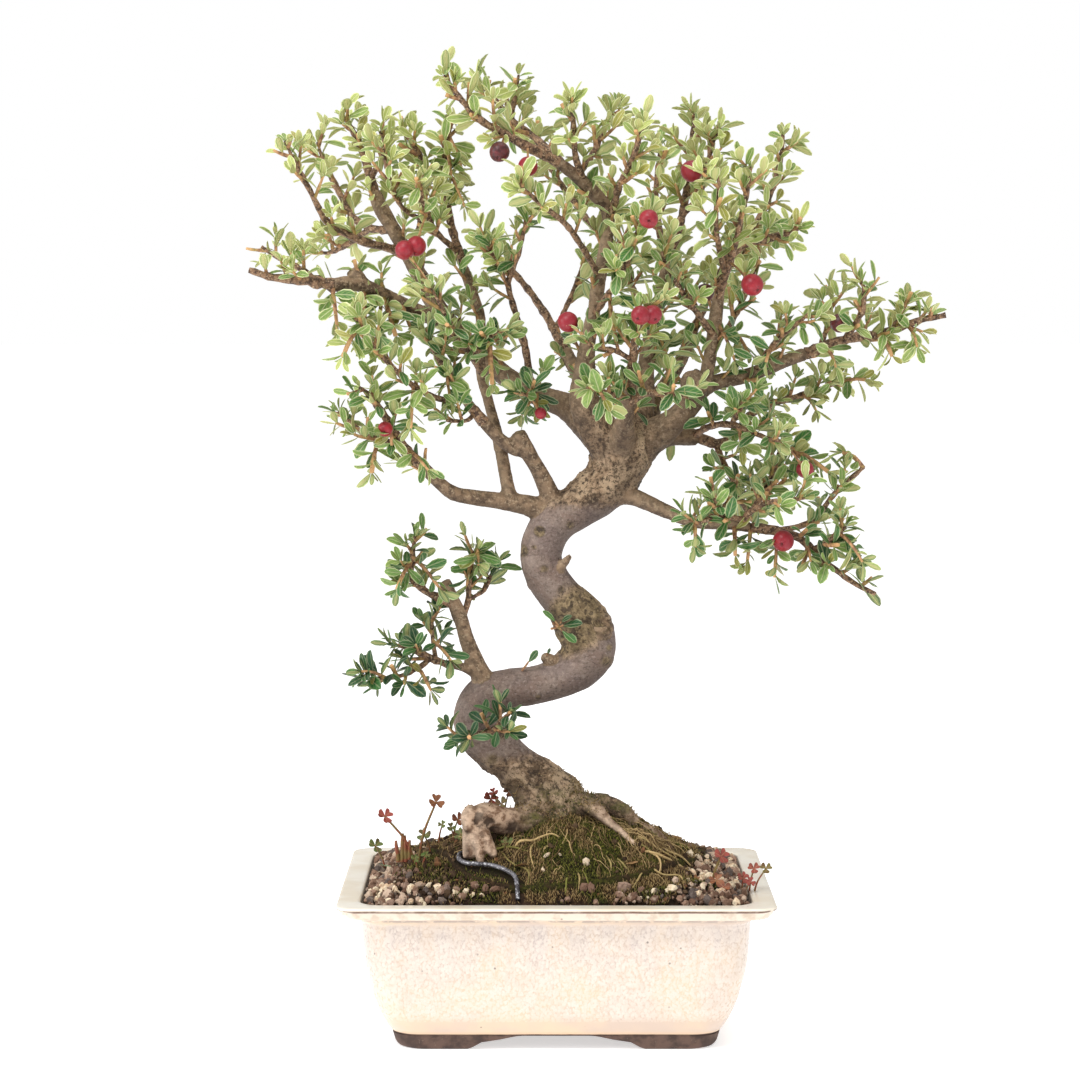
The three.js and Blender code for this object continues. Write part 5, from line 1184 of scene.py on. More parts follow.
def make_hanging_shoots(name, sprays, sizes, finishes):
    """Leafy shoots that hang from limbs and twigs: each starts on the wood that is nearest in
    the front view and bows down to its tip."""
    wood = [limb_path(rows)[0][:, :3] for rows in LIMBS.values()]
    wood += [rows[:, :3] for twigs in sprays.values() for rows in twigs]
    wood = np.concatenate(wood)
    view = front_view(wood)
    starts, ends = (from_photo(places) for places in np.hsplit(np.array(HANGING), 2))
    foot = wood[np.hypot(*(view[:, None] - starts).T).argmin(1)]
    seed = 700 + np.arange(len(starts)) * 1.3
    depth = foot[:, 1] - 5 + 9 * (hash01(seed, 1, 81) - 0.6)
    tip = seen(np.column_stack([ends, depth]))
    t = np.linspace(0, 1, SHOOT_STEPS + 1)[None, :, None]
    paths = foot[:, None] * (1 - t) + tip[:, None] * t
    paths[..., 1] -= 3 * np.sin(np.pi * t[..., 0])
    paths[..., 2] += 1.5 * np.sin(np.pi * t[..., 0])
    length = np.linalg.norm(tip - foot, axis=1)
    paths, length, seed = drop_sky(paths, length, seed)
    shape = Shape()
    add_shoots(shape, paths, seed)
    put_leaves(shape, leaves_on(paths, length, seed, spacing=2.1), sizes.leaf_scale)
    return shape.make(name, finishes, sharp=FOLD_ANGLE)


def make_limb_shoots(name, sizes, finishes):
    """Short leafy spurs straight on the limbs, from inside the bark outwards."""
    shape = Shape()
    for i, (limb, start) in enumerate(LEAFY_LIMBS.items()):
        rows, travel = limb_path(LIMBS[limb])
        count = max(2, int(travel * (1 - start) / sizes.spur_spacing))
        k = np.arange(count)
        t = start + (1 - start) * (k + 0.25 + 0.5 * hash01(i, k, 31)) / count
        at = np.minimum((t * (len(rows) - 1)).astype(int), len(rows) - 2)
        feet, along = rows[at, :3], unit(rows[at + 1, :3] - rows[at, :3])
        angle = k * GOLDEN_ANGLE + i * 2.1
        inside = rows[at, 3]
        length = inside + mix(4, 11, hash01(i, k, 32))
        paths = shoot_paths(feet, along, angle, length, rise=0.5)
        seed = 400 + i * 13 + k * 0.41
        add_shoots(shape, paths, seed)
        out = paths[:, -1] - paths[:, 0]
        hidden = (1 - np.linspace(0, 1, SHOOT_STEPS + 1))[:, None]
        paths = paths + out[:, None] * (inside / length)[:, None, None] * hidden
        leaves = leaves_on(paths, length - inside, seed, is_bare(seed))
        put_leaves(shape, leaves, sizes.leaf_scale)
    return shape.make(name, finishes, sharp=FOLD_ANGLE)


# Berries

BERRY_RINGS, BERRY_SIDES = 18, 20


def berry_stalk(centre, radius, sprays):
    """The branchlet whose twig is nearest to a berry, the stalk's two ends and its direction."""
    found = [(*nearest_point(twigs, centre), name) for name, twigs in sprays.items()]
    away, point, name = min(found, key=lambda row: row[0])
    towards = (centre - point) / away
    return name, point, centre - towards * (radius - 0.4), towards


def make_berry(name, rows, axes, sizes, finish):
    """A round fruit a little longer than wide: a sphere whose radius dips at the stalk and
    rises to five lobes of dry calyx round a pit at the far end."""
    shape = Shape()
    for row, axis in zip(rows, axes):
        centre, radius = seen(row[:3]), row[3] * sizes.berry_scale
        polar = np.linspace(0.06, np.pi - 0.06, BERRY_RINGS)[:, None]
        turn = np.linspace(0, 2 * np.pi, BERRY_SIDES, endpoint=False)[None, :]
        crown = np.exp(-((polar / 0.34) ** 2))
        lobes = 0.5 + 0.5 * np.cos(5 * turn)
        size = 1 + crown * (0.16 * lobes - 0.12) - 0.1 * np.exp(-(((np.pi - polar) / 0.3) ** 2))
        size = size - 0.1 * np.exp(-((polar / 0.12) ** 2)) + 0.012 * np.sin(3 * turn + row[0])
        main = unit(axis)
        u, v = square_to(main)
        ring = np.cos(turn)[..., None] * u + np.sin(turn)[..., None] * v
        rings = np.sin(polar)[..., None] * ring + 1.04 * np.cos(polar)[..., None] * main
        points = centre + radius * size[..., None] * rings
        start, end = centre + main * radius * 0.84, centre - main * radius * 0.93
        star = np.append((crown * lobes).ravel(), [0.9, 0])[None]
        dark, ripe = float(name in DARK_BERRIES), hash01(row[0], row[1], 3)
        add_loft(shape, points, start, end, star=star, dark=dark, ripe=ripe)
    return shape.make(f"{name}_fruit", [finish])


# Pot

FEET_HEIGHT = 6.6
FOOT_LENGTH, FOOT_WIDTH = 38.6, 27  # from the pot's middle to where the arches end
DRAIN_RADIUS, DRAIN_OFFSET, FLOOR_TOP = 9.0, 38.0, 13.0

# The arch between two feet: distance in from the foot and height of the edge
FOOT_CURVE = [[0, 0], [3, 1], [5.5, 2.8], [14, 4.2], [20, 5.6], [23, 6.2]]

# Rounded rectangles from the feet up and down inside: height, half length, half width, corner
FOOT_INSIDE = [[0, 60, 43, 8], [6.6, 58.6, 41.6, 8]]
FOOT_OUTSIDE = [[0, 68.6, 51.4, 11], [1.6, 70.4, 52.6, 12], [7.6, 72.2, 53.8, 13]]
POT_SIDE = [
    [6.6, 71.6, 53.4, 13], [7.2, 72.2, 53.8, 13], [8, 72.8, 54.2, 13], [10, 74.1, 55.2, 13],
    [13, 75.6, 56.4, 13], [16, 77, 57.4, 13], [19, 78.2, 58.2, 13], [23, 79.6, 59.2, 13],
    [28, 80.7, 60, 13], [32, 81.8, 60.7, 13], [37, 82.8, 61.3, 13], [42, 83.5, 61.8, 13],
    [48.5, 84, 62.2, 13], [53, 84.4, 62.5, 13], [56.4, 84.6, 62.6, 13],
]
COLLAR = [
    [57.2, 84.9, 62.9, 12.6], [57.9, 85.6, 63.6, 12.3], [58.5, 85.9, 63.9, 12.2],
    [59.2, 86.1, 64.1, 12], [59.8, 87.4, 65.2, 11.4],
]
RIM = [
    [60.2, 90.4, 67.5, 10], [60.45, 91.4, 68.4, 9.8], [60.8, 92.2, 69.1, 9.5],
    [61.6, 92.8, 69.6, 9.4], [62.8, 93.4, 70.1, 9.2], [63.8, 93.8, 70.4, 9],
    [64.2, 94.2, 70.8, 8.8], [64.5, 94.8, 71.3, 8.6], [64.9, 95, 71.5, 8.5],
    [65.5, 94.95, 71.45, 8.5], [65.85, 94.7, 71.2, 8.5], [66, 94.2, 70.7, 8.5],
    [66.05, 92.5, 69, 8.8], [66.05, 89, 65.5, 9.4], [66, 86.4, 62.9, 9.8],
    [65.85, 85.6, 62.1, 9.9], [65.4, 85.1, 61.6, 10],
]
POT_INSIDE = [
    [64.6, 84.7, 61.2, 10.2], [63.5, 84.2, 60.7, 10.5], [60, 82, 59.4, 11.2], [57, 79, 57.5, 12],
    [40, 76.5, 56, 12], [20, 71, 52, 12], [14.5, 68, 49.5, 12], [13, 66, 48, 12],
    [13, 40, 28, 8], [13, 12, 9, 3],
]


def foot_height(x, y):
    """Height of the pot's lower edge: an arch between the feet, rising in an ogee from each."""
    curve = np.array(FOOT_CURVE, float)
    is_long = np.abs(y) * RIM_X > np.abs(x) * RIM_Y
    inward = np.where(is_long, FOOT_LENGTH - np.abs(x), FOOT_WIDTH - np.abs(y))
    return np.interp(inward, curve[:, 0], curve[:, 1])


def rows_between(rows, heights):
    """Rows of a table at other heights, on straight lines between its own."""
    z, *others = np.array(rows, float).T
    return [[height, *(np.interp(height, z, other) for other in others)] for height in heights]


def make_pot(name, finish):
    """The pot as one skin carried from its underside round the feet, up the side, over the
    collar and rim and down inside. The foot ring is squeezed upward where the arches are, the
    glazed wall swells a fraction, and two drain holes are cut through the floor."""
    under = [[6.6, 20, 14, 4], [6.6, 46, 32, 7], [6.6, 57.6, 40.6, 8]]
    under += rows_between(FOOT_INSIDE, (6.2, 4, 2, 0.8))
    under += [[0.15, 60.6, 43.6, 8.2], [0, 61.4, 44.4, 8.6], [0, 67.8, 50.6, 10.8]]
    under += rows_between(FOOT_OUTSIDE, (0.5, 1.2, 2.2, 3.4, 4.8, 6.2))
    rings = rounded_rings([*under, *POT_SIDE, *COLLAR, *RIM, *POT_INSIDE], 56, 42, 10)
    level = np.arange(len(rings))[:, None]
    foot = level < len(under)
    arch = foot_height(rings[..., 0], rings[..., 1])
    lifted = arch + rings[..., 2] * (1 - arch / FEET_HEIGHT)
    rings[..., 2] = np.where(foot, lifted, rings[..., 2])
    side = smooth_step(8, 14, rings[..., 2]) * smooth_step(64, 58, rings[..., 2])
    out = level < len(rings) - len(POT_INSIDE)
    swell = 0.22 * lumps(rings, 26, 2) * side * out
    rings[..., :2] *= (1 + swell / 80)[..., None]
    rim = level >= len(under) + len(POT_SIDE)
    rings[..., 2] += 0.12 * lumps(rings, 40, 5) * (rim & out)
    inside = np.broadcast_to(level >= len(rings) - len(POT_INSIDE) - 1, rings.shape[:2])
    inner = np.append(inside.ravel(), [0, 1])[None]
    shape = Shape()
    add_loft(shape, rings, [0, 0, FEET_HEIGHT], [0, 0, FLOOR_TOP], inner=inner)
    pot = shape.make(name, [finish], sharp=POT_ANGLE)
    drains = Shape()
    for x in (-DRAIN_OFFSET, DRAIN_OFFSET):
        path = np.linspace([x, 0, FLOOR_TOP + 3], [x, 0, 2], 8)
        add_tubes(drains, path, DRAIN_RADIUS, 40)
    cutter = drains.make("drain_cutters", [])
    cut = pot.modifiers.new("drains", "BOOLEAN")
    cut.operation, cut.solver, cut.object = "DIFFERENCE", "EXACT", cutter
    mesh = baked(pot)
    bpy.data.objects.remove(cutter)
    pot.modifiers.clear()
    pot.data = mesh
    mesh.set_sharp_from_angle(angle=math.radians(POT_ANGLE))
    return pot


# Ground

MOUTH_X, MOUTH_Y, MOUTH_CORNER = 84.2, 60.7, 10.5  # the pot's mouth: half sizes and corner
SCATTER_X, SCATTER_Y = 84, 60  # half sizes of the field where loose things are strewn
SOIL_FLOOR, SOIL_EDGE, SOIL_DIP = 13.4, 64.2, 0.8
MOUND_X, MOUND_Y, MOUND_LONG, MOUND_WIDE = 4.0, -2.0, 62.0, 50.0  # middle and half sizes
MOUND_SINK = 66.5
COVER_EDGE = 0.86  # where moss and peat begin to give way to grit


def soil_height(x, y):
    """Top of the soil: a flat dome that falls to the pot's rim."""
    fall_x = 1 - np.minimum(1, np.abs(x) / 86) ** 4
    fall_y = 1 - np.minimum(1, np.abs(y) / 62) ** 3
    return SOIL_EDGE + 15 * fall_x * fall_y


def mound_edge(turn):
    """How the mound's edge swings in and out round its middle: a share near 1."""
    return 1 + 0.06 * np.sin(3 * turn + 1) + 0.04 * np.sin(5 * turn)


def mound_share(x, y):
    """How far out a place lies on the mound: 0 at its middle, 1 at its edge."""
    across, deep = (x - MOUND_X) / MOUND_LONG, (y - MOUND_Y) / MOUND_WIDE
    return np.hypot(across, deep) / mound_edge(np.arctan2(deep, across))


def moss_height(x, y):
    """Top of the smooth mound: a bell over the soil."""
    away = np.hypot((x - MOUND_X) / 36, (y - MOUND_Y) / 33)
    return soil_height(x, y) + 1 + 17 * np.exp(-(away**2))


def off_wire(x, y):
    """Distance in the plan from the bare wire's straight pieces."""
    near = np.full(np.shape(x), 1e9)
    for (ax, ay), (bx, by) in zip(WIRE_PLACES, WIRE_PLACES[1:]):
        dx, dy = bx - ax, by - ay
        t = np.clip(((x - ax) * dx + (y - ay) * dy) / (dx * dx + dy * dy), 0, 1)
        near = np.minimum(near, np.hypot(x - ax - t * dx, y - ay - t * dy))
    return near


def moss_skin(x, y):
    """Top of the moss: the smooth mound with cushions of three sizes on it."""
    flat = np.stack([x, y, np.zeros_like(x)], axis=-1)
    cushions = 1.9 * lumps(flat, 10, 1) + 1.5 * lumps(flat, 4.4, 2) + 0.5 * lumps(flat, 2, 3)
    edge = smooth_step(1.02, 0.9, mound_share(x, y))
    apart = smooth_step(2.5, 9, off_wire(x, y))
    banks = 5.5 * np.exp(-(np.hypot((x - 37) / 13, (y + 27) / 11) ** 2))
    banks += 4.5 * np.exp(-(np.hypot((x - 41) / 11, (y + 5) / 10) ** 2))
    return moss_height(x, y) + (banks + (cushions + 0.5) * apart - 1.5 * (1 - apart)) * edge


def ground_height(x, y):
    """Top of whatever lies at a place: moss on the mound and soil beside it."""
    return np.where(mound_share(x, y) < 0.99, moss_skin(x, y), soil_height(x, y))


def cover_share(x, y):
    """How far out a place lies on the peat and moss round the tree: 1 at their ragged edge."""
    flat = np.stack([x, y, 0 * x], axis=-1)
    away = (np.abs((x + 2) / 69) ** 3 + np.abs((y + 5) / 60) ** 3) ** (1 / 3)
    return away + 0.07 * lumps(flat, 13, 8) + 0.05 * lumps(flat, 5, 9)


def ground_seen(rows):
    """Places on the ground that the front view shows at [x, z]: each line of sight is followed
    from the front until the ground is above it."""
    rows = np.asarray(rows, float)
    depth = np.linspace(-58, 40, 197)
    lines = seen(np.stack(np.broadcast_arrays(rows[:, :1], rows[:, 1:], depth), axis=-1))
    first = (ground_height(lines[..., 0], lines[..., 1]) >= lines[..., 2]).argmax(1)
    found = lines[np.arange(len(rows)), first]
    found[:, 2] = ground_height(found[:, 0], found[:, 1])
    return found


def make_soil(name, finish):
    """The soil fills the pot: rings up its inner wall, then rings drawn in over the top, whose
    height is the crown of the bed with fine noise."""
    wall = [
        [SOIL_FLOOR, 65.7, 47.7, 12], [20, 70.7, 51.7, 12], [40, 76.2, 55.7, 12],
        [57, 78.7, 57.2, 12],
    ]
    shares = np.linspace(1, 0.03, 34)
    top = [[60.5, 81.9 * s, 58.9 * s, 10.5 * s] for s in shares]
    rings = rounded_rings([*wall, *top], 44, 34, 5)
    over = rings[len(wall):]
    x, y = over[..., 0], over[..., 1]
    grit = 0.9 * lumps(over, 5, 3) + 0.6 * lumps(over, 2.2, 4)
    edge = np.minimum(1, (1 - shares) * 12)[:, None]
    over[..., 2] = mix(SOIL_EDGE - 2, soil_height(x, y) - SOIL_DIP + grit, edge)
    shape = Shape()
    add_loft(shape, rings, [0, 0, SOIL_FLOOR], [0, 0, soil_height(0, 0) - SOIL_DIP])
    return shape.make(name, [finish])


def stone_pattern():
    """A stone as three rings of six points between two ends, all on a ball."""
    polar = np.array([0.72, 1.57, 2.42])[:, None]
    turn = np.arange(6) * np.pi / 3 + np.arange(3)[:, None] * 0.5
    across = np.sin(polar)
    rings = np.stack([across * np.cos(turn), across * np.sin(turn), -np.cos(polar) + 0 * turn], -1)
    return np.array([*rings.reshape(-1, 3), [0, 0, -1], [0, 0, 1]])


def turned(points, seed):
    """Each copy turned about three axes by its own random angles."""
    turns = np.eye(3)
    for q, (i, j) in enumerate(((0, 1), (2, 0), (1, 2)), start=1):
        angle = 2 * np.pi * hash01(seed, q, 41)
        turn = np.tile(np.eye(3), (len(seed), 1, 1))
        turn[:, i, i] = turn[:, j, j] = np.cos(angle)
        turn[:, j, i] = np.sin(angle)
        turn[:, i, j] = -turn[:, j, i]
        turns = turns @ turn
    return np.einsum("nij,nkj->nki", turns, points)


def add_stones(shape, places, size, seed, **values):
    """Angular stones: a ball of few faces whose points move in and out, squashed along its
    own axes and turned at random."""
    pattern = stone_pattern()
    bumps = 0.78 + 0.44 * hash01(seed[:, None], np.arange(len(pattern)), 42)
    wide, high = mix(0.62, 1, hash01(seed, 4, 43)), mix(0.45, 0.75, hash01(seed, 5, 43))
    squash = np.stack([np.ones(len(seed)), wide, high], -1)
    points = pattern[None] * bumps[..., None] * squash[:, None] * size[:, None, None]
    points = turned(points, seed) + places[:, None]
    shape.add(points, [strip_faces(3, 6), end_faces(3, 6)], **values)


def scatter(spacing, half_x, half_y, seed, jitter=0.9):
    """Places on a grid, each moved at random within its own cell, and their numbers."""
    x, y = np.meshgrid(np.arange(-half_x, half_x, spacing), np.arange(-half_y, half_y, spacing))
    x, y = x.ravel(), y.ravel()
    k = np.arange(len(x))
    x = x + spacing * jitter * (hash01(k, seed, 1) - 0.5)
    y = y + spacing * jitter * (hash01(k, seed, 2) - 0.5)
    return x, y, k


def in_pot(x, y, room):
    """Whether a place is inside the pot's mouth, at least `room` from its wall."""
    corner = MOUTH_CORNER - np.minimum(room, 8)
    over_x = np.maximum(np.abs(x) - (MOUTH_X - room) + corner, 0)
    over_y = np.maximum(np.abs(y) - (MOUTH_Y - room) + corner, 0)
    return np.hypot(over_x, over_y) < corner


# Grit and peat: spacing, smallest and largest radius of each size
GRIT_LAYERS = [(3.7, 1.5, 2.8), (2.5, 0.8, 1.5), (9, 2.4, 3.3)]
PEAT_LAYERS = [(2.6, 0.5, 1.3), (5.4, 1.1, 2.3)]
FINE_ROOTS = 250
# Moss spikes: spacing and length of each growth
TUFT_LAYERS = [(0.8, 2.0), (1.7, 3.6)]
# Where pale pumice shows among the grit, as (x, y, reach)
PALE_GRIT = [
    (-48, -36, 9), (-38, -46, 7), (-76, -40, 7), (66, -30, 14), (58, -18, 9), (-30, -52, 6),
    (74, 4, 10),
]


def make_grit(name, sizes, finish):
    """Angular grit over the soil beyond the moss in three sizes, paler where pumice lies, and
    the larger stones that show, each at its own place."""
    shape = Shape()
    for layer, (spacing, least, most) in enumerate(GRIT_LAYERS):
        x, y, k = scatter(spacing * sizes.grit_spacing, SCATTER_X, SCATTER_Y, 50 + layer)
        radius = mix(least, most, hash01(k, layer, 45) ** 1.3)
        keep = cover_share(x, y) > COVER_EDGE + 0.2 * hash01(k, layer, 46)
        keep &= in_pot(x, y, radius * 0.75) & (mound_share(x, y) > 0.96)
        x, y, k, radius = take(keep, x, y, k, radius)
        pale = np.zeros(len(x))
        for px, py, reach in PALE_GRIT:
            pale = np.maximum(pale, np.exp(-(np.hypot(x - px, y - py) / reach) ** 2))
        pale = (hash01(k, layer, 47) < 0.12 + 0.55 * pale).astype(float)
        z = soil_height(x, y) - SOIL_DIP + radius * mix(0.15, 0.7, hash01(k, layer, 48))
        places, seed = np.stack([x, y, z], -1), k + 3000.0 * layer
        add_stones(shape, places, radius, seed, pale=pale, tone=hash01(k, 6, 44))
    rows = from_photo(SHOWN_STONES)
    radius, kind = (rows[:, 2] / PHOTO_SCALE[0] * STONE_SHARE).round(1), rows[:, 3]
    places = ground_seen(rows[:, :2])
    inside = in_pot(places[:, 0], places[:, 1], radius + 0.5)
    places, radius, kind = take(inside, places, radius, kind)
    on_moss = cover_share(places[:, 0], places[:, 1]) < COVER_EDGE
    seed = np.arange(len(places)) + 9000.0
    places[:, 2] += np.where(on_moss, 0.7, 0.35) * radius
    tone = np.select([kind == 3, kind == 4, kind == 0], [0.57, 0.67, 0.3], 0.9)
    pale = np.clip(kind, 0, 1.5) * (kind < 2) * np.where(on_moss, 0.4, 1)
    radius = radius * np.where(on_moss, 1.5, 1.15)
    add_stones(shape, places, radius, seed, pale=pale, tone=tone)
    return shape.make(name, [finish], sharp=STONE_ANGLE)


def make_peat(name, finish):
    """Crumbs of dark peat over the moss and round it, thickest on the left."""
    shape = Shape()
    for layer, (spacing, least, most) in enumerate(PEAT_LAYERS):
        x, y, k = scatter(spacing, SCATTER_X, SCATTER_Y, 90 + layer)
        bare = smooth_step(-5, -50, x) * 0.75 + smooth_step(18, 52, x) * 0.3 + 0.12
        keep = in_pot(x, y, 2) & (cover_share(x, y) < 1.04) & (hash01(k, layer, 91) < bare)
        keep &= off_wire(x, y) > 2.2
        x, y, k = take(keep, x, y, k)
        radius = mix(least, most, hash01(k, layer, 92) ** 1.5)
        z = ground_height(x, y) + radius * mix(0.0, 0.5, hash01(k, layer, 93))
        places, seed = np.stack([x, y, z], -1), k + 7000.0 * layer
        add_stones(shape, places, radius, seed, tone=hash01(k, 6, 44))
    return shape.make(name, [finish], sharp=STONE_ANGLE)


def make_moss(name, finish):
    """The mound's skin: rings round its middle out to its wavy edge, cushioned by noise, and
    a skirt down to its sunk underside."""
    turn = np.linspace(0, 2 * np.pi, 200, endpoint=False)[None, :]
    edge = mound_edge(turn)
    share = np.append(1.0, np.linspace(1, 0.012, 74))[:, None]
    x = MOUND_X + MOUND_LONG * share * edge * np.cos(turn)
    y = MOUND_Y + MOUND_WIDE * share * edge * np.sin(turn)
    z = moss_skin(x, y)
    z[0] = MOUND_SINK
    # low: hollows below the smooth mound and the skirt, which the moss finish darkens as painted
    # shade
    low = np.append(smooth_step(0.4, -1.6, (z - moss_height(x, y) - 0.5)).ravel(), [0, 0])[None]
    base = [MOUND_X, MOUND_Y, MOUND_SINK]
    top = [MOUND_X, MOUND_Y, float(moss_skin(MOUND_X, MOUND_Y))]
    shape = Shape()
    add_loft(shape, np.stack([x, y, z], -1), base, top, low=low)
    return shape.make(name, [finish])


def add_blades(shape, feet, tips, width, **values):
    """Fine closed spikes: a three-sided base and a point."""
    along = unit(tips - feet)
    u, v = square_to(along)
    corners = [u * np.cos(a) + v * np.sin(a) for a in (0, 2.094, 4.189)]
    base = np.stack([feet + corner * width for corner in corners], axis=1)
    points = np.concatenate([base, tips[:, None]], axis=1)
    faces = [np.array([[0, 1, 3], [1, 2, 3], [2, 0, 3], [0, 2, 1]])]
    shape.add(points, faces, tip=np.array([[0, 0, 0, 1]]), **values)


def make_moss_tufts(name, sizes, finish):
    """Thousands of short spikes over the mound and the ground round it, leaning at random,
    thinner where peat shows, and a second growth of longer ones on the cushions."""
    shape = Shape()
    for layer, (spacing, long) in enumerate(TUFT_LAYERS):
        x, y, k = scatter(spacing * sizes.moss_spacing, 76, SCATTER_Y, 70 + layer, 1.0)
        flat = np.stack([x, y, 0 * x], -1)
        patch = lumps(flat, 11, 6) + 0.5 * lumps(flat, 4, 7)
        share = cover_share(x, y) + 0.12 * np.clip(patch, -1, 1)
        bare = smooth_step(-8, -46, x) * 0.6 + smooth_step(0.2, 0.9, patch) * 0.3
        keep = in_pot(x, y, 1) & (share < 0.92 + 0.1 * hash01(k, 1, 52)) & (off_wire(x, y) > 3)
        x, y, k, patch = take(keep & (hash01(k, 8, 52) > bare), x, y, k, patch)
        feet = np.stack([x, y, ground_height(x, y) - 0.3], -1)
        lean_x, lean_y = (hash01(k, q, 53 + layer) - 0.5 for q in (1, 2))
        lean = unit(np.stack([lean_x, lean_y, 0.55 + 0.4 * hash01(k, 3, 53)], -1))
        tips = feet + lean * (long * mix(0.5, 1.15, hash01(k, 4, 54)))[:, None]
        add_blades(shape, feet, tips, 0.34 - 0.08 * layer, tone=hash01(k, 5, 55), patch=patch)
    return shape.make(name, [finish])


def make_foot_moss(name, wood, finish):
    """Moss spikes on the wood's own skin, where the trunk's foot and its roots are mossy."""
    points, normals = skin_of(wood.data)
    k = np.arange(len(points))
    mossy = np.zeros(len(points), np.float32)
    wood.data.attributes["moss"].data.foreach_get("value", mossy)
    patch = lumps(points, 8, 17)
    chance = mossy * smooth_step(-0.35, 0.5, patch) * smooth_step(-0.6, 0.2, normals[:, 2]) * 0.6
    keep = (hash01(k, 1, 97) < chance) & (points[:, 2] > 74)
    points, normals, k, patch = take(keep, points, normals, k, patch)
    lean = normals + 0.9 * (np.stack([hash01(k, q, 98) for q in (1, 2, 3)], -1) - 0.5)
    long = mix(0.9, 2.4, hash01(k, 4, 98))[:, None]
    feet = points - 0.3 * normals
    tone = hash01(k, 5, 98)
    shape = Shape()
    add_blades(shape, feet, feet + unit(lean) * long, 0.36, tone=tone, patch=patch)
    return shape.make(name, [finish])


def crawl(start, heading, length, seed):
    """A path of 13 points over the ground from a place: it turns left and right by sums of
    sines, and rises and falls between its ends."""
    t = np.linspace(0, 1, 13)
    bend = heading + 0.28 * (np.sin(5 * t + seed * 3.1) + 0.6 * np.sin(11 * t + seed))
    x = start[0] + np.cumsum(np.cos(bend)) * (length / 12)
    y = start[1] + np.cumsum(np.sin(bend)) * (length / 12)
    z = ground_height(x, y) + 0.5 + 1.5 * np.abs(np.sin(4 * t + seed * 1.7)) * np.sin(np.pi * t)
    return np.stack([x, y, z], -1)


def make_surface_roots(name, finish):
    """Fibrous roots: those that show, each at its own place, and many finer ones that run
    outward and down from the trunk's foot, thickest down its right side."""
    shape = Shape()
    for radius, green, rows in SHOWN_ROOTS:
        places = ground_seen(from_photo(rows))
        places[:, 2] += 0.9
        places[[0, -1], 2] -= 1.6
        path = smooth_path(places, np.linspace(0, 1, 16))
        radii = np.linspace(1.1, 0.7, 16) * radius
        add_tubes(shape, path, radii, 5, rough=0.15, tone=1.0 - green, green=green)
    for k in range(FINE_ROOTS):
        right = hash01(k, 9, 61) < 0.68
        angle = mix(-1.3, 0.75, hash01(k, 3, 61)) if right else mix(-3.3, -1.2, hash01(k, 3, 61))
        away = mix(9, 46, hash01(k, 1, 61) ** 0.8)
        start = [4 + away * np.cos(angle), -5 + 0.85 * away * np.sin(angle)]
        heading = angle + 1.7 * (hash01(k, 2, 61) - 0.5)
        path = crawl(start, heading, mix(5, 20, hash01(k, 4, 61)), k)
        inside = in_pot(path[:, 0], path[:, 1], 3)
        if not inside.all() or off_wire(path[:, 0], path[:, 1]).min() < 2:
            continue
        path[[0, -1], 2] -= 1.5
        radii = mix(0.13, 0.34, hash01(k, 5, 61)) * np.linspace(1, 0.5, len(path))
        add_tubes(shape, path, radii, 4, rough=0.12, tone=float(hash01(k, 6, 61)), green=0.0)
    return shape.make(name, [finish])


# Fallen leaves as (x, y, size, heading, how green)
LITTER = [
    (-62, -8, 9, 0.4, 0.9), (-74, -12, 8, 2.2, 0.35), (46, -34, 7, 1.1, 0.1),
    (-12, -44, 6.5, 2.9, 0.15), (30, -42, 6, 0.2, 0.0), (-52, 18, 8, 1.9, 0.2),
    (58, 22, 7.5, 4, 0.1), (-70, 34, 7, 5.1, 0.0), (20, 48, 8, 3.3, 0.2), (70, -6, 6, 2.6, 0.05),
    (-30, -50, 5.5, 0.9, 0.05), (-44, 46, 7, 0.5, 0.1),
]


def make_litter(name, finish):
    """Fallen leaves lying on the ground, each a closed blade."""
    x, y, size, heading, green = np.array(LITTER).T
    base = np.stack([x, y, ground_height(x, y) + 1.6], -1)
    forward = np.stack([np.cos(heading), np.sin(heading), 0.1 + 0 * x], -1)
    upper = np.stack([0.2 * np.sin(x), 0.2 * np.cos(y), 1 + 0 * x], -1)
    shape = Shape()
    add_leaves(shape, base, forward, upper, size, 0, green=green, width=0.3)
    return shape.make(name, [finish], sharp=FOLD_ANGLE)


def make_weed(name, foot, stalks, finishes):
    """A clover-like weed: thin bent stalks, each with three heart-shaped leaflets."""
    shape = Shape()
    x, y = foot
    for i, (reach_x, reach_y, height) in enumerate(stalks):
        ground = soil_height(x, y)
        low = np.array([x, y, ground - 4])
        head = np.array([x + reach_x, y + reach_y, ground + height])
        add_stalk(shape, low, head, 0.6)
        add_leaflets(shape, head, i * 1.3 + 0.4, 3.9, 0.1 + 0.2 * i)
    return shape.make(name, finishes, sharp=FOLD_ANGLE)


def add_stalk(shape, low, head, radius):
    """A thin stalk that bows away from the straight line between its ends."""
    bend = (low + head) / 2 + np.array([-0.18 * (head - low)[0], 0, 0.6])
    path = smooth_path([low, bend, head], np.linspace(0, 1, 10))
    add_tubes(shape, path, np.linspace(radius * 1.2, radius * 0.8, 10), 6, bark=0.0)


def make_stray_weeds(name, finishes):
    """The small weeds that show at the edges: leaves on stalks, and a tuft of bare stubs."""
    shape = Shape()
    for foot_x, x, y, depth, size, green, turn in WEED_HEADS:
        low, head = seen(from_photo([[foot_x, y, depth], [x, y, depth]]))
        low[2] = ground_height(low[0], low[1]) - 2
        add_stalk(shape, low, head, 0.4)
        add_leaflets(shape, head, turn, 0.8 * size, green)
    for foot_x, foot_z, x, z in WEED_STUBS:
        low, head = seen([[foot_x, foot_z - 4, -14], [x, z, -14]])
        path, radii = np.linspace(low, head, 6), np.linspace(1.1, 0.7, 6)
        add_tubes(shape, path, radii, 6, rough=0.2, bark=0.0)
    return shape.make(name, finishes, sharp=FOLD_ANGLE)


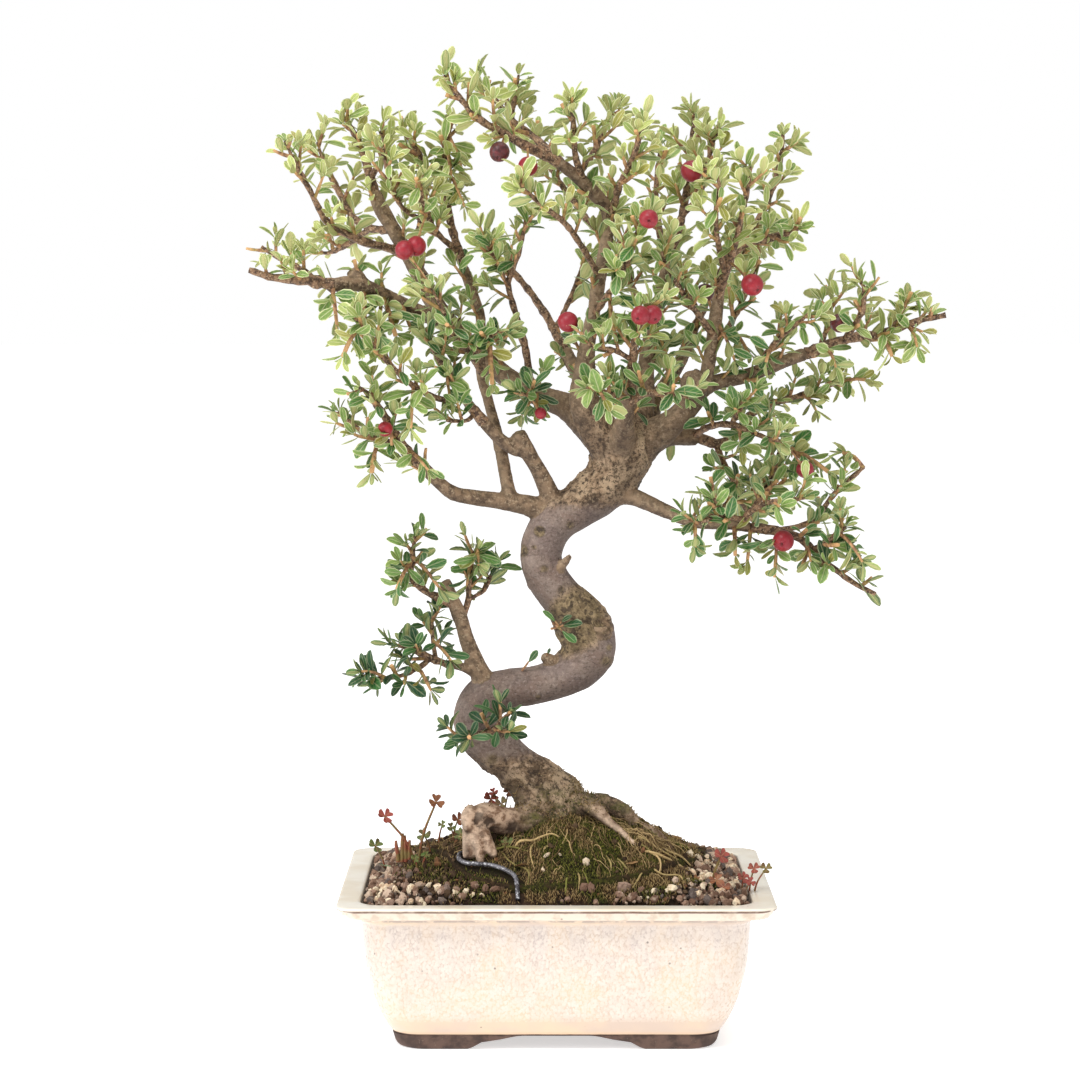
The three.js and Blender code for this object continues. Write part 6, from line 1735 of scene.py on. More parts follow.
def add_leaflets(shape, base, turn, size, green):
    """Three leaflets round a stalk's end, tipped towards the front: width grows to a notch at
    the far edge, and each is folded along its middle."""
    upper = unit(np.array([0.5 * np.sin(5 * turn), -0.75, 0.62]))
    right = unit(np.cross(upper, [0.0, 0.2, 1.0]))
    up = np.cross(right, upper)
    angle = (np.arange(3) * 2 * np.pi / 3 + turn)[:, None]
    forward = unit(np.cos(angle) * right + np.sin(angle) * up + 0.25 * upper)
    upper = unit(upper - forward * (forward @ upper)[:, None])
    side = np.cross(upper, forward)
    along = np.array([0.02, 0.25, 0.5, 0.72, 0.88, 0.97])
    half = np.array([0.05, 0.28, 0.46, 0.56, 0.52, 0.34])
    place = np.array([-1, -0.5, 0, 0.5, 1, 0.5, 0, -0.5])
    under = np.array([0, 0, 0, 0, 0, 1, 1, 1])
    notch = 0.16 * smooth_step(0.6, 1, along)[:, None] * (1 - np.abs(place)) ** 2
    x = (along[:, None] - notch) * size
    y = half[:, None] * place * size
    lift = 0.3 * np.abs(y) - 0.05 * x - 0.3 * under
    x, y, lift = (v[None, ..., None] for v in (x, y, lift))
    rings = (
        base + forward[:, None, None] * x + side[:, None, None] * y + upper[:, None, None] * lift
    )
    ends = np.stack([base - forward * 0.2, base + forward * 0.84 * size - upper * 0.4], axis=1)
    points = np.concatenate([rings.reshape(3, -1, 3), ends], axis=1)
    ramp = np.append(np.repeat(along, 8), [0, 1])[None]
    over = np.append(np.outer(half * 2, place), [0, 0])[None]
    below = np.append(np.tile(under, 6), [0, 0])[None]
    faces = [strip_faces(6, 8), end_faces(6, 8)]
    shape.add(points, faces, LEAF_FINISH, along=ramp, over=over, below=below, green=green)


def make_wire(name, finish):
    """A bare wire arched over the mound: a round tube on a smooth path whose ends are sunk."""
    x, y = np.array(WIRE_PLACES, float).T
    lift = np.full(len(x), 1.4)
    lift[[0, -1]] = -3
    path = even_path(np.stack([x, y, moss_height(x, y) + lift], -1), 1.0)[0]
    shape = Shape()
    add_tubes(shape, path, 1.0, 16, rough=0.03)
    return shape.make(name, [finish])


# Finishes


class Amount:
    """A number that varies over a surface. Sums, products and powers of these add the Math
    nodes that work them out."""

    def __init__(self, finish, socket):
        self.finish, self.socket = finish, socket

    def _math(self, operation, *values, clamp=False):
        settings = {"operation": operation, "use_clamp": clamp}
        return self.finish.node("ShaderNodeMath", settings, dict(enumerate(values)))

    def __add__(self, other):
        return self._math("ADD", self, other)

    __radd__ = __add__

    def __sub__(self, other):
        return self._math("SUBTRACT", self, other)

    def __rsub__(self, other):
        return self._math("SUBTRACT", other, self)

    def __mul__(self, other):
        return self._math("MULTIPLY", self, other)

    __rmul__ = __mul__

    def __truediv__(self, other):
        return self._math("DIVIDE", self, other)

    def size(self):
        """The amount without its sign."""
        return self._math("ABSOLUTE", self)

    def wave(self):
        """The sine, from -1 to 1."""
        return self._math("SINE", self)

    def clamp(self):
        """The amount kept between 0 and 1."""
        return self._math("ADD", self, 0.0, clamp=True)

    def step(self, low, high):
        """0 below `low`, 1 above `high` and a smooth rise between; the other way round when
        `low` is the larger."""
        first, last = (1.0, 0.0) if low > high else (0.0, 1.0)
        inputs = dict(enumerate((self, min(low, high), max(low, high), first, last)))
        settings = {"interpolation_type": "SMOOTHSTEP"}
        return self.finish.node("ShaderNodeMapRange", settings, inputs)


class Finish:
    """One material made of nodes. Patterns read Object coordinates and sizes are in mm."""

    def __init__(self, name):
        self.material = bpy.data.materials.new(name)
        self.material.use_nodes = True
        self.nodes = self.material.node_tree.nodes
        self.links = self.material.node_tree.links
        self.nodes.clear()
        self.place = self.node("ShaderNodeTexCoord", output="Object")

    def node(self, kind, settings=None, inputs=None, output=0):
        """Adds a node: its settings first, then the values or links of its sockets."""
        node = self.nodes.new(kind)
        for key, value in (settings or {}).items():
            setattr(node, key, value)
        for key, value in (inputs or {}).items():
            socket = node.inputs[key]
            if isinstance(value, Amount):
                self.links.new(value.socket, socket)
            elif isinstance(value, (tuple, list)) and len(value) == 3 and socket.type == "RGBA":
                socket.default_value = (*value, 1)
            else:
                socket.default_value = value
        return Amount(self, node.outputs[output]) if node.outputs else None

    def mask(self, name):
        """The number that the surface carries under a name."""
        return self.node("ShaderNodeAttribute", {"attribute_name": name}, output="Fac")

    def masks(self, names):
        """Several masks, for their names in one text."""
        return [self.mask(name) for name in names.split()]

    def part(self, axis):
        """A coordinate in mm from the middle of the pot's underside."""
        number = "XYZ".index(axis)
        at = self.node("ShaderNodeSeparateXYZ", {}, {0: self.place}, number)
        return at * (1 / MM) - float(POT_MIDDLE[number])

    def noise(self, size, detail=3.0, roughness=0.55, stretch=(1, 1, 1), twist=0.0, shift=0.0):
        """Cloudy noise from 0 to 1 with features about `size` mm."""
        mapping = {"Vector": self.place, "Scale": stretch, "Location": (shift, 0, 0)}
        vector = self.node("ShaderNodeMapping", {}, mapping)
        inputs = {
            "Vector": vector, "Scale": 1 / (size * MM), "Detail": detail, "Roughness": roughness,
            "Distortion": twist,
        }
        return self.node("ShaderNodeTexNoise", {}, inputs)

    def cells(self, size, warp, stretch=(1, 1, 1)):
        """Cells about `size` mm wide: the distance to the middle of the nearest."""
        vector = self.node("ShaderNodeVectorMath", {"operation": "ADD"}, {0: self.place, 1: warp})
        vector = self.node("ShaderNodeMapping", {}, {"Vector": vector, "Scale": stretch})
        inputs = {"Vector": vector, "Scale": 1 / (size * MM)}
        return self.node("ShaderNodeTexVoronoi", {"feature": "F1"}, inputs, "Distance")

    def jitter(self, size, reach):
        """A small random shift of place, in metres, that makes a pattern's edges uneven."""
        inputs = {"Vector": self.place, "Scale": 1 / (size * MM)}
        cloud = self.node("ShaderNodeTexNoise", {}, inputs, "Color")
        inputs = {0: cloud, 1: (0.5, 0.5, 0.5)}
        centred = self.node("ShaderNodeVectorMath", {"operation": "SUBTRACT"}, inputs)
        inputs = {0: centred, "Scale": reach * MM}
        return self.node("ShaderNodeVectorMath", {"operation": "SCALE"}, inputs)

    def mix(self, first, second, share):
        """The colour at a share of the way from the first to the second."""
        settings = {"data_type": "RGBA", "blend_type": "MIX"}
        return self.node("ShaderNodeMix", settings, {0: share, 6: first, 7: second}, 2)

    def coat(self, colour, *layers):
        """A colour with others laid over it in turn, each as (colour, share)."""
        for above, share in layers:
            colour = self.mix(colour, above, share)
        return colour

    def bump(self, height, depth, strength):
        """Relief from a height of 0 to 1 that stands `depth` mm."""
        inputs = {"Height": height, "Distance": depth * MM, "Strength": strength}
        return self.node("ShaderNodeBump", {}, inputs)

    def surface(self, colour, roughness, specular, **others):
        """The shader itself: its main inputs, and others under their own names."""
        inputs = {"Base Color": colour, "Roughness": roughness, "Specular IOR Level": specular}
        inputs.update({key.replace("_", " "): value for key, value in others.items()})
        shader = self.node("ShaderNodeBsdfPrincipled", {}, inputs)
        self.node("ShaderNodeOutputMaterial", {}, {"Surface": shader})
        return self.material


def srgb(red, green, blue):
    """A colour as the eye names it, 0 to 255 each, to the light that it sends back."""
    values = np.array([red, green, blue]) / 255
    bright = ((values + 0.055) / 1.055) ** 2.4
    return tuple(np.where(values < 0.04045, values / 12.92, bright).tolist())


def bark_finish(sizes):
    """Trunk and limbs: grey-tan and smooth, mottled and finely wrinkled, with painted light on
    faces turned up and to the front left and painted shade on undersides; browner where rough,
    with dark furrows and pale crests that are partly painted shade and painted highlight; mossy
    low down; bone-pale where roots are bare; dark at scars, partly painted shade in the burr's
    folds."""
    f = Finish("bark")
    rough, limb, under, scar = f.masks("rough limb under scar")
    pale, relief, lit, moss = f.masks("pale relief lit moss")
    height = f.part("Z")
    cloud, fine, grain = f.noise(9, 5, 0.6), f.noise(2.2, 4, 0.65), f.noise(0.8, 3, 0.6)
    smooth = f.coat(
        tuple(sizes.bark_colour),
        (srgb(134, 117, 106), cloud.step(0.42, 0.62)),
        (srgb(84, 72, 66), fine.step(0.5, 0.72) * 0.8),
        (srgb(110, 96, 92), f.noise(17, 2, shift=1.0).step(0.45, 0.65) * 0.5),
    )
    wrinkles = f.noise(1.7, 3, 0.6, stretch=(0.5, 0.5, 2.4), twist=0.6)
    smooth = f.mix(smooth, srgb(76, 63, 55), wrinkles.step(0.55, 0.68) * 0.55)
    speck = f.noise(1.3, 2, 0.7, shift=6.0)
    smooth = f.coat(
        smooth,
        (srgb(66, 54, 47), speck.step(0.56, 0.66) * 0.6),
        (srgb(172, 156, 145), speck.step(0.44, 0.34) * 0.4),
        # painted light on faces turned up and to the front left
        (srgb(172, 155, 145), lit * (0.3 + 0.5 * cloud.step(0.4, 0.6)) * 0.45),
    )
    old = f.coat(
        srgb(144, 118, 92),
        (srgb(94, 75, 57), f.noise(4.5, 5, 0.65).step(0.38, 0.62)),
        # pale crests and dark furrows follow the relief: real weathering, partly painted highlight
        # on the crests and painted shade in the furrows
        (srgb(180, 155, 126), (relief * 0.6 + fine * 1.2).step(0.75, 1.45) * 0.8),
        (srgb(48, 36, 27), (relief * -0.8 + grain * 0.5).step(0.2, 0.85) * 0.9),
        # painted highlight on faces turned up and to the front left
        (srgb(198, 174, 144), lit * fine.step(0.45, 0.6) * 0.25),
        (srgb(58, 46, 34), speck.step(0.53, 0.6) * 0.75),
        (srgb(172, 150, 122), speck.step(0.43, 0.36) * 0.45),
    )
    lumpy = f.noise(3, 4, 0.68, shift=12.0)
    old = f.coat(
        old,
        # dark hollows between the bark's lumps as painted shade, and pale lump tops as painted
        # highlight, stronger low down
        (srgb(46, 35, 27), lumpy.step(0.46, 0.37) * 0.8),
        (srgb(196, 168, 140), lumpy.step(0.56, 0.67) * (height.step(160, 120) * 0.35 + 0.4)),
    )
    colour = f.mix(smooth, old, (rough + 0.3 * fine - 0.15).step(0.25, 0.6))
    dark = f.coat(
        srgb(144, 119, 94),
        (srgb(92, 74, 58), f.noise(3.2, 4).step(0.4, 0.62)),
        (srgb(176, 154, 126), (fine * f.noise(0.9, 2)).step(0.26, 0.36) * 0.7),
        # painted light on the limbs' faces turned up and to the front left
        (srgb(168, 146, 120), lit * 0.45),
    )
    colour = f.mix(colour, dark, limb * height.step(120, 140))
    green = f.noise(7, 4, 0.65, shift=3.0).step(0.42, 0.58) * moss
    cushion = f.mix(srgb(96, 94, 44), srgb(54, 52, 24), fine.step(0.4, 0.6))
    colour = f.mix(colour, cushion, green * 0.75)
    bone = f.coat(
        srgb(198, 168, 142),
        (srgb(122, 92, 70), f.noise(3.6, 5, 0.68).step(0.42, 0.6)),
        # dark crevices in the pale roots, partly painted shade
        (srgb(54, 39, 28), (relief * -0.8 + fine * 0.9).step(0.3, 0.75) * 0.9),
        # painted light on the pale roots' faces turned up and to the front left
        (srgb(232, 208, 184), lit * 0.4),
    )
    colour = f.mix(colour, bone, pale)
    folds = f.noise(5, 5, 0.65, twist=1.5, shift=9.0)
    burr = f.mix(srgb(150, 130, 96), srgb(96, 80, 56), fine.step(0.4, 0.62))
    # dark lines in the burr's folds, which the bump sinks: partly painted shade
    burr = f.mix(burr, srgb(36, 27, 20), folds.step(0.5, 0.57) * 0.85)
    knot = scar.step(0.2, 0.55)
    colour = f.coat(
        colour,
        (burr, knot * 0.85),
        # painted shade on the undersides
        (srgb(56, 46, 41), under * 0.55),
    )
    coarse = rough * lumpy * 2.5 - knot * folds * 4.0
    relief_fine = f.bump(grain * 0.5 + fine * 1.2 + wrinkles * 0.8 + coarse, 0.6, 0.8)
    return f.surface(colour, 0.62 + 0.2 * fine, 0.3, Normal=relief_fine)


def twig_finish():
    """Twigs: mid brown, blotched darker and speckled pale; young shoots golden brown with
    green patches, and pale orange-tan towards their tips."""
    f = Finish("twig_bark")
    old, tip = f.masks("bark tip")
    spots, fine = f.noise(1.9, 3), f.noise(0.9, 2)
    wood = f.coat(
        srgb(142, 110, 84),
        (srgb(74, 54, 41), spots.step(0.4, 0.6)),
        (srgb(204, 176, 142), fine.step(0.54, 0.7) * 0.7),
    )
    young = f.coat(
        srgb(190, 146, 104),
        (srgb(124, 88, 62), spots.step(0.35, 0.65)),
        (srgb(160, 146, 70), f.noise(6, 2, shift=2.0).step(0.5, 0.65) * 0.5),
        (srgb(218, 170, 118), tip.step(0.55, 1.0) * 0.8),
    )
    colour = f.mix(young, wood, old)
    return f.surface(colour, 0.5 + 0.25 * fine, 0.35, Normal=f.bump(fine + spots, 0.3, 0.7))


def leaf_finish(sizes):
    """Leaves: painted shade, dark glossy green, low down and inside the crown, and painted light,
    light yellow-green, at its outer top and towards the tips, each its own tone and a few of them
    amber; a pale midrib, faint side veins and a cream edge that show more where the painted light
    is, and a paler duller underside that is lighter with it too."""
    f = Finish("leaf")
    along, over, below, tone = f.masks("along over below tone")
    light, fresh, rim = f.masks("light fresh rim")
    # shade mixes painted light, dark inside the crown and light at its outer top, with each leaf's
    # own tone and youth
    shade = (light * 0.85 + tone * 0.5 - 0.28 + fresh * 0.12).clamp()
    colour = f.coat(
        srgb(24, 68, 40),
        (srgb(62, 112, 56), shade.step(0.0, 0.36)),
        (tuple(sizes.leaf_colour), shade.step(0.3, 0.66)),
        (srgb(196, 202, 122), shade.step(0.66, 1.05) * 0.8),
        (srgb(170, 142, 52), (tone * 37.0).wave().step(0.86, 1.0) * 0.5),
    )
    blotch, side = f.noise(4.5, 3), over.size()
    veins = (along * 30.0 - side * 14.0).wave() * 0.5 + 0.5
    veins = veins * side.step(0.05, 0.2) * rim.step(0.95, 0.7)
    rib = side.step(0.15, 0.03) * along.step(1.05, 0.75)
    edge = rim.step(0.66, 0.92) * along.step(0.1, 0.35)
    # the midrib and the cream edge show more where the painted light is high: partly painted
    # highlight
    cream = rib * (light * 0.25 + 0.2) + edge * (light * 0.65 + 0.18)
    colour = f.coat(
        colour,
        (srgb(52, 92, 50), blotch.step(0.52, 0.7) * 0.4),
        # side veins show more where the painted light is high
        (srgb(188, 198, 104), veins.step(0.7, 1.0) * (light * 0.25 + 0.08)),
        (srgb(242, 240, 190), cream.clamp()),
    )
    # the underside lighter where the painted light is high, darker as painted shade inside
    back = f.mix(srgb(130, 144, 94), srgb(194, 194, 132), (light + tone * 0.4 - 0.2).clamp())
    back = f.mix(back, srgb(206, 200, 134), rib * 0.6)
    colour = f.mix(colour, back, below.step(0.25, 0.6))
    height = veins * -0.3 - rib * 0.9 + blotch * 0.3
    gloss = 0.36 + 0.12 * blotch + below.step(0.25, 0.6) * 0.3
    return f.surface(colour, gloss, 0.34, Normal=f.bump(height, 0.4, 0.6))


def berry_finish(sizes):
    """Berries: crimson with a soft bloom, darker and duller when old, with a brown calyx."""
    f = Finish("berry_skin")
    star, dark, ripe = f.masks("star dark ripe")
    cloud = f.noise(2.6, 3)
    fresh = (cloud + ripe * 0.3 - 0.15).step(0.4, 0.7) * 0.7
    red = f.mix(tuple(sizes.berry_colour), srgb(160, 22, 38), fresh)
    maroon = f.mix(srgb(92, 26, 28), srgb(62, 18, 22), cloud.step(0.4, 0.6))
    colour = f.mix(red, maroon, dark)
    bloom = f.noise(1.1, 2, shift=5.0).step(0.5, 0.75)
    colour = f.coat(
        colour,
        (srgb(206, 110, 120), bloom * 0.12),
        (srgb(70, 38, 26), star.step(0.4, 0.85) * 0.85),
    )
    return f.surface(
        colour, 0.36 + 0.16 * cloud, 0.5, Normal=f.bump(f.noise(0.8, 2), 0.1, 0.35),
        Sheen_Weight=0.08, Sheen_Roughness=0.5, Subsurface_Weight=0.05,
        Subsurface_Radius=(0.004, 0.001, 0.001),
    )


def glaze_finish(sizes):
    """Pot: a white glaze that crawled into beads over a peach ground, greyer up the wall and
    clear of beads in a band above the feet; the rim's top palest as painted light, its collar
    and outer lip a darker cream as painted shade, with a painted shadow in the collar's groove;
    a line of bare clay at the rim's arris, darker grey on the inner wall, dark specks, and raw
    brown clay on the feet and underneath."""
    f = Finish("crackled_glaze")
    x, y, z = (f.part(axis) for axis in "XYZ")
    warp = f.jitter(5, 0.8)
    beads = f.cells(1.35, warp=warp, stretch=(1, 1, 0.75))
    small = f.cells(0.8, warp=warp, stretch=(1, 1, 0.75))
    wide, blot = f.noise(24, 3), f.noise(6, 4, 0.6, shift=2.0)
    rise = z.step(12, 17) * z.step(58.5, 55)
    streak = f.noise(6, 3, stretch=(1, 1, 0.35))
    size = 0.5 + 0.12 * wide
    bead = (beads - size).step(0.1, -0.08)
    fine = (small - size).step(0.12, -0.05)
    bead = (bead * 0.7 + fine * 0.45).clamp() * rise
    ground = f.mix(srgb(222, 199, 172), tuple(sizes.glaze_ground), wide.step(0.35, 0.65))
    grey = z.step(26, 54) * (0.35 + 0.65 * streak.step(0.4, 0.62)) * z.step(59, 56)
    ground = f.mix(ground, srgb(192, 181, 178), grey * 0.75)
    colour = f.mix(ground, tuple(sizes.glaze_colour), bead * (0.65 + 0.25 * blot.step(0.4, 0.6)))
    smooth = z.step(58, 61)
    # the rim's top in the palest cream as painted light; its collar and outer lip in a darker
    # cream as painted shade
    cream = f.mix(srgb(254, 246, 230), srgb(244, 230, 206), wide.step(0.4, 0.65))
    shaded_lip = f.mix(srgb(226, 211, 194), srgb(206, 188, 168), blot.step(0.45, 0.62))
    cream = f.mix(shaded_lip, cream, z.step(64.6, 65.6))
    colour = f.mix(colour, cream, smooth)
    # painted shadow, in patches, along the collar's groove under the rim
    collar_groove_shadow = (z - 59.4 + 0.8 * streak - 0.4).size().step(1.3, 0.2)
    collar_groove_shadow = collar_groove_shadow * f.noise(3.4, 3).step(0.35, 0.55)
    colour = f.mix(colour, srgb(158, 144, 138), collar_groove_shadow * 0.8)
    arris = (z - 64.55 + 0.5 * f.noise(12, 2) - 0.25).size().step(0.85, 0.25)
    is_out = ((x.size() / RIM_X).step(0.975, 0.985) + (y.size() / RIM_Y).step(0.97, 0.98)).clamp()
    worn = f.noise(9, 4, 0.65, shift=1.0).step(0.38, 0.55)
    colour = f.mix(colour, srgb(104, 74, 56), arris * is_out * (0.72 + 0.28 * worn))
    specks = f.cells(6.5, warp=warp).step(0.1, 0.05) * f.noise(15, 2, shift=4.0).step(0.5, 0.6)
    colour = f.mix(colour, srgb(110, 96, 88), specks * 0.8)
    stain = f.noise(5, 4, 0.7, shift=7.0).step(0.66, 0.78) * z.step(30, 12)
    colour = f.mix(colour, srgb(168, 140, 110), stain * 0.5)
    inner = f.mask("inner")
    # darker grey-brown on the inner wall above the soil
    inner_wall_grey = f.mix(srgb(150, 138, 126), srgb(96, 84, 72), f.noise(3, 4, 0.65).step(0.4, 0.62))
    colour = f.mix(colour, inner_wall_grey, inner * z.step(66.4, 64.6))
    line = z - 6.9 - 0.5 * f.noise(10, 3)
    raw = line.step(0.35, -0.05)
    clay = f.mix(srgb(98, 76, 66), srgb(66, 50, 44), f.noise(6, 4, 0.6).step(0.38, 0.62))
    clay = f.mix(clay, srgb(140, 118, 104), f.noise(1.5, 3).step(0.62, 0.76) * 0.5)
    colour = f.mix(colour, clay, raw)
    drip = line.step(-0.2, 0.3) * line.step(1.6, 0.6)
    colour = f.mix(colour, srgb(222, 188, 150), drip * 0.6)
    relief = bead * 0.8 + f.noise(9, 3) * 0.6 + raw * (f.noise(1.1, 3) - 0.5) * 0.6
    wall = raw + inner
    return f.surface(
        colour, (0.26 + 0.08 * bead + 0.5 * wall).clamp(), 0.45, Normal=f.bump(relief, 0.22, 0.6),
        Coat_Weight=((1 - wall) * 0.35).clamp(), Coat_Roughness=0.12,
    )


def grit_finish(sizes):
    """Grit: grey-brown to red-brown stones, cream where they are pumice, dusted and pitted."""
    f = Finish("grit")
    tone, pale = f.masks("tone pale")
    fine, cloud = f.noise(1.1, 4, 0.65), f.noise(3.5, 3)
    stone = f.coat(
        tuple(sizes.grit_colour),
        (srgb(168, 136, 116), tone.step(0.2, 0.55)),
        (srgb(104, 92, 86), tone.step(0.55, 0.6) * tone.step(0.8, 0.75)),
        (srgb(204, 178, 156), tone.step(0.78, 0.86)),
    )
    cream = f.mix(srgb(244, 226, 196), srgb(214, 178, 142), cloud.step(0.42, 0.64))
    stone = f.coat(
        stone,
        (cream, pale),
        (srgb(66, 50, 38), fine.step(0.52, 0.7) * 0.7),
        (srgb(214, 194, 172), cloud.step(0.54, 0.68) * 0.45),
    )
    return f.surface(stone, 0.78 + 0.15 * fine, 0.25, Normal=f.bump(fine + 0.5 * cloud, 0.4, 0.8))


def soil_finish():
    """Soil between the stones: dark brown crumbs."""
    f = Finish("soil")
    fine, cloud = f.noise(1.4, 4, 0.7), f.noise(6, 3)
    colour = f.mix(srgb(72, 54, 40), srgb(40, 30, 22), cloud.step(0.4, 0.62))
    colour = f.mix(colour, srgb(120, 94, 70), fine.step(0.58, 0.72) * 0.8)
    return f.surface(colour, 0.85 + 0.1 * fine, 0.2, Normal=f.bump(fine + cloud, 0.8, 0.9))


def peat_finish():
    """Peat: near-black brown to grey-brown crumbs with a few rusty ones."""
    f = Finish("peat")
    tone, fine = f.mask("tone"), f.noise(1, 3, 0.65)
    colour = f.coat(
        srgb(58, 42, 30),
        (srgb(98, 78, 58), tone.step(0.3, 0.8)),
        (srgb(126, 88, 60), tone.step(0.9, 0.94)),
        (srgb(40, 30, 22), fine.step(0.5, 0.68) * 0.7),
    )
    return f.surface(colour, 0.82 + 0.12 * fine, 0.2, Normal=f.bump(fine, 0.5, 0.8))


def moss_finish(sizes):
    """Moss skin: dark green with brown peat showing between the cushions, more on the left, and
    near-black painted shade in the hollows between the cushions and on the mound's skirt.
    """
    f = Finish("moss_bed")
    x, low = f.part("X"), f.mask("low")
    fine, cloud, wide = f.noise(1.2, 4, 0.65), f.noise(5, 4, 0.6), f.noise(15, 3)
    green = f.mix(srgb(40, 38, 14), tuple(sizes.moss_colour), fine.step(0.4, 0.66))
    peat = f.mix(srgb(86, 66, 44), srgb(44, 32, 20), fine.step(0.36, 0.62))
    bare = (wide + cloud * 0.6 + x.step(10, -50) * 0.2 + x.step(20, 50) * 0.12).step(0.82, 0.98)
    colour = f.mix(green, peat, bare)
    # near-black painted shade in the hollows and on the skirt
    colour = f.mix(colour, srgb(28, 22, 13), low * 0.8)
    return f.surface(colour, 0.85 + 0.1 * fine, 0.2, Normal=f.bump(fine + cloud, 0.9, 0.9))


def tuft_finish(sizes):
    """Moss spikes: dark at the foot and yellow-green at the tip, straw-coloured in patches."""
    f = Finish("moss_tufts")
    tip, tone, patch = f.masks("tip tone patch")
    x = f.part("X")
    green = f.mix(srgb(36, 38, 12), tuple(sizes.moss_colour), tip.step(0.1, 0.9))
    green = f.mix(green, srgb(170, 168, 72), tip.step(0.3, 1.0) * tone.step(0.45, 0.85) * 0.9)
    straw = f.mix(srgb(100, 76, 46), srgb(212, 182, 126), tip * tone)
    dry = (patch + x.step(10, -50) * 0.35 + x.step(16, 50) * 0.4 + tone * 0.4).step(0.18, 0.55)
    colour = f.mix(green, straw, dry)
    return f.surface(colour, 0.7 + 0.2 * tone, 0.25)


def root_finish():
    """Fine surface roots: straw to tan, darker in patches."""
    f = Finish("fine_roots")
    tone, green, cloud = f.mask("tone"), f.mask("green"), f.noise(3, 3)
    pale = (cloud * 0.6 + tone * 0.7 - 0.15).step(0.3, 0.85)
    colour = f.mix(srgb(98, 76, 46), srgb(202, 172, 122), pale)
    colour = f.mix(colour, srgb(128, 132, 58), green * 0.8)
    return f.surface(colour, 0.6 + 0.2 * cloud, 0.3, Normal=f.bump(cloud, 0.15, 0.5))


def weed_finish():
    """Weed leaves: red to bronze or green, blotched darker, with a pale rib, duller underneath."""
    f = Finish("weed_leaf")
    over, below, green = f.masks("over below green")
    cloud = f.noise(3, 3)
    colour = f.coat(
        srgb(158, 74, 66),
        (srgb(146, 96, 62), green.step(0.05, 0.35)),
        (srgb(104, 118, 62), green.step(0.4, 0.75)),
        (srgb(92, 50, 38), cloud.step(0.45, 0.65) * 0.6),
    )
    rib = over.size().step(0.12, 0.03)
    colour = f.coat(
        colour,
        (srgb(176, 130, 96), rib * 0.6),
        (srgb(150, 112, 84), below.step(0.4, 0.8) * 0.7),
    )
    return f.surface(colour, 0.45 + 0.2 * cloud, 0.35, Normal=f.bump(cloud - rib * 0.5, 0.2, 0.4))


def weed_stalk_finish():
    """Weed stalks: red-brown, greener towards the leaves."""
    f = Finish("weed_stalk")
    cloud = f.noise(4, 2)
    colour = f.mix(srgb(140, 76, 54), srgb(128, 108, 62), cloud.step(0.4, 0.62))
    return f.surface(colour, 0.5 + 0.1 * cloud, 0.35)


def litter_finish():
    """Fallen leaves: tan and brown, or still grey-green, with a pale rib."""
    f = Finish("fallen_leaf")
    green, over, cloud = f.mask("green"), f.mask("over"), f.noise(4, 3)
    dry = f.mix(srgb(170, 128, 84), srgb(110, 76, 48), cloud.step(0.4, 0.64))
    live = f.mix(srgb(96, 122, 56), srgb(142, 156, 120), green.step(0.8, 0.4))
    colour = f.mix(dry, live, green.step(0.25, 0.35))
    rib = over.size().step(0.12, 0.03)
    colour = f.mix(colour, srgb(206, 190, 140), rib * 0.5)
    return f.surface(colour, 0.55 + 0.2 * cloud, 0.3, Normal=f.bump(cloud, 0.3, 0.5))


def wire_finish():
    """Wire: dull blue-grey aluminium, dirty in patches, with bright scratches that are partly a
    painted highlight.
    """
    f = Finish("dull_wire")
    cloud, fine = f.noise(5, 4, 0.65), f.noise(1, 3, 0.6)
    colour = f.mix(srgb(122, 120, 126), srgb(66, 62, 66), cloud.step(0.4, 0.62))
    # bright scratches, partly a painted highlight
    colour = f.mix(colour, srgb(228, 228, 232), fine.step(0.54, 0.66) * 0.75)
    return f.surface(
        colour, 0.38 + 0.25 * cloud, 0.5, Metallic=0.55, Normal=f.bump(fine, 0.12, 0.5),
    )


def floor_finish():
    """Floor: even near-white paper with the faintest cloud, a little bright by itself."""
    f = Finish("studio_paper")
    colour = f.mix(srgb(252, 251, 251), srgb(250, 249, 249), f.noise(300, 2))
    return f.surface(
        colour, 0.9, 0.1, Emission_Color=(1, 1, 1, 1), Emission_Strength=PAPER_GLOW,
    )


# Add-on


class TreeSettings(bpy.types.PropertyGroup):
    """Sizes and colours of the tree."""

    leaf_scale: bpy.props.FloatProperty(
        name="Leaf size", description="Length of every leaf as a share of its own", default=1.0,
        min=0.6, max=1.3, subtype="FACTOR",
    )
    shoot_spacing: bpy.props.FloatProperty(
        name="Shoot spacing", description="Distance between side shoots of a twig, in mm",
        default=5.2, min=4, max=20,
    )
    spur_spacing: bpy.props.FloatProperty(
        name="Spur spacing", description="Distance between leafy spurs of a limb, in mm",
        default=9.0, min=5, max=30,
    )
    bark_voxel: bpy.props.FloatProperty(
        name="Bark detail", description="Width of the faces of the wood's skin, in mm",
        default=0.95, min=0.6, max=3,
    )
    berry_scale: bpy.props.FloatProperty(
        name="Berry size", description="Radius of every berry as a share of its own", default=1.0,
        min=0.6, max=1.2, subtype="FACTOR",
    )
    leaf_colour: bpy.props.FloatVectorProperty(
        name="Leaf", description="Colour of a full-grown leaf in the light", subtype="COLOR",
        default=srgb(120, 150, 76), min=0, max=1,
    )
    berry_colour: bpy.props.FloatVectorProperty(
        name="Berry", description="Colour of a ripe berry", subtype="COLOR",
        default=srgb(136, 8, 30), min=0, max=1,
    )
    bark_colour: bpy.props.FloatVectorProperty(
        name="Bark", description="Colour of the smooth bark", subtype="COLOR",
        default=srgb(124, 104, 93), min=0, max=1,
    )


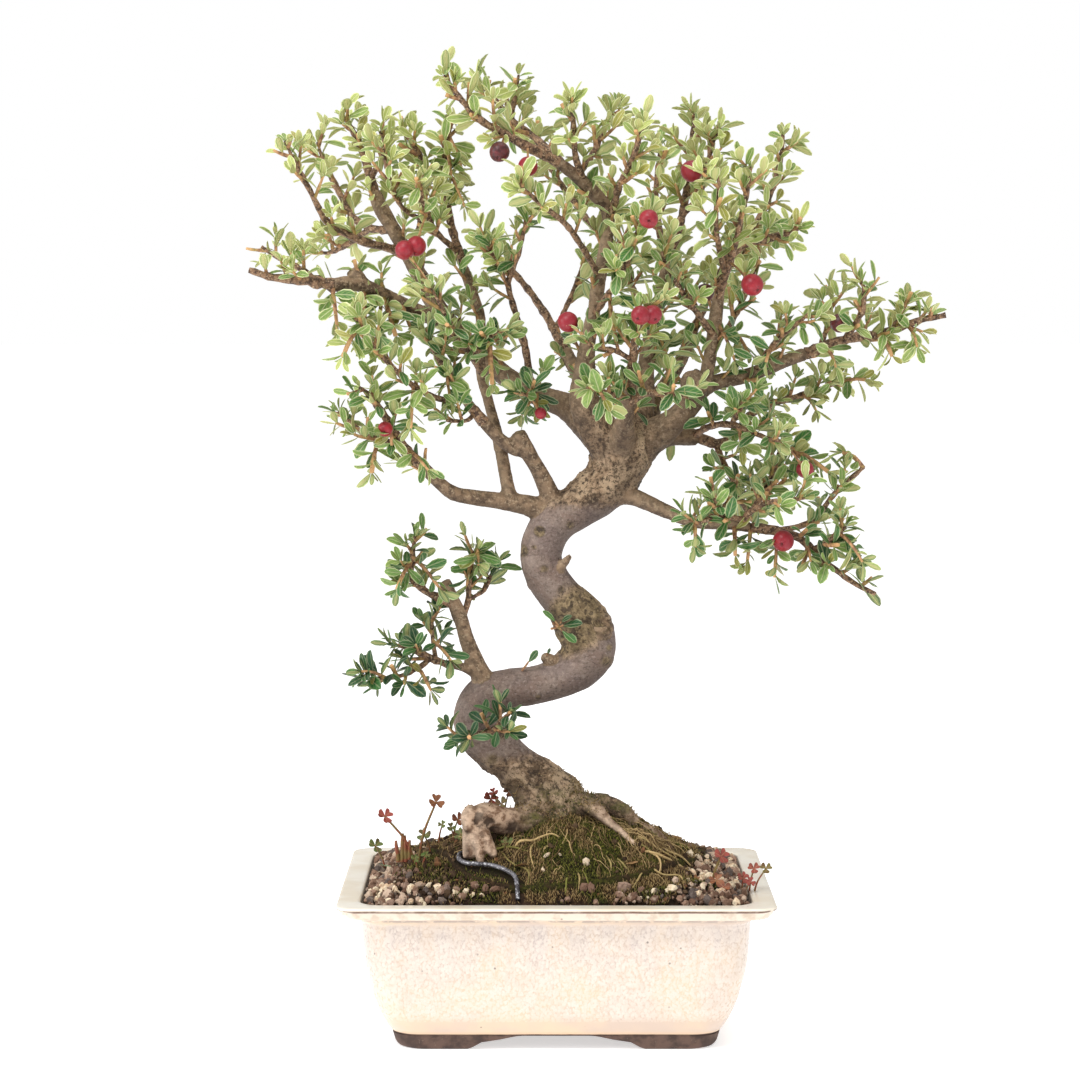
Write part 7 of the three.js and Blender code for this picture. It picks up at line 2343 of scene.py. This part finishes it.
class PotSettings(bpy.types.PropertyGroup):
    """Sizes and colours of the pot and what fills it."""

    glaze_colour: bpy.props.FloatVectorProperty(
        name="Glaze", description="Colour of the glaze's beads", subtype="COLOR",
        default=srgb(226, 214, 203), min=0, max=1,
    )
    glaze_ground: bpy.props.FloatVectorProperty(
        name="Glaze ground", description="Colour between the glaze's beads", subtype="COLOR",
        default=srgb(208, 188, 172), min=0, max=1,
    )
    grit_spacing: bpy.props.FloatProperty(
        name="Grit spacing", description="Distance between stones as a share of its own",
        default=1.0, min=0.8, max=2, subtype="FACTOR",
    )
    grit_colour: bpy.props.FloatVectorProperty(
        name="Grit", description="Colour of the darker stones", subtype="COLOR",
        default=srgb(112, 84, 68), min=0, max=1,
    )
    moss_spacing: bpy.props.FloatProperty(
        name="Moss spacing", description="Distance between moss spikes as a share of its own",
        default=1.0, min=0.8, max=3, subtype="FACTOR",
    )
    moss_colour: bpy.props.FloatVectorProperty(
        name="Moss", description="Colour of the moss", subtype="COLOR",
        default=srgb(92, 92, 34), min=0, max=1,
    )


class BONSAI_OT_pot(bpy.types.Operator):
    """Make the glazed pot"""

    bl_idname = "bonsai.pot"
    bl_label = "Pot"

    def execute(self, context):
        pot = make_pot("glazed_pot", glaze_finish(context.scene.bonsai_pot))
        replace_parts(pot, "pot")
        return {"FINISHED"}


class BONSAI_OT_ground(bpy.types.Operator):
    """Make the soil, grit, moss, fine roots, fallen leaves, weeds and wire"""

    bl_idname = "bonsai.ground"
    bl_label = "Ground"

    def execute(self, context):
        sizes = context.scene.bonsai_pot
        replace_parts(make_soil("soil_bed", soil_finish()), "soil")
        make_grit("grit", sizes, grit_finish(sizes))
        make_peat("peat_crumbs", peat_finish())
        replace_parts(make_moss("moss_skin", moss_finish(sizes)), "moss_mound")
        make_moss_tufts("moss_spikes", sizes, tuft_finish(sizes))
        make_surface_roots("fine_roots", root_finish())
        make_litter("fallen_leaves", litter_finish())
        finishes = [weed_stalk_finish(), weed_finish()]
        for name, (foot, stalks) in WEEDS.items():
            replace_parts(make_weed(f"{name}_plant", foot, stalks, finishes), name)
        make_stray_weeds("stray_weeds", finishes)
        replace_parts(make_wire("bare_wire", wire_finish()), "anchor_wire")
        return {"FINISHED"}


class BONSAI_OT_wood(bpy.types.Operator):
    """Make the trunk, roots and limbs as one skin"""

    bl_idname = "bonsai.wood"
    bl_label = "Trunk and limbs"

    def execute(self, context):
        sizes = context.scene.bonsai_tree
        voxel = sizes.bark_voxel
        wood = make_wood("trunk_and_limbs", voxel, bark_finish(sizes))
        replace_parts(wood, "trunk")
        make_foot_moss("foot_moss", wood, tuft_finish(context.scene.bonsai_pot))
        return {"FINISHED"}


class BONSAI_OT_branchlets(bpy.types.Operator):
    """Make the leafy branchlets, the spurs on the limbs and the berries with their stalks"""

    bl_idname = "bonsai.branchlets"
    bl_label = "Branchlets and berries"

    def execute(self, context):
        sizes = context.scene.bonsai_tree
        finishes = [twig_finish(), leaf_finish(sizes)]
        sprays = {name: spray_twigs(name, twigs) for name, twigs in SPRAYS.items()}
        stalks = {name: [] for name in sprays}
        axes = {}
        for name, rows in BERRIES.items():
            axes[name] = []
            for row in rows:
                spray, start, end, towards = berry_stalk(seen(row[:3]), row[3], sprays)
                stalks[spray].append((start, end))
                axes[name].append(towards)
        for index, (name, twigs) in enumerate(sprays.items()):
            piece = make_spray(name, index, twigs, stalks[name], sizes, finishes)
            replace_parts(piece, f"spray_{name}")
        make_limb_shoots("limb_spurs", sizes, finishes)
        make_hanging_shoots("hanging_shoots", sprays, sizes, finishes)
        make_trunk_sprigs("trunk_sprigs", sizes, finishes)
        skin = berry_finish(sizes)
        for name, rows in BERRIES.items():
            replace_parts(make_berry(name, rows, axes[name], sizes, skin), name)
        return {"FINISHED"}


class BONSAI_OT_stage(bpy.types.Operator):
    """Make the floor, lights, background and camera"""

    bl_idname = "bonsai.stage"
    bl_label = "Stage"

    def execute(self, context):
        make_stage(context.scene)
        return {"FINISHED"}


class BONSAI_PT_panel(bpy.types.Panel):
    """Lists the pieces and their settings"""

    bl_idname = "BONSAI_PT_panel"
    bl_label = "Cotoneaster Bonsai"
    bl_space_type = "VIEW_3D"
    bl_region_type = "UI"
    bl_category = "Bonsai"

    def draw(self, context):
        column = self.layout.column()
        for settings in (context.scene.bonsai_tree, context.scene.bonsai_pot):
            for key in settings.__annotations__:
                column.prop(settings, key)
        for operator in OPERATORS:
            column.operator(operator.bl_idname)


def make_floor():
    """A square sheet at the pot's feet."""
    mesh = bpy.data.meshes.new("floor")
    signs = ((-1, -1), (1, -1), (1, 1), (-1, 1))
    corners = [(FLOOR_REACH * x, FLOOR_REACH * y, 0) for x, y in signs]
    mesh.from_pydata(corners, [], [(0, 1, 2, 3)])
    mesh.materials.append(floor_finish())
    return bpy.data.objects.new("floor", mesh)


def make_surround():
    """A white background to the camera, which lights the scene at a lower strength."""
    world = bpy.data.worlds.new("white_surround")
    world.use_nodes = True
    nodes, links = world.node_tree.nodes, world.node_tree.links
    shown = nodes["Background"]
    kinds = ("ShaderNodeBackground", "ShaderNodeLightPath", "ShaderNodeMixShader")
    cast, ray, either = (nodes.new(kind) for kind in kinds)
    for background in (shown, cast):
        background.inputs["Color"].default_value = (1, 1, 1, 1)
    cast.inputs["Strength"].default_value = SURROUND_STRENGTH
    links.new(ray.outputs["Is Camera Ray"], either.inputs["Fac"])
    links.new(cast.outputs["Background"], either.inputs[1])
    links.new(shown.outputs["Background"], either.inputs[2])
    links.new(either.outputs["Shader"], nodes["World Output"].inputs["Surface"])
    return world


def make_lamp(name, place, width, power):
    """A round soft lamp at a place from the pot's middle, turned to the middle of the tree."""
    lamp = bpy.data.lights.new(name, "AREA")
    lamp.shape, lamp.size, lamp.energy = "DISK", width, power
    holder = bpy.data.objects.new(name, lamp)
    holder.location = POT_MIDDLE * MM + np.array(place)
    aim = np.array([0, 0, AIM_HEIGHT]) - np.array(place)
    tilt = math.acos(-aim[2] / np.linalg.norm(aim))
    holder.rotation_euler = (tilt, 0, math.atan2(aim[1], aim[0]) - math.pi / 2)
    return holder


def make_stage(scene):
    """Floor, white surround, four soft lamps (a strong one from the front left and above, weaker
    ones from the left, the right and overhead) and the camera at the eye point."""
    floor = make_floor()
    scene.collection.objects.link(floor)
    scene.world = make_surround()
    scene.view_settings.view_transform = "Standard"
    for row in LAMPS:
        scene.collection.objects.link(make_lamp(*row))
    lens = bpy.data.cameras.new("eye")
    lens.lens, lens.sensor_width = EYE_LENS, SENSOR_WIDTH
    camera = bpy.data.objects.new("eye", lens)
    camera.location = (POT_MIDDLE + np.array([EYE_X, -EYE_DISTANCE, EYE_Z])) * MM
    camera.rotation_euler = (math.radians(90 - EYE_PITCH), 0, 0)
    scene.collection.objects.link(camera)
    scene.camera = camera


OPERATORS = (
    BONSAI_OT_stage, BONSAI_OT_pot, BONSAI_OT_ground, BONSAI_OT_wood, BONSAI_OT_branchlets,
)
CLASSES = (TreeSettings, PotSettings, *OPERATORS, BONSAI_PT_panel)


def register():
    for cls in CLASSES:
        bpy.utils.register_class(cls)
    bpy.types.Scene.bonsai_tree = bpy.props.PointerProperty(type=TreeSettings)
    bpy.types.Scene.bonsai_pot = bpy.props.PointerProperty(type=PotSettings)


def unregister():
    del bpy.types.Scene.bonsai_tree
    del bpy.types.Scene.bonsai_pot
    for cls in reversed(CLASSES):
        bpy.utils.unregister_class(cls)


def main():
    register()
    bpy.ops.bonsai.stage()
    bpy.ops.bonsai.pot()
    bpy.ops.bonsai.ground()
    bpy.ops.bonsai.wood()
    bpy.ops.bonsai.branchlets()
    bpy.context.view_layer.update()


if __name__ == "__main__":
    main()
